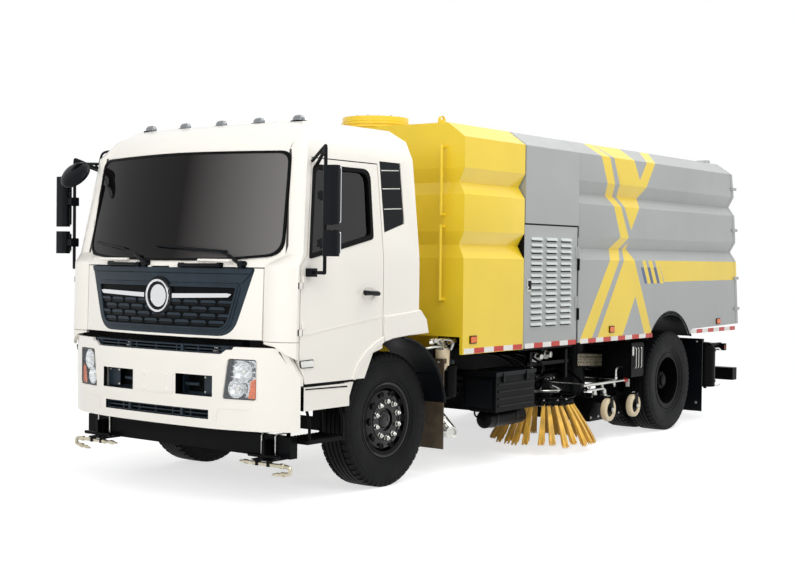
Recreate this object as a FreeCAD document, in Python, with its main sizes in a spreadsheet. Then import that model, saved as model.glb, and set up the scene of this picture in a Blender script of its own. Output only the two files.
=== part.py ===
import FreeCAD, Part
import math
import os
import Sketcher
from FreeCAD import Placement, Rotation, Vector

# Street sweeper truck: a forward-control lorry with a wash-water tank, an auxiliary engine bay,
# a tipping debris tank, two gutter brooms and a suction head between the axles.
# The pieces are drawn with x = 0 at the front axle, +X forward, +Y to the truck's left and z = 0
# on the ground. The last step moves each one so that the middle of the truck's length is x = 0.

SIZES = {
    # whole vehicle
    "wheelbase": 4700,
    "fit_gap": 0.3, "panel_gap": 8, "overrun": 60, "pin_radius": 20,
    # wheels
    "tyre_radius": 525, "tyre_width": 278, "tyre_inner_radius": 258, "tyre_shoulder": 40,
    "tyre_bead_width": 210, "front_wheel_y": 950, "twin_inner_y": 750, "twin_outer_y": 1086,
    "rim_flange_radius": 290, "rim_flange_width": 12, "rim_wall": 12, "disc_depth": 60,
    "disc_thickness": 14, "hub_radius": 90, "hub_reach": 95, "nut_circle_radius": 143,
    "nut_radius": 17, "nut_length": 28, "hand_hole_radius": 32, "hand_hole_circle": 200,
    "spindle_radius": 45, "bearing_gap": 0.1, "drum_radius": 205, "drum_width": 170,
    "kingpin_y": 850, "knuckle_half_height": 110, "knuckle_radius": 55, "kingpin_radius": 26,
    # ladder frame
    "rail_y": 430, "rail_height": 280, "rail_top": 980, "rail_flange": 75, "rail_thickness": 10,
    "rail_front": 1080, "rail_rear": -6310, "cross_width": 80, "cross_height": 150,
    "cross_ahead": 930, "cross_behind_engine": -1080, "cross_bay": -2450, "cross_head": -3350,
    "cross_hoist": -4020, "cross_tail": -5650, "cross_end": -6020,
    # springs and axles
    "front_spring_y": 400, "rear_spring_y": 500, "spring_width": 80, "leaf_thickness": 14,
    "front_spring_half": 700, "rear_spring_half": 760,
    "front_spring_top": 690, "rear_spring_top": 700, "spring_drop": 70,
    "beam_height": 95, "beam_width": 100, "beam_drop": 90, "rear_tube_radius": 85,
    "diff_radius": 215, "shaft_radius": 42, "shaft_z": 560,
    # main engine and gearbox
    "engine_front": 740, "engine_rear": -420, "engine_half_width": 310, "engine_low": 600,
    "engine_top": 1290, "gearbox_length": 560, "gearbox_radius": 190,
    # bumper
    "bumper_front": 1425, "bumper_front_half": 430, "bumper_mid_x": 1368, "bumper_mid_y": 800,
    "bumper_rear": 1153, "bumper_side": 1200, "bumper_low": 548, "bumper_top": 1118,
    "bumper_skin": 32, "bumper_nose_round": 8000, "bumper_cheek_round": 1500,
    "bumper_corner_round": 700,
    "depth_share": 0.5, "carrier_x": 1290, "carrier_depth": 30, "carrier_half": 720,
    "carrier_low": 740, "carrier_top": 930, "rib_y": 610, "lens_inset": 6, "tray_front": 1350,
    "bumper_slant_low": 872, "bumper_slant_ahead": 105,
    "lamp_inner": 672, "lamp_inner_top": 716, "lamp_outer": 942, "lamp_low": 768, "lamp_top": 1056,
    "lamp_depth": 60, "recess_inner": 230, "recess_outer": 585, "recess_low": 776,
    "recess_top": 926, "slot_half": 552, "slot_low": 614, "slot_top": 680,
    "notch_half": 735, "notch_low_half": 655, "notch_low": 1085, "upper_grille_top": 1142,
    "grille_depth": 40, "grille_inset": 27, "grille_bar": 9,
    # front wash beam
    "beam_rear_x": 1062, "beam_front_x": 1135, "beam_half": 1094, "beam_low": 345, "beam_top": 500,
    "nozzle_x": 1200, "nozzle_y": 900, "nozzle_z": 360, "nozzle_radius": 14,
    "nozzle_half_span": 150, "nozzle_hang": 110,
    # steps and mudguards
    "step_front": 1120, "step_rear": 612, "step_inner": 960, "step_outer": 1200,
    "step_fairing_low": 694, "step_fairing_top": 862, "step_low": 448, "tread_thickness": 30,
    "guard_radius": 640, "guard_thickness": 8, "guard_stay_share": 0.87, "guard_inner": 790,
    "guard_outer": 1180,
    "flap_x": -748, "flap_hang_z": 960, "flap_inner": 800, "flap_outer": 1095,
    "guard_post_height": 330, "rear_flap_top": 930, "flap_low": 215, "flap_thickness": 12,
    "rear_guard_radius": 700, "rear_guard_inner": 600,
    "rear_guard_outer": 1215, "rear_flap_x": -5560, "rear_flap_low": 125,
    # side equipment
    "box_front": -1400, "box_rear": -2040, "box_low": 466, "box_top": 804, "box_inner": 830,
    "box_outer": 1180, "air_tank_front": -1490, "air_tank_rear": -2070, "air_tank_radius": 78,
    "air_tank_y": 1000, "air_tank_z": 384, "fuel_front": -880, "fuel_rear": -1660,
    "fuel_low": 430, "fuel_top": 930, "fuel_inner": 560, "fuel_outer": 1180, "fuel_round": 90,
    "small_box_front": -3860, "small_box_rear": -4120, "small_box_low": 610,
    "small_box_top": 960, "small_box_inner": 900, "small_box_outer": 1205,
    "muffler_front": -620, "muffler_rear": -1080, "muffler_radius": 120, "muffler_y": 660,
    "muffler_z": 560, "tailpipe_radius": 42, "tailpipe_x": -1160, "tailpipe_y": 900,
    "tailpipe_z": 300, "strap_width": 40, "cup_radius": 62, "cup_x": -850, "cup_y": 980,
    "cup_low": 850, "cup_top": 1080,
    # body section shared by both tanks
    "body_half": 1250, "body_low": 1000, "body_shoulder": 2785, "body_top": 2908,
    "roof_half": 1075, "groove_depth": 68, "upper_groove_top": 2530, "upper_groove_mid": 2415,
    "upper_groove_low": 2315, "lower_groove_top": 2010, "lower_groove_mid": 1900,
    "lower_groove_low": 1790, "body_wall": 30, "roof_inset_share": 0.7,
    # water tank
    "tank_front": -780, "tank_rear": -1715, "tank_floor": 1143, "front_groove_depth": 28,
    "hatch_x": -1190, "hatch_radius": 300, "hatch_neck_top": 2985, "hatch_wall": 25,
    "lid_top": 3030, "lid_hinge_z": 3000, "hatch_hinge_out": 40, "eye_x": -860, "eye_y": 950,
    "eye_radius": 45,
    "eye_thickness": 18, "eye_hole": 22, "eye_rise": 42, "rail_bar_radius": 14, "rail_bar_y": 1055,
    "rail_bar_out": 55, "upper_bar_top": 2705, "upper_bar_low": 2150, "lower_bar_top": 2050,
    "lower_bar_low": 1450,
    # engine bay
    "bay_front": -1722, "bay_rear": -2664, "bay_top": 2090, "bay_floor": 30, "post_width": 50,
    "post_y": 1150, "door_thickness": 28, "louvre_length": 170, "louvre_rise": 14,
    "louvre_height": 28, "louvre_first": 1200, "louvre_pitch": 54,
    "louvre_pitch_x": 258, "louvre_start_x": -2440, "door_low": 1006, "hinge_radius": 12,
    "bay_pin_x": -2666, "bay_pin_y": 1258, "hinge_nip": 2,
    "hinge_length": 110, "hinge_low_z": 1340, "hinge_high_z": 1800,
    "aux_front": -1860, "aux_rear": -2540, "aux_half": 430, "aux_top": 1750,
    # debris tank
    "tip_hinge_x": -6200, "tip_hinge_z": 1020, "waste_low_front": 1015, "waste_front": -2684,
    "waste_top_front": -1735,
    "bay_roof": 2104, "rear_low_x": -6450, "rear_low_z": 1075, "rear_mid_x": -6360,
    "rear_mid_z": 1800, "rear_high_x": -6205, "rear_top_x": -6185, "rear_bend_x": -6265,
    "rear_bend_z": 2530, "waste_floor": 1290, "floor_thickness": 30,
    "arch_front": -4160, "arch_rear": -5200, "arch_top": 1262, "arch_shoulder": 120,
    "gate_thickness": 70, "gate_hinge_z": 2935, "gate_lug_y": 850,
    "tip_lug_thickness": 40, "tip_lug_y": 300, "tip_bracket_y": 372,
    # hoist
    "hoist_y": 240, "hoist_low_x": -4200, "hoist_low_z": 720, "hoist_high_x": -5300,
    "hoist_high_z": 1205, "hoist_radius": 58, "hoist_rod_radius": 32, "hoist_barrel": 1040,
    "hoist_rod_back": 1060, "hoist_eye": 38,
    # brooms
    "arm_pivot_x": -1750, "arm_pivot_y": 505, "arm_z": 600, "arm_half_height": 28,
    "arm_half_width": 32, "broom_x": -2650, "broom_y": 905, "plate_radius": 285, "plate_z": 445,
    "plate_thickness": 30, "motor_radius": 85, "motor_height": 110, "bristle_root": 262,
    "bristle_tip": 490, "bristle_low": 100, "bristle_width": 48, "bristle_tip_width": 92,
    "bristle_depth": 22, "bristle_count": 22, "ring_radius": 300, "ring_wire": 12,
    "ring_lift": 28, "arm_boss": 60,
    # suction head
    "head_front": -3280, "head_rear": -3900, "head_half": 1060, "head_low": 232, "head_top": 420,
    "head_wall": 25, "head_slope": 130, "skirt_low": 205, "skirt_thickness": 16,
    "caster_radius": 115, "caster_width": 60, "caster_y": 1160, "caster_front_x": -3475,
    "caster_rear_x": -4010, "caster_z": 316, "fork_thickness": 10, "fork_gap": 6,
    "caster_axle": 12, "duct_x": -3600, "duct_y": 700, "duct_radius": 110, "duct_wall": 8,
    "duct_low": 455, "sleeve_overlap": 225, "duct_top": 1250, "bar_front": -3060, "bar_rear": -3950,
    "bar_y": 1100,
    "bar_z": 575, "bar_radius": 16,
    # rear
    "under_beam_front": -6560, "under_beam_rear": -6680, "under_beam_half": 1150,
    "under_beam_low": 400, "under_beam_top": 545, "lamp_bar_front": -6180, "lamp_bar_rear": -6250,
    "lamp_bar_half": 1200, "lamp_bar_low": 770, "lamp_bar_top": 850, "lamp_bar_inner": 430,
    "can_x": -5940, "can_y": 1080, "can_radius": 110, "can_low": 370, "can_top": 820,
    # cab sections, from the sill up to the roof
    "cab_low": 1185, "door_low_z": 878, "nose_z": 1720, "screen_low": 1800, "screen_top": 2557,
    "brow_z": 2700, "roof_z": 2785, "cab_rear": -240, "cab_side": 1200,
    "sill_front": 1400, "sill_corner_x": 1285, "sill_corner_y": 945, "sill_side_x": 1205,
    "nose_front": 1370, "nose_corner_x": 1262, "nose_corner_y": 950, "nose_side_x": 1190,
    "base_front": 1335, "base_corner_x": 1160, "base_corner_y": 1050, "base_side_x": 1138,
    "base_side_y": 1198, "top_front": 1185, "top_corner_x": 1045, "top_corner_y": 975,
    "top_side_x": 1015, "top_side_y": 1120, "brow_front": 1050, "brow_corner_x": 930,
    "brow_corner_y": 950, "brow_side_x": 890, "brow_side_y": 1055, "brow_rear": -235,
    "roof_front": 850, "roof_corner_x": 790, "roof_corner_y": 860, "roof_side_x": 735,
    "roof_side_y": 950, "roof_rear": -150, "corner_bulge": 240, "cab_wall": 60,
    "firewall_x": 1140, "firewall": 50, "tunnel_half": 370, "tunnel_top": 1350,
    "cab_floor": 40, "glass_inset": 6, "glass_thickness": 8, "screen_low_half": 1025,
    "screen_low_edge": 1835, "screen_top_half": 950, "screen_top_edge": 2540,
    "cab_hinge_x": 1270, "cab_hinge_z": 1020, "cab_lug_y": 450, "cab_lug_thickness": 35,
    "lug_radius": 45,
    # front flap
    "flap_half": 939, "flap_bottom": 1191, "flap_top": 1698, "flap_skin": 26,
    "flap_hinge_x": 1376, "flap_hinge_z": 1703, "flap_knuckle": 7, "flap_knuckle_y": 140,
    "flap_knuckle_length": 40, "grille_top_half": 780, "grille_low_half": 650,
    "grille_low": 1262, "cell_width": 118, "cell_height": 44,
    "cell_gap": 13, "badge_radius": 88, "badge_depth": 16, "badge_z": 1486,
    # doors
    "door_top": 2500, "door_top_front": 978, "door_base_front": 1100, "door_nose_front": 1168,
    "door_sill_front": 1178, "door_slant_z": 1100, "door_foot_front": 1118,
    "door_foot_rear": 430, "door_arch_x": 330, "door_arch_z": 1070, "door_rear": 215,
    "door_wall": 50, "window_top": 2430, "window_top_front": 950, "window_top_rear": 335,
    "window_low_front_x": 1060, "window_low_front": 1792, "window_low_rear_x": 350,
    "window_low_rear": 1945, "handle_x": 330, "handle_z": 1517, "handle_length": 150,
    "handle_radius": 13, "handle_out": 34, "grip_foot_share": 0.8, "door_hinge_x": 1150,
    "door_hinge_y": 1209,
    "door_knuckle": 7, "door_hinge_low": 1230, "door_hinge_high": 1560, "door_hinge_length": 45,
    # quarter panels behind the doors
    "quarter_front": 190, "quarter_rear": -75, "quarter_top": 2520, "quarter_low_front": 1975,
    "quarter_low_rear": 2050, "quarter_depth": 14,
    # mirrors
    "mirror_y": 1350, "mirror_x": 1085, "mirror_rod": 13, "mirror_rod_top": 2545,
    "mirror_rod_low": 1690, "mirror_head_y": 1440, "mirror_head_front": 1165,
    "mirror_head_rear": 965, "mirror_head_depth": 62, "main_mirror_low": 2010,
    "main_mirror_top": 2420, "wide_mirror_low": 1790, "wide_mirror_top": 1972,
    "mirror_foot_z": 1705, "mirror_foot": 60, "mirror_round_share": 0.5,
    # cab trim
    "roof_lamp_x": 750, "roof_lamp_height": 38, "roof_lamp_pitch": 400, "roof_lamp_width": 110,
    "roof_lamp_length": 90, "grab_x": 1365, "grab_z": 1752, "grab_half": 150,
    "grab_y": 540, "grab_radius": 11, "grab_foot": 90,
    # cab interior
    "seat_front": 560, "seat_rear": 60, "seat_half": 210, "seat_y": 640,
    "seat_top": 1640, "back_thickness": 130, "back_top": 2330, "dash_rear": 830,
    "dash_low": 1450, "dash_top": 1765, "dash_half": 1020, "wheel_x": 730, "wheel_z": 1830,
    "wheel_ring": 215, "wheel_tube": 16,
    # cab tilt ram
    "ram_y": 620, "ram_low_x": 660, "ram_low_z": 740, "ram_high_x": 850, "ram_high_z": 1150,
    "ram_radius": 30, "ram_rod_radius": 17, "ram_barrel": 400, "ram_rod_back": 415, "ram_eye": 24,
}

doc = FreeCAD.newDocument("street_sweeper")
sheet = doc.addObject("Spreadsheet::Sheet", "Dims")


class Size:
    """A length together with the sheet expression that gives it."""

    def __init__(self, text, value):
        self.text = text
        self.value = float(value)

    def joined(self, sign, other, value):
        return Size("(%s %s %s)" % (self.text, sign, as_size(other).text), value)

    def __add__(self, other):
        return self.joined("+", other, self.value + as_size(other).value)

    def __sub__(self, other):
        return self.joined("-", other, self.value - as_size(other).value)

    def __mul__(self, other):
        return self.joined("*", other, self.value * as_size(other).value)

    def __truediv__(self, other):
        return self.joined("/", other, self.value / as_size(other).value)

    def __neg__(self):
        return Size("(-1 * %s)" % self.text, -self.value)

    __radd__ = __add__
    __rmul__ = __mul__


def as_size(value):
    return value if isinstance(value, Size) else Size("(%r)" % float(value), value)


class Dimensions:
    """Gives each cell of the sheet as an attribute."""


S = Dimensions()
for row, (alias, number) in enumerate(SIZES.items(), start=1):
    sheet.set("A%d" % row, alias)
    sheet.set("B%d" % row, str(number))
    sheet.setAlias("B%d" % row, alias)
    setattr(S, alias, Size("Dims." + alias, number))
doc.recompute()

TURNS = {
    "XY": Rotation(),
    "XZ": Rotation(Vector(1, 0, 0), 90),
    "YZ": Rotation(0.5, 0.5, 0.5, 0.5),
}
NORMALS = {"XY": Vector(0, 0, 1), "XZ": Vector(0, 1, 0), "YZ": Vector(1, 0, 0)}
LEVELS = {"XY": "z", "XZ": "y", "YZ": "x"}
AXES = {"x": Vector(1, 0, 0), "y": Vector(0, 1, 0), "z": Vector(0, 0, 1)}
HALF, FULL_TURN = 0.5, 360
counter = {"made": 0}


def add(kind, name):
    counter["made"] += 1
    return doc.addObject(kind, "%s_%d" % (name, counter["made"]))


def bind(item, prop, size):
    """Ties one property of an object to the sheet."""
    if isinstance(size, Size):
        item.setExpression(prop, size.text)
    elif size:
        item.setExpression(prop, as_size(size).text)


def spot(item, x, y, z):
    bind(item, "Placement.Base.x", x)
    bind(item, "Placement.Base.y", y)
    bind(item, "Placement.Base.z", z)


def box(name, x0, x1, y0, y1, z0, z1):
    item = add("Part::Box", name)
    bind(item, "Length", as_size(x1) - x0)
    bind(item, "Width", as_size(y1) - y0)
    bind(item, "Height", as_size(z1) - z0)
    spot(item, x0, y0, z0)
    return item


def rod(name, axis, radius, start, end, u, v):
    """A round bar along x, y or z; u and v are its other two coordinates in order."""
    item = add("Part::Cylinder", name)
    bind(item, "Radius", radius)
    bind(item, "Height", as_size(end) - start)
    item.Placement = Placement(Vector(), Rotation(Vector(0, 0, 1), AXES[axis]))
    place = {"x": (start, u, v), "y": (u, start, v), "z": (u, v, start)}[axis]
    spot(item, *place)
    return item


def ball(name, radius, x, y, z):
    item = add("Part::Sphere", name)
    bind(item, "Radius", radius)
    spot(item, x, y, z)
    return item


def ring(name, radius, wire, x, y, z, tilt=0):
    """A round ring that lies level, or leans back by tilt degrees."""
    item = add("Part::Torus", name)
    bind(item, "Radius1", radius)
    bind(item, "Radius2", wire)
    item.Placement = Placement(Vector(), Rotation(Vector(0, 1, 0), -tilt))
    spot(item, x, y, z)
    return item


def bar(name, radius, start, end):
    """A round bar between two points given as sizes."""
    item = add("Part::Cylinder", name)
    first, last = [Vector(*[as_size(c).value for c in p]) for p in (start, end)]
    bind(item, "Radius", radius)
    steps = [as_size(b) - a for a, b in zip(start, end)]
    squares = [step * step for step in steps]
    total = squares[0] + squares[1] + squares[2]
    bind(item, "Height", Size("sqrt(%s)" % total.text, math.sqrt(total.value)))
    item.Placement = Placement(Vector(), Rotation(Vector(0, 0, 1), last - first))
    spot(item, *start)
    return item


def fill_outline(sketch, points, circles=()):
    """Draws a closed outline. A point may carry a radius: the side that leaves it is then an arc
    that bulges to the right of the way round, which is outwards for an anticlockwise outline, and
    a negative radius bulges to the left."""
    ends = [Vector(as_size(p[0]).value, as_size(p[1]).value, 0) for p in points]
    count = len(points)
    rules = []
    ties = []
    starts = []
    for index, point in enumerate(points):
        here, there = ends[index], ends[(index + 1) % count]
        if len(point) < 3:
            sketch.addGeometry(Part.LineSegment(here, there), False)
            starts.append((1, 2))
            continue
        radius = as_size(point[2]).value
        chord = there - here
        hollow = radius < 0
        side = Vector(-chord.y, chord.x, 0).normalize() * (-1 if hollow else 1)
        lift = math.sqrt(max(radius * radius - chord.Length ** 2 / 4, 0))
        centre = (here + there) * HALF + side * lift
        run = (there, here) if hollow else (here, there)
        angles = [math.atan2(p.y - centre.y, p.x - centre.x) for p in run]
        circle = Part.Circle(centre, Vector(0, 0, 1), abs(radius))
        sketch.addGeometry(Part.ArcOfCircle(circle, angles[0], angles[1]), False)
        starts.append((2, 1) if hollow else (1, 2))
        size = -point[2] if hollow else point[2]
        rules.append(Sketcher.Constraint("Radius", index, abs(radius)))
        ties.append((len(rules) - 1, size.text))
    for index in range(count):
        after = (index + 1) % count
        rules.append(Sketcher.Constraint("Coincident", index, starts[index][1], after,
                                         starts[after][0]))
    for index, point in enumerate(points):
        for kind, value in (("DistanceX", point[0]), ("DistanceY", point[1])):
            if isinstance(value, Size):
                rules.append(Sketcher.Constraint(kind, -1, 1, index, starts[index][0], value.value))
                ties.append((len(rules) - 1, value.text))
            else:
                axis = -2 if kind == "DistanceX" else -1
                rules.append(Sketcher.Constraint("PointOnObject", index, starts[index][0], axis))
    for order, (u, v, radius) in enumerate(circles):
        index = count + order
        centre = Vector(as_size(u).value, as_size(v).value, 0)
        circle = Part.Circle(centre, Vector(0, 0, 1), as_size(radius).value)
        sketch.addGeometry(circle, False)
        rules.append(Sketcher.Constraint("Radius", index, as_size(radius).value))
        ties.append((len(rules) - 1, as_size(radius).text))
        for kind, value in (("DistanceX", u), ("DistanceY", v)):
            if isinstance(value, Size):
                rules.append(Sketcher.Constraint(kind, -1, 1, index, 3, value.value))
                ties.append((len(rules) - 1, value.text))
            else:
                axis = -2 if kind == "DistanceX" else -1
                rules.append(Sketcher.Constraint("PointOnObject", index, 3, axis))
    sketch.addConstraint(rules)
    for index, text in ties:
        sketch.setExpression("Constraints[%d]" % index, text)


def outline(name, plane, points, level, circles=()):
    sketch = add("Sketcher::SketchObject", name)
    sketch.Placement = Placement(Vector(), TURNS[plane])
    bind(sketch, "Placement.Base." + LEVELS[plane], level)
    fill_outline(sketch, points, circles)
    return sketch


def prism(name, plane, points, start, end, circles=()):
    """An outline drawn at start and drawn out to end along the plane's axis."""
    item = add("Part::Extrusion", name)
    item.Base = outline(name + "_outline", plane, points, start, circles)
    item.DirMode = "Custom"
    item.Dir = NORMALS[plane]
    item.Solid = True
    item.LengthFwd = 1
    bind(item, "LengthFwd", as_size(end) - start)
    return item


def turned(name, points, axis, x, y, z, angle=FULL_TURN, start=0):
    """Turns an outline about a line through x, y, z. The outline gives (along, radius)."""
    item = add("Part::Revolution", name)
    sketch = add("Sketcher::SketchObject", name + "_outline")
    fill_outline(sketch, points)
    item.Source = sketch
    item.Axis = Vector(1, 0, 0)
    item.Angle = angle
    item.Solid = True
    turn = Rotation(Vector(1, 0, 0), AXES[axis])
    item.Placement = Placement(Vector(), turn.multiply(Rotation(Vector(1, 0, 0), start)))
    spot(item, x, y, z)
    return item


def fuse(name, *parts):
    item = add("Part::MultiFuse", name)
    item.Shapes = list(parts)
    item.Refine = True
    return item


def group(name, *parts):
    item = add("Part::Compound", name)
    item.Links = list(parts)
    return item


def cut(name, base, *tools):
    item = add("Part::Cut", name)
    item.Base = base
    item.Tool = tools[0] if len(tools) == 1 else group(name + "_tools", *tools)
    return item


def common(name, one, other):
    item = add("Part::Common", name)
    item.Base = one
    item.Tool = other
    return item


def mirrored(name, source):
    """The same piece on the truck's other side."""
    item = add("Part::Mirroring", name)
    item.Source = source
    item.Normal = Vector(0, 1, 0)
    return item


def both(name, source):
    return group(name, source, mirrored(name + "_right", source))


PLANE_ROLES = {"XY": "XY_Plane", "XZ": "XZ_Plane", "YZ": "YZ_Plane"}


class Design:
    """A PartDesign body whose sketches stand on its own origin planes."""

    def __init__(self, name):
        self.body = add("PartDesign::Body", name)
        self.name = name

    def plane(self, plane):
        wanted = PLANE_ROLES[plane]
        return [f for f in self.body.Origin.OriginFeatures if f.Role == wanted][0]

    def sketch(self, plane, points, level, circles=()):
        counter["made"] += 1
        name = "%s_sketch_%d" % (self.name, counter["made"])
        sketch = self.body.newObject("Sketcher::SketchObject", name)
        sketch.AttachmentSupport = (self.plane(plane), "")
        sketch.MapMode = "FlatFace"
        if plane == "XZ":
            level = -as_size(level)
        bind(sketch, "AttachmentOffset.Base.z", level)
        fill_outline(sketch, points, circles)
        return sketch

    def feature(self, kind, sketch, length):
        counter["made"] += 1
        name = "%s_%d" % (kind.lower(), counter["made"])
        feature = self.body.newObject("PartDesign::" + kind, name)
        feature.Profile = sketch
        feature.Type = 0
        bind(feature, "Length", length)
        doc.recompute()
        return feature

    def pad(self, plane, points, start, end, circles=()):
        level = end if plane == "XZ" else start
        return self.feature("Pad", self.sketch(plane, points, level, circles), as_size(end) - start)

    def pocket(self, plane, points, start, end, circles=()):
        level = start if plane == "XZ" else end
        sketch = self.sketch(plane, points, level, circles)
        before = self.body.Shape.Volume
        feature = self.feature("Pocket", sketch, as_size(end) - start)
        if self.body.Shape.Volume >= before:
            raise RuntimeError("a pocket of %s takes nothing away" % self.name)
        return feature

    def row(self, features, axis, length, copies):
        counter["made"] += 1
        pattern = self.body.newObject("PartDesign::LinearPattern", "row_%d" % counter["made"])
        pattern.Originals = list(features)
        role = {"x": "X_Axis", "y": "Y_Axis", "z": "Z_Axis"}[axis]
        line = [f for f in self.body.Origin.OriginFeatures if f.Role == role][0]
        pattern.Direction = (line, [""])
        bind(pattern, "Length", length)
        pattern.Occurrences = copies
        self.body.Tip = pattern
        doc.recompute()
        return pattern

    def spin(self, points):
        """Turns an outline given as (along y, radius) about the body's own Y axis."""
        sketch = self.sketch("YZ", points, 0)
        counter["made"] += 1
        feature = self.body.newObject("PartDesign::Revolution", "spin_%d" % counter["made"])
        feature.Profile = sketch
        feature.ReferenceAxis = (sketch, ["H_Axis"])
        feature.Angle = FULL_TURN
        doc.recompute()
        return feature

    def wheel_of(self, features, copies, axis="y"):
        """Repeats features evenly about one of the body's own axes."""
        counter["made"] += 1
        pattern = self.body.newObject("PartDesign::PolarPattern", "ring_%d" % counter["made"])
        pattern.Originals = list(features)
        role = {"x": "X_Axis", "y": "Y_Axis", "z": "Z_Axis"}[axis]
        line = [f for f in self.body.Origin.OriginFeatures if f.Role == role][0]
        pattern.Axis = (line, [""])
        pattern.Angle = FULL_TURN
        pattern.Occurrences = copies
        self.body.Tip = pattern
        doc.recompute()
        return pattern

    def rounded(self, radius, chosen):
        """Rounds the edges that chosen(edge) picks out."""
        doc.recompute()
        tip = self.body.Tip
        names = ["Edge%d" % (i + 1) for i, e in enumerate(tip.Shape.Edges) if chosen(e)]
        counter["made"] += 1
        fillet = self.body.newObject("PartDesign::Fillet", "round_%d" % counter["made"])
        fillet.Base = (tip, names)
        bind(fillet, "Radius", radius)
        self.body.Tip = fillet
        doc.recompute()
        return fillet


def upright(edge):
    """A straight edge that runs straight up."""
    first, last = edge.Vertexes[0].Point, edge.Vertexes[-1].Point
    return abs(first.x - last.x) < 1 and abs(first.y - last.y) < 1 and abs(first.z - last.z) > 1


pieces = {}


def piece(node, item):
    """Names a finished sub-part."""
    item.Label = node
    pieces[node] = item
    return item


def rect(u0, u1, v0, v1):
    return [(u0, v0), (u1, v0), (u1, v1), (u0, v1)]


def make_frame():
    y = S.rail_y
    z1 = S.rail_top
    z0 = S.rail_top - S.rail_height
    f, t = S.rail_flange, S.rail_thickness
    channel = [(y, z0), (y, z1), (y - f, z1), (y - f, z1 - t), (y - t, z1 - t),
               (y - t, z0 + t), (y - f, z0 + t), (y - f, z0)]
    rail = prism("rail", "YZ", channel, S.rail_rear, S.rail_front)
    parts = [rail, mirrored("right_rail", rail)]
    for x in (S.cross_ahead, S.cross_behind_engine, S.cross_bay, S.cross_head, S.cross_hoist,
              S.cross_tail, S.cross_end):
        parts.append(box("cross", x - S.cross_width, x, t - y, y - t,
                         z1 - t - S.cross_height, z1 - t))
    plate = S.tip_lug_thickness
    ear = [(S.rail_front - S.cross_width, z0 + S.cross_width), (S.rail_front, z0 + S.cross_width),
           (S.cab_hinge_x + S.lug_radius, S.cab_hinge_z - S.pin_radius),
           (S.cab_hinge_x + S.pin_radius, S.cab_hinge_z + S.lug_radius),
           (S.cab_hinge_x - S.lug_radius, S.cab_hinge_z + S.pin_radius),
           (S.rail_front - S.cross_width, z1)]
    side = [prism("tilt_ear", "XZ", ear, y - S.cab_lug_thickness, y),
            rod("tilt_pin", "y", S.pin_radius, y - S.cab_lug_thickness,
                S.cab_lug_y + S.cab_lug_thickness, S.cab_hinge_x, S.cab_hinge_z)]
    bracket = [(S.tip_hinge_x - S.lug_radius, z1 - S.cross_width),
               (S.tip_hinge_x + S.lug_radius, z1 - S.cross_width),
               (S.tip_hinge_x + S.lug_radius, S.tip_hinge_z + S.pin_radius),
               (S.tip_hinge_x, S.tip_hinge_z + S.lug_radius),
               (S.tip_hinge_x - S.lug_radius, S.tip_hinge_z + S.pin_radius)]
    side.append(prism("tip_bracket", "XZ", bracket, S.tip_bracket_y, S.tip_bracket_y + plate))
    side.append(rod("tip_pin", "y", S.pin_radius, S.tip_lug_y, S.tip_bracket_y,
                    S.tip_hinge_x, S.tip_hinge_z))
    eye, wall = S.hoist_eye, S.rail_thickness
    reach = S.hoist_radius + S.panel_gap
    for inner in (S.hoist_y - reach - wall, S.hoist_y + reach):
        side.append(box("hoist_ear", S.hoist_low_x - eye, S.cross_hoist, inner, inner + wall,
                        S.hoist_low_z - eye, z1 - t))
    side.append(rod("hoist_pin", "y", S.pin_radius, S.hoist_y - reach, S.hoist_y + reach,
                    S.hoist_low_x, S.hoist_low_z))
    arm_top = S.arm_z + S.arm_half_height + S.panel_gap
    arm_low = S.arm_z - S.arm_half_height - S.panel_gap
    arm_out = S.arm_pivot_y + S.arm_boss * HALF
    side.append(box("arm_hanger", S.arm_pivot_x - S.arm_boss, S.arm_pivot_x + S.arm_boss,
                    y, y + S.rail_thickness, arm_low - S.rail_flange * HALF, z0 + f))
    for low in (arm_top, arm_low - S.pin_radius):
        side.append(box("arm_lug", S.arm_pivot_x - S.arm_boss * HALF,
                        S.arm_pivot_x + S.arm_boss * HALF, y, arm_out, low, low + S.pin_radius))
    side.append(rod("arm_pin", "z", S.pin_radius, arm_low, arm_top, S.arm_pivot_x, S.arm_pivot_y))
    side.append(box("bumper_stay", S.rail_front, S.carrier_x - S.carrier_depth, y - f, y,
                    S.carrier_low, S.carrier_top))
    parts += side
    parts += [mirrored("right_" + item.Name, item) for item in side]
    parts.append(box("bumper_carrier", S.carrier_x - S.carrier_depth, S.carrier_x,
                     -S.carrier_half, S.carrier_half, S.carrier_low, S.carrier_top))
    lug_face = S.ram_radius + S.panel_gap - S.ram_y
    parts.append(box("ram_lug", S.ram_low_x - S.lug_radius, S.ram_low_x + S.ram_eye,
                     lug_face, -y, S.ram_low_z - S.ram_eye, S.ram_low_z + S.ram_eye))
    parts.append(rod("ram_pin", "y", S.ram_eye * HALF, -S.ram_y - S.ram_eye, lug_face,
                     S.ram_low_x, S.ram_low_z))
    return piece("frame", fuse("frame", *parts))


LEAF_SHARES = (1, 0.76, 0.52)


def leaf_spring(name, x, half, y, top):
    """A stack of leaves, each shorter than the one above it."""
    leaves = []
    for order, share in enumerate(LEAF_SHARES):
        reach = half * share
        drop = S.spring_drop * share * share
        radius = (reach * reach + drop * drop) / (drop * 2)
        high = top - S.spring_drop + drop - S.leaf_thickness * order
        low = high - S.leaf_thickness
        leaf = [(x - reach, low, radius), (x + reach, low), (x + reach, high, -radius),
                (x - reach, high)]
        leaves.append(prism(name, "XZ", leaf, y - S.spring_width * HALF, y + S.spring_width * HALF))
    return leaves


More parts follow.
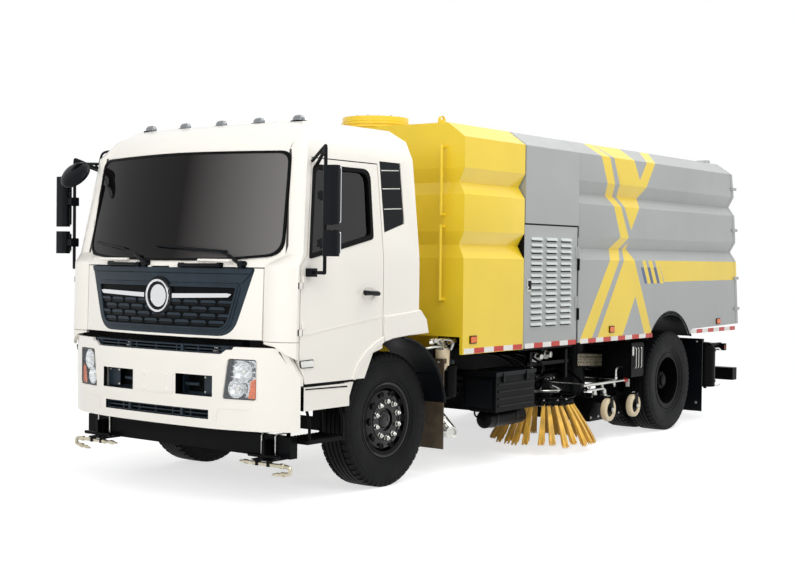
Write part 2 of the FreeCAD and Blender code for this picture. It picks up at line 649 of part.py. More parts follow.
def make_axles():
    z = S.tyre_radius
    beam_top = z - S.beam_drop + S.beam_height * HALF
    beam_low = beam_top - S.beam_height
    wide = S.beam_width * HALF
    inner = S.kingpin_y - S.beam_width
    boss = S.beam_height * HALF
    parts = [box("front_beam", -wide, wide, -inner, inner, beam_low, beam_top)]
    rear_x = -S.wheelbase
    parts.append(rod("rear_tube", "y", S.rear_tube_radius, S.drum_width - S.twin_inner_y,
                     S.twin_inner_y - S.drum_width, rear_x, z))
    parts.append(rod("half_shafts", "y", S.spindle_radius, -S.twin_outer_y, S.twin_outer_y,
                     rear_x, z))
    parts.append(ball("differential", S.diff_radius, rear_x, 0, z))
    parts.append(rod("shaft", "x", S.shaft_radius, rear_x, S.engine_rear - S.gearbox_length,
                     0, S.shaft_z))
    seat_low = S.front_spring_top - S.spring_drop - S.leaf_thickness * len(LEAF_SHARES)
    beam_end = S.kingpin_y - S.knuckle_radius - S.panel_gap
    side = [box("beam_end", -wide, wide, inner - wide, beam_end, beam_low, z + boss),
            cut("boss", rod("boss_body", "z", boss, z - boss, z + boss, 0, S.kingpin_y),
                rod("boss_bore", "z", S.kingpin_radius + S.bearing_gap, z - z, z + z,
                    0, S.kingpin_y)),
            box("boss_web", -wide, wide, inner, S.kingpin_y - S.kingpin_radius - S.leaf_thickness,
                z - boss, z + boss)]
    side += leaf_spring("front_leaf", as_size(0), S.front_spring_half, S.front_spring_y,
                        S.front_spring_top)
    side += leaf_spring("rear_leaf", -S.wheelbase, S.rear_spring_half, S.rear_spring_y,
                        S.rear_spring_top)
    half = S.spring_width * HALF
    side.append(box("front_seat", -wide, wide, S.front_spring_y - half, S.front_spring_y + half,
                    beam_top, seat_low + S.leaf_thickness))
    rail_low = S.rail_top - S.rail_height
    for x in (S.front_spring_half, -S.front_spring_half):
        side.append(box("front_hanger", x - half, x + half, S.front_spring_y - half,
                        S.rail_y, S.front_spring_top - S.leaf_thickness, rail_low))
    for x in (S.rear_spring_half, -S.rear_spring_half):
        side.append(box("rear_hanger", rear_x + x - half, rear_x + x + half, S.rail_y,
                        S.rear_spring_y + half, S.rear_spring_top - S.leaf_thickness,
                        S.rear_spring_top + S.beam_height))
    side.append(box("rear_seat", rear_x - wide, rear_x + wide, S.rear_spring_y - half,
                    S.rear_spring_y + half, z, S.rear_spring_top - S.spring_drop))
    parts += side
    parts += [mirrored("right_" + item.Name, item) for item in side]
    return piece("axles", fuse("axles", *parts))


def make_engine():
    gearbox_rear = S.engine_rear - S.gearbox_length
    middle = S.shaft_z + S.beam_height
    block = box("engine_block", S.engine_rear, S.engine_front, -S.engine_half_width,
                S.engine_half_width, S.engine_low, S.engine_top)
    gearbox = rod("gearbox", "x", S.gearbox_radius, gearbox_rear, S.engine_rear, 0, middle)
    foot_low = S.rail_top - S.rail_height + S.rail_thickness
    foot = box("engine_foot", S.engine_front - S.gearbox_radius, S.engine_front - S.beam_width,
               S.engine_half_width, S.rail_y - S.rail_thickness, foot_low, foot_low + S.pin_radius)
    return piece("engine", fuse("engine", block, gearbox, foot, mirrored("right_foot", foot)))


def bumper_plan(outer, inner):
    """The bumper's curved strip in plan, between two depths behind its outer face."""
    points = []
    for depth, hollow in ((outer, False), (inner, True)):
        turn = -1 if hollow else 1
        nose = S.bumper_front - depth
        mid = S.bumper_mid_x - depth
        mid_y = S.bumper_mid_y - depth * S.depth_share
        side = S.bumper_side - depth
        run = [(S.bumper_rear, -side, S.bumper_corner_round * turn),
               (mid, -mid_y, S.bumper_cheek_round * turn),
               (nose, -S.bumper_front_half, S.bumper_nose_round * turn),
               (nose, S.bumper_front_half, S.bumper_cheek_round * turn),
               (mid, mid_y, S.bumper_corner_round * turn), (S.bumper_rear, side)]
        if hollow:
            back = [(S.bumper_rear, side, S.bumper_corner_round * turn),
                    (mid, mid_y, S.bumper_cheek_round * turn),
                    (nose, S.bumper_front_half, S.bumper_nose_round * turn),
                    (nose, -S.bumper_front_half, S.bumper_cheek_round * turn),
                    (mid, -mid_y, S.bumper_corner_round * turn), (S.bumper_rear, -side)]
            run = back
        points += run
    return points


def lamp_outline(gap):
    return [(S.lamp_inner + gap, S.lamp_low + gap), (S.lamp_outer - gap, S.lamp_low + gap),
            (S.lamp_outer - gap, S.lamp_top - gap), (S.lamp_inner_top + gap, S.lamp_top - gap)]


def flipped(points):
    """The same outline on the other side of the truck's middle plane."""
    return [(-u, v) for u, v in reversed(points)]


def make_bumper():
    shell = Design("bumper")
    shell.pad("XY", bumper_plan(as_size(0), S.bumper_skin), S.bumper_low, S.bumper_top)
    rear, front = S.rail_front, S.bumper_front + S.overrun
    left = lamp_outline(as_size(0))
    recess = rect(S.recess_inner, S.recess_outer, S.recess_low, S.recess_top)
    for outline_points in (left, flipped(left), recess, flipped(recess)):
        shell.pocket("YZ", outline_points, rear, front)
    shell.pocket("YZ", rect(-S.slot_half, S.slot_half, S.slot_low, S.slot_top), rear, front)
    over = S.bumper_top + S.overrun
    shell.pocket("YZ", [(-S.notch_low_half, S.notch_low), (S.notch_low_half, S.notch_low),
                        (S.notch_half, S.upper_grille_top), (S.notch_half, over),
                        (-S.notch_half, over), (-S.notch_half, S.upper_grille_top)], rear, front)
    slant = [(S.bumper_rear - S.overrun, S.bumper_slant_low),
             (S.bumper_rear, S.bumper_slant_low),
             (S.bumper_rear + S.bumper_slant_ahead, S.bumper_top),
             (S.bumper_rear + S.bumper_slant_ahead, S.bumper_top + S.overrun),
             (S.bumper_rear - S.overrun, S.bumper_top + S.overrun)]
    wide = S.bumper_side + S.overrun
    shell.pocket("XZ", slant, -wide, wide)
    rib = box("bumper_rib", S.carrier_x, S.bumper_front - S.bumper_skin - S.pin_radius,
              S.rib_y, S.rib_y + S.bumper_skin, S.slot_top + S.pin_radius, S.recess_top)
    body = fuse("bumper_shell", shell.body, rib, mirrored("right_rib", rib))
    return piece("bumper", body)


def make_headlights():
    strip = prism("lamp_strip", "XY", bumper_plan(S.lens_inset, S.lamp_depth),
                  S.bumper_low, S.bumper_top)
    glass = prism("lamp_front", "YZ", lamp_outline(S.fit_gap), S.rail_front,
                  S.bumper_front + S.overrun)
    return piece("headlights", both("headlights", common("headlight", strip, glass)))


def make_bumper_grilles():
    """The slotted black inserts above and below, and the two trays beside the plate."""
    strip = prism("grille_strip", "XY", bumper_plan(S.grille_inset, S.grille_depth * 2),
                  S.bumper_low, S.upper_grille_top)
    gap = S.fit_gap
    rear, front = S.rail_front, S.bumper_front + S.overrun
    low_face = rect(gap - S.slot_half, S.slot_half - gap, S.slot_low + gap, S.slot_top - gap)
    top_face = [(gap * 2 - S.notch_low_half, S.notch_low + gap),
                (S.notch_low_half - gap * 2, S.notch_low + gap),
                (S.notch_half - gap * 2, S.upper_grille_top),
                (gap * 2 - S.notch_half, S.upper_grille_top)]
    faces = group("grille_faces", prism("low_face", "YZ", low_face, rear, front),
                  prism("top_face", "YZ", top_face, rear, front))
    blank = common("grille_blank", strip, faces)
    cells = []
    wall = S.grille_bar
    for half, low, high, rows in ((S.slot_half, S.slot_low, S.slot_top, 2),
                                  (S.notch_low_half, S.notch_low, S.upper_grille_top, 2)):
        columns = 6
        step_y = (half - wall) * 2 / columns
        step_z = (high - low - wall) / rows
        for column in range(columns):
            for row_index in range(rows):
                y0 = wall - half + step_y * column
                z0 = low + wall + step_z * row_index
                cells.append(box("cell", S.carrier_x, front, y0, y0 + step_y - wall,
                                 z0, z0 + step_z - wall))
    bars = cut("grille_bars", blank, *cells)
    wall = S.rail_thickness
    tray = cut("tray", box("tray_body", S.carrier_x, S.tray_front, S.recess_inner - wall,
                           S.recess_outer + wall, S.recess_low - wall, S.recess_top + wall),
               box("tray_hollow", S.carrier_x + wall, front, S.recess_inner, S.recess_outer,
                   S.recess_low, S.recess_top))
    return piece("bumper_grilles", group("bumper_grilles", bars, both("trays", tray)))


def make_wash_beam():
    z0 = S.rail_top - S.rail_height
    beam = box("beam", S.beam_rear_x, S.beam_front_x, -S.beam_half, S.beam_half,
               S.beam_low, S.beam_top)
    hanger = box("hanger", S.beam_rear_x - S.cross_width * HALF, S.rail_front,
                 S.rail_y - S.rail_flange, S.rail_y, S.beam_top - S.cross_width, z0)
    stem = box("stem", S.beam_front_x, S.nozzle_x + S.nozzle_radius, S.nozzle_y - S.nozzle_radius,
               S.nozzle_y + S.nozzle_radius, S.nozzle_z, S.nozzle_z + S.nozzle_hang)
    pipe = rod("pipe", "y", S.nozzle_radius, S.nozzle_y - S.nozzle_half_span,
               S.nozzle_y + S.nozzle_half_span, S.nozzle_x, S.nozzle_z)
    side = [hanger, stem, pipe]
    parts = [beam] + side + [mirrored("right_" + item.Name, item) for item in side]
    return piece("wash_beam", fuse("wash_beam", *parts))


def make_steps():
    t = S.tread_thickness
    skin = box("skin", S.step_rear, S.step_front, S.step_outer - t, S.step_outer,
               S.step_fairing_low, S.step_fairing_top)
    tread = box("tread", S.step_rear, S.step_front, S.step_inner, S.step_outer,
                S.step_fairing_low, S.step_fairing_low + t)
    inset = S.tread_thickness
    low = box("low_tread", S.step_rear + inset, S.beam_rear_x - S.panel_gap, S.step_inner,
              S.step_outer - inset * HALF, S.step_low, S.step_low + t)
    parts = [skin, tread, low]
    for x in (S.step_rear + inset * 2, S.beam_rear_x - inset):
        parts.append(box("step_hanger", x - t * HALF, x, S.step_inner, S.step_inner + t,
                         S.step_low, S.step_fairing_low + t))
    stay_x = S.step_front - S.nozzle_half_span
    parts.append(box("step_stay", stay_x - S.cross_width, stay_x, S.rail_y, S.step_inner + t,
                     S.rail_top - S.rail_height, S.rail_top - S.rail_height + t))
    return piece("steps", both("steps", fuse("step", *parts)))


# where each guard's arc starts above the level line behind the wheel, and how far it goes on
FRONT_GUARD_DEGREES = (8, 77)
REAR_GUARD_DEGREES = (40, 100)


def make_mudguards():
    t = S.guard_thickness
    inner, outer, radius = S.guard_inner, S.guard_outer, S.guard_radius
    front = turned("front_guard", rect(inner, outer, radius, radius + t), "y", 0, 0,
                   S.tyre_radius, FRONT_GUARD_DEGREES[1], FRONT_GUARD_DEGREES[0])
    stay_x = S.guard_radius * -S.guard_stay_share
    stay_z = S.tyre_radius + S.guard_radius * HALF
    front_stay = box("front_stay", stay_x - t, stay_x + t, S.rail_y, inner + S.overrun,
                     stay_z - t, stay_z + t)
    bracket_top = S.flap_hang_z
    flap_stay = box("flap_stay", S.flap_x - t * 4, S.flap_x, S.rail_y, S.flap_outer,
                    bracket_top - S.cross_width * HALF, bracket_top)
    flap = box("flap", S.flap_x, S.flap_x + S.flap_thickness, S.flap_inner, S.flap_outer,
               S.flap_low, bracket_top)
    rear_x = -S.wheelbase
    rear = turned("rear_guard", rect(S.rear_guard_inner, S.rear_guard_outer, S.rear_guard_radius,
                                     S.rear_guard_radius + t), "y", rear_x, 0, S.tyre_radius,
                  REAR_GUARD_DEGREES[1], REAR_GUARD_DEGREES[0])
    top = S.tyre_radius + S.rear_guard_radius
    post_y = S.rear_guard_inner - S.spring_width * HALF
    post = box("guard_post", rear_x - t * 2, rear_x + t * 2, post_y, S.rear_guard_inner + t,
               top - S.guard_post_height, top + t)
    arm = box("guard_arm", rear_x - t * 2, rear_x + t * 2, S.rail_y, S.rear_guard_inner,
              top - S.guard_post_height, top - S.guard_post_height + t * 4)
    rear_flap = box("rear_flap", S.rear_flap_x, S.rear_flap_x + S.flap_thickness,
                    S.rear_guard_inner, S.rear_guard_outer, S.rear_flap_low, S.rear_flap_top)
    rear_stay = box("rear_flap_stay", S.rear_flap_x - t * 4, S.rear_flap_x, S.rail_y,
                    S.rear_guard_outer, S.rear_flap_top - S.cross_width * HALF, S.rear_flap_top)
    parts = [fuse("front_guards", front, front_stay), fuse("flaps", flap_stay, flap),
             fuse("rear_guards", rear, post, arm), fuse("rear_flaps", rear_flap, rear_stay)]
    return piece("mudguards", both("mudguards", group("left_guards", *parts)))


def make_battery_box():
    case = box("battery_case", S.box_rear, S.box_front, S.box_inner, S.box_outer,
               S.box_low, S.box_top)
    parts = [case]
    tank = rod("air_tank", "x", S.air_tank_radius, S.air_tank_rear, S.air_tank_front,
               S.air_tank_y, S.air_tank_z)
    parts.append(tank)
    for x in (S.box_front - S.cross_width, S.box_rear + S.cross_width * 2):
        parts.append(box("box_stay", x - S.cross_width, x, S.rail_y, S.box_inner,
                         S.box_top - S.cross_width, S.box_top - S.cross_width * HALF))
        parts.append(box("air_strap", x - S.strap_width, x, S.air_tank_y - S.strap_width,
                         S.air_tank_y + S.strap_width, S.air_tank_z, S.box_low))
    return piece("battery_box", fuse("battery_box", *parts))


def make_fuel_tank():
    case = Design("fuel_case")
    case.pad("YZ", rect(-S.fuel_outer, -S.fuel_inner, S.fuel_low, S.fuel_top),
             S.fuel_rear, S.fuel_front)

    def lengthwise(edge):
        first, last = edge.Vertexes[0].Point, edge.Vertexes[-1].Point
        return abs(first.x - last.x) > S.fuel_round.value * 2

    case.rounded(S.fuel_round, lengthwise)
    parts = [case.body]
    for x in (S.fuel_front - S.cross_width, S.fuel_rear + S.cross_width * 2):
        parts.append(box("fuel_stay", x - S.cross_width, x, -S.fuel_inner - S.tread_thickness,
                         -S.rail_y, S.fuel_top - S.cross_width * 2, S.fuel_top - S.cross_width))
    parts.append(rod("filler_cap", "z", S.cup_radius, S.fuel_top - S.tread_thickness,
                     S.fuel_top + S.tread_thickness * HALF, S.fuel_front - S.cross_width * 2,
                     -S.fuel_outer + S.fuel_round * 2))
    return piece("fuel_tank", fuse("fuel_tank", *parts))


def make_exhaust():
    drum = rod("muffler", "x", S.muffler_radius, S.muffler_rear, S.muffler_front,
               S.muffler_y, S.muffler_z)
    bend = (S.muffler_rear - S.tailpipe_radius, S.muffler_y, S.muffler_z)
    end = (S.tailpipe_x, S.tailpipe_y, S.tailpipe_z)
    first = rod("muffler_neck", "x", S.tailpipe_radius, S.muffler_rear - S.tailpipe_radius,
                S.muffler_rear + S.tailpipe_radius, S.muffler_y, S.muffler_z)
    elbow = ball("elbow", S.tailpipe_radius, *bend)
    pipe = bar("tailpipe", S.tailpipe_radius, bend, end)
    strap = box("muffler_strap", S.muffler_rear + S.cross_width, S.muffler_rear + S.cross_width * 2,
                S.rail_y, S.muffler_y + S.tailpipe_radius, S.muffler_z + S.muffler_radius - S.pin_radius,
                S.rail_top - S.rail_height + S.tailpipe_radius)
    return piece("exhaust", fuse("exhaust", drum, first, elbow, pipe, strap))


def make_side_locker():
    locker = box("locker", S.small_box_rear, S.small_box_front, S.small_box_inner,
                 S.small_box_outer, S.small_box_low, S.small_box_top)
    stay = box("locker_stay", S.small_box_rear + S.cross_width, S.small_box_front - S.cross_width,
               S.rail_y, S.small_box_inner, S.small_box_top - S.cross_width,
               S.small_box_top - S.strap_width)
    cup = rod("separator", "z", S.cup_radius, S.cup_low, S.cup_top, S.cup_x, S.cup_y)
    stem = rod("separator_stem", "z", S.pin_radius, S.cup_top, S.tank_floor, S.cup_x, S.cup_y)
    return piece("side_locker", group("side_locker", fuse("locker_body", locker, stay),
                                      fuse("separator_body", cup, stem)))


def body_side(inset):
    """One side of the body's cross-section from its sill to its roof, grooves included."""
    half = S.body_half - inset
    deep = half - S.groove_depth
    return [(half, S.lower_groove_low), (deep, S.lower_groove_mid), (half, S.lower_groove_top),
            (half, S.upper_groove_low), (deep, S.upper_groove_mid), (half, S.upper_groove_top),
            (half, S.body_shoulder), (S.roof_half - inset * S.roof_inset_share, S.body_top - inset)]


def body_section(inset, low, grooved=True):
    side = body_side(inset) if grooved else body_side(inset)[-2:]
    side = [(S.body_half - inset, low)] + side
    return side + flipped(side)


def groove_cuts(name, x0, x1):
    """Wedges that cut the two long grooves into the left side."""
    out = S.body_half + S.overrun
    cuts = []
    for low, mid, top in ((S.lower_groove_low, S.lower_groove_mid, S.lower_groove_top),
                          (S.upper_groove_low, S.upper_groove_mid, S.upper_groove_top)):
        wedge = [(S.body_half, low), (out, low), (out, top), (S.body_half, top),
                 (S.body_half - S.groove_depth, mid)]
        cuts.append(prism(name, "YZ", wedge, x0, x1))
    return cuts


def make_water_tank():
    wall = S.body_wall
    shell = prism("tank_shell", "YZ", body_section(as_size(0), S.body_low), S.tank_rear,
                  S.tank_front)
    under = box("tank_under", S.tank_rear - wall, S.tank_front + wall, wall - S.body_half,
                S.body_half - wall, S.body_low - wall, S.tank_floor)
    hollow = prism("tank_hollow", "YZ", body_section(wall, S.tank_floor + wall),
                   S.tank_rear + wall, S.tank_front - S.front_groove_depth - wall)
    out = S.tank_front + S.overrun
    tools = [under, hollow]
    for low, mid, top in ((S.lower_groove_low, S.lower_groove_mid, S.lower_groove_top),
                          (S.upper_groove_low, S.upper_groove_mid, S.upper_groove_top)):
        wedge = [(S.tank_front, low), (out, low), (out, top), (S.tank_front, top),
                 (S.tank_front - S.front_groove_depth, mid)]
        tools.append(prism("front_groove", "XZ", wedge, -S.body_half, S.body_half))
    neck = rod("neck", "z", S.hatch_radius, S.body_top - wall, S.hatch_neck_top, S.hatch_x, 0)
    bore = rod("neck_bore", "z", S.hatch_radius - S.hatch_wall, S.body_shoulder,
               S.hatch_neck_top + wall, S.hatch_x, 0)
    shell = cut("tank_open", fuse("tank_and_neck", cut("tank_walls", shell, *tools), neck), bore)
    side = []
    eye = rod("eye", "y", S.eye_radius, S.eye_y, S.eye_y + S.eye_thickness, S.eye_x,
              S.body_top + S.eye_rise - S.eye_hole)
    side.append(cut("lifting_eye", eye, rod("eye_hole", "y", S.eye_hole, S.eye_y - wall,
                                            S.eye_y + wall + wall, S.eye_x,
                                            S.body_top + S.eye_rise)))
    for low, top in ((S.upper_bar_low, S.upper_bar_top), (S.lower_bar_low, S.lower_bar_top)):
        x = S.tank_front + S.rail_bar_out
        side.append(rod("grab_bar", "z", S.rail_bar_radius, low, top, x, S.rail_bar_y))
        for z in (low, top):
            side.append(rod("grab_end", "x", S.rail_bar_radius, S.tank_front - S.rail_bar_radius,
                            x, S.rail_bar_y, z))
            side.append(ball("grab_corner", S.rail_bar_radius, x, S.rail_bar_y, z))
    hinge_x = S.hatch_x - S.hatch_radius - S.hatch_hinge_out
    half = S.hinge_length * HALF
    for y in (-half - S.lug_radius, half):
        side_lug = box("hatch_lug", hinge_x - S.pin_radius, hinge_x + S.pin_radius, y,
                       y + S.lug_radius, S.body_top - S.pin_radius, S.lid_hinge_z + S.pin_radius)
        shell = fuse("tank_lugged", shell, side_lug)
    pin = rod("hatch_pin", "y", S.pin_radius * HALF, -half - S.pin_radius, half + S.pin_radius,
              hinge_x, S.lid_hinge_z)
    saddles = [box("tank_saddle", x - S.cross_width, x, -S.rail_y, S.rail_y, S.rail_top,
                   S.tank_floor + wall * HALF)
               for x in (S.tank_front - S.cross_width, S.tank_rear + S.cross_width * 2)]
    parts = [shell, pin] + side + [mirrored("right_" + item.Name, item) for item in side]
    return piece("water_tank", fuse("water_tank", *parts, *saddles))


def make_hatch_lid():
    hinge_x = S.hatch_x - S.hatch_radius - S.hatch_hinge_out
    half = S.hinge_length * HALF - S.fit_gap
    low = S.hatch_neck_top + S.fit_gap
    disc = rod("lid_disc", "z", S.hatch_radius, low, S.lid_top, S.hatch_x, 0)
    arm = box("lid_arm", hinge_x, S.hatch_x, -half, half, low, S.lid_top)
    knuckle = rod("lid_knuckle", "y", S.pin_radius, -half, half, hinge_x, S.lid_hinge_z)
    bore = rod("lid_bore", "y", S.pin_radius * HALF + S.bearing_gap, -half - S.pin_radius,
               half + S.pin_radius, hinge_x, S.lid_hinge_z)
    return piece("hatch_lid", cut("hatch_lid", fuse("lid_body", disc, arm, knuckle), bore))


def make_bay_frame():
    floor_top = S.rail_top + S.bay_floor
    post = S.post_width
    plate = box("bay_floor", S.bay_rear, S.bay_front, -S.post_y - post, S.post_y + post,
                S.rail_top, floor_top)
    parts = [plate]
    side = []
    for x in (S.bay_rear, S.bay_front - post):
        side.append(box("post", x, x + post, S.post_y, S.post_y + post, S.rail_top, S.bay_top))
    side.append(box("header", S.bay_rear, S.bay_front, S.post_y, S.post_y + post,
                    S.bay_top - post, S.bay_top))
    pin_x, pin_y = S.bay_pin_x, S.bay_pin_y
    for z in (S.hinge_low_z, S.hinge_high_z):
        low = z - S.hinge_length
        leaf = box("leaf", pin_x - S.hinge_radius + S.hinge_nip, S.bay_rear + S.hinge_nip,
                   S.post_y, pin_y, low, z)
        knuckle = rod("fixed_knuckle", "z", S.hinge_radius, low, z, pin_x, pin_y)
        pin = rod("bay_pin", "z", S.hinge_radius * HALF, z, z + S.hinge_length * HALF,
                  pin_x, pin_y)
        side += [leaf, knuckle, pin]
    parts += side
    parts += [mirrored("right_" + item.Name, item) for item in side]
    return piece("bay_frame", fuse("bay_frame", *parts))


def make_aux_engine():
    floor_top = S.rail_top + S.bay_floor
    block = box("aux_block", S.aux_rear, S.aux_front, -S.aux_half, S.aux_half, floor_top,
                S.aux_top)
    return piece("auxiliary_engine", block)


def tyre_outline(middle):
    """A tyre's section as (along the axle, radius)."""
    half = S.tyre_width * HALF
    bead = S.tyre_bead_width * HALF
    rim_top = S.rim_flange_radius + S.fit_gap
    widest = (S.tyre_radius + rim_top) * HALF
    tread = half - S.tyre_shoulder * HALF
    bulge = S.tyre_radius - rim_top
    low = S.tyre_radius - S.tyre_shoulder
    return [(middle - bead, S.tyre_inner_radius), (middle + bead, S.tyre_inner_radius),
            (middle + bead, rim_top, bulge), (middle + half, widest, bulge * 2),
            (middle + half - S.fit_gap, low, S.tyre_shoulder), (middle + tread, S.tyre_radius),
            (middle - tread, S.tyre_radius, S.tyre_shoulder),
            (middle + S.fit_gap - half, low, bulge * 2), (middle - half, widest, bulge),
            (middle - bead, rim_top)]


def rim_outline(middle, disc):
    """A rim's section: barrel, two flanges and the disc towards the hub."""
    bead = S.tyre_bead_width * HALF
    edge = bead + S.rim_flange_width
    outer = S.tyre_inner_radius - S.fit_gap
    inner = outer - S.rim_wall
    disc_low = disc - S.disc_thickness * HALF
    disc_high = disc + S.disc_thickness * HALF
    gap = bead + S.fit_gap
    return [(middle - edge, inner), (disc_low, inner), (disc_low, S.hub_radius - S.rim_wall),
            (disc_high, S.hub_radius - S.rim_wall), (disc_high, inner), (middle + edge, inner),
            (middle + edge, S.rim_flange_radius), (middle + gap, S.rim_flange_radius),
            (middle + gap, outer), (middle - gap, outer), (middle - gap, S.rim_flange_radius),
            (middle - edge, S.rim_flange_radius)]


def nutted_rim(name, middle, disc, reach):
    """A disc wheel with ten hand holes and ten nuts, drawn about its own Y axis."""
    rim = Design(name)
    rim.spin(rim_outline(as_size(middle), disc))
    rear = disc - S.disc_thickness
    front = disc + S.disc_thickness
    hole = rim.pocket("XZ", (), rear, front, [(S.hand_hole_circle, 0, S.hand_hole_radius)])
    rim.wheel_of([hole], 10)
    nut = rim.pad("XZ", (), disc, reach, [(S.nut_circle_radius, 0, S.nut_radius)])
    rim.wheel_of([nut], 10)
    return rim.body


def make_wheels():
    z = S.tyre_radius
    front_tyre = turned("front_tyre", tyre_outline(as_size(0)), "y", 0, S.front_wheel_y, z)
    piece("front_tyre_left", front_tyre)
    piece("front_tyre_right", mirrored("front_tyre_right", front_tyre))
    rim = nutted_rim("front_rim", 0, S.disc_depth, S.disc_depth + S.nut_length)
    spot(rim, 0, S.front_wheel_y, z)
    hub_in = S.kingpin_y + S.knuckle_radius + S.beam_width * HALF
    hub_out = S.front_wheel_y + S.hub_reach
    hub = rod("hub", "y", S.hub_radius, hub_in, hub_out, 0, z)
    bore = rod("hub_bore", "y", S.spindle_radius + S.bearing_gap, hub_in - S.overrun,
               hub_out - S.rim_wall, 0, z)
    whole = cut("front_rim_left", fuse("front_wheel", rim, hub), bore)
    piece("front_rim_left", whole)
    piece("front_rim_right", mirrored("front_rim_right", whole))
    outlines = [turned("rear_tyre", tyre_outline(as_size(0)), "y", -S.wheelbase, y, z)
                for y in (S.twin_inner_y, S.twin_outer_y)]
    twins = group("rear_tyres", *outlines)
    piece("rear_tyres_left", twins)
    piece("rear_tyres_right", mirrored("rear_tyres_right", twins))
    dish = S.tyre_bead_width * HALF - S.disc_thickness
    outer = nutted_rim("outer_rim", 0, -dish, S.nut_length - dish)
    spot(outer, -S.wheelbase, S.twin_outer_y, z)
    inner = Design("inner_rim")
    inner.spin(rim_outline(as_size(0), dish))
    spot(inner.body, -S.wheelbase, S.twin_inner_y, z)
    drum_end = (S.twin_inner_y + S.twin_outer_y) * HALF
    drum = rod("drum", "y", S.drum_radius, S.twin_inner_y - S.drum_width * HALF, drum_end,
               -S.wheelbase, z)
    rear_hub = fuse("rear_hub",
                    rod("spacer", "y", S.nut_circle_radius + S.nut_radius, drum_end,
                        S.twin_outer_y - dish, -S.wheelbase, z),
                    rod("hub_end", "y", S.hub_radius, drum_end,
                        S.twin_outer_y + S.hub_reach * HALF, -S.wheelbase, z))
    bores = group("rear_bores",
                  rod("rear_bore", "y", S.spindle_radius + S.bearing_gap, S.rail_y,
                      S.twin_outer_y + S.bearing_gap, -S.wheelbase, z),
                  rod("tube_space", "y", S.rear_tube_radius + S.panel_gap, S.rail_y,
                      S.twin_inner_y - S.drum_width * HALF + S.nut_length, -S.wheelbase, z))
    rims = cut("rear_rims_left", fuse("rear_wheels", outer, inner.body, drum, rear_hub), bores)
    piece("rear_rims_left", rims)
    piece("rear_rims_right", mirrored("rear_rims_right", rims))


def make_knuckles():
    z = S.tyre_radius
    boss = S.beam_height * HALF
    half = S.knuckle_half_height
    plate_y = S.kingpin_y + S.knuckle_radius
    thick = S.beam_width * HALF - S.panel_gap
    wide = S.knuckle_radius
    parts = [box("plate", -wide, wide, plate_y, plate_y + thick, z - half, z + half),
             rod("kingpin", "z", S.kingpin_radius, z - half, z + half, 0, S.kingpin_y)]
    for low, high in ((z + boss + S.panel_gap, z + half), (z - half, z - boss - S.panel_gap)):
        parts.append(rod("lug", "z", wide, low, high, 0, S.kingpin_y))
        parts.append(box("lug_web", -wide, wide, S.kingpin_y, plate_y + thick * HALF, low, high))
    parts.append(rod("spindle", "y", S.spindle_radius, plate_y,
                     S.front_wheel_y + S.hub_reach - S.rim_wall * 2, 0, z))
    knuckle = fuse("knuckle_left", *parts)
    piece("knuckle_left", knuckle)
    piece("knuckle_right", mirrored("knuckle_right", knuckle))


def cab_section(name, level, front, corner_x, corner_y, side_x, side_y, rear, inset):
    """One level outline of the cab: bowed front, rounded corners, straight sides."""
    corner = corner_y - inset
    bow = front - corner_x
    bow_radius = (corner * corner + bow * bow) / (bow * 2)
    front_corner = corner_x - inset
    side_front = side_x - inset
    back = rear + inset
    side = side_y - inset
    points = [(back, -side), (side_front, -side, S.corner_bulge), (front_corner, -corner, bow_radius),
              (front_corner, corner, S.corner_bulge), (side_front, side), (back, side)]
    return outline(name, "XY", points, level)


def cab_loft(name, inset):
    inset = as_size(inset)
    levels = [
        (S.door_low_z, S.sill_front, S.sill_corner_x, S.sill_corner_y, S.sill_side_x, S.cab_side,
         S.cab_rear),
        (S.nose_z, S.nose_front, S.nose_corner_x, S.nose_corner_y, S.nose_side_x, S.cab_side,
         S.cab_rear),
        (S.screen_low, S.base_front, S.base_corner_x, S.base_corner_y, S.base_side_x,
         S.base_side_y, S.cab_rear),
        (S.screen_top, S.top_front, S.top_corner_x, S.top_corner_y, S.top_side_x, S.top_side_y,
         S.cab_rear),
        (S.brow_z - inset * HALF, S.brow_front, S.brow_corner_x, S.brow_corner_y, S.brow_side_x,
         S.brow_side_y, S.brow_rear),
        (S.roof_z - inset, S.roof_front, S.roof_corner_x, S.roof_corner_y, S.roof_side_x,
         S.roof_side_y, S.roof_rear),
    ]
    loft = add("Part::Loft", name)
    loft.Sections = [cab_section(name + "_level", *level, inset) for level in levels]
    loft.Solid = True
    loft.Ruled = True
    return loft


def door_outline(gap):
    return [(S.door_foot_rear + gap, S.door_low_z + gap),
            (S.door_foot_front - gap, S.door_low_z + gap),
            (S.door_sill_front - gap, S.door_slant_z), (S.door_nose_front - gap, S.nose_z),
            (S.door_base_front - gap, S.screen_low), (S.door_top_front - gap, S.door_top - gap),
            (S.door_rear + gap, S.door_top - gap), (S.door_rear + gap, S.door_slant_z),
            (S.door_arch_x + gap, S.door_arch_z)]


def screen_outline(gap):
    return [(gap - S.screen_low_half, S.screen_low_edge + gap),
            (S.screen_low_half - gap, S.screen_low_edge + gap),
            (S.screen_top_half - gap, S.screen_top_edge - gap),
            (gap - S.screen_top_half, S.screen_top_edge - gap)]


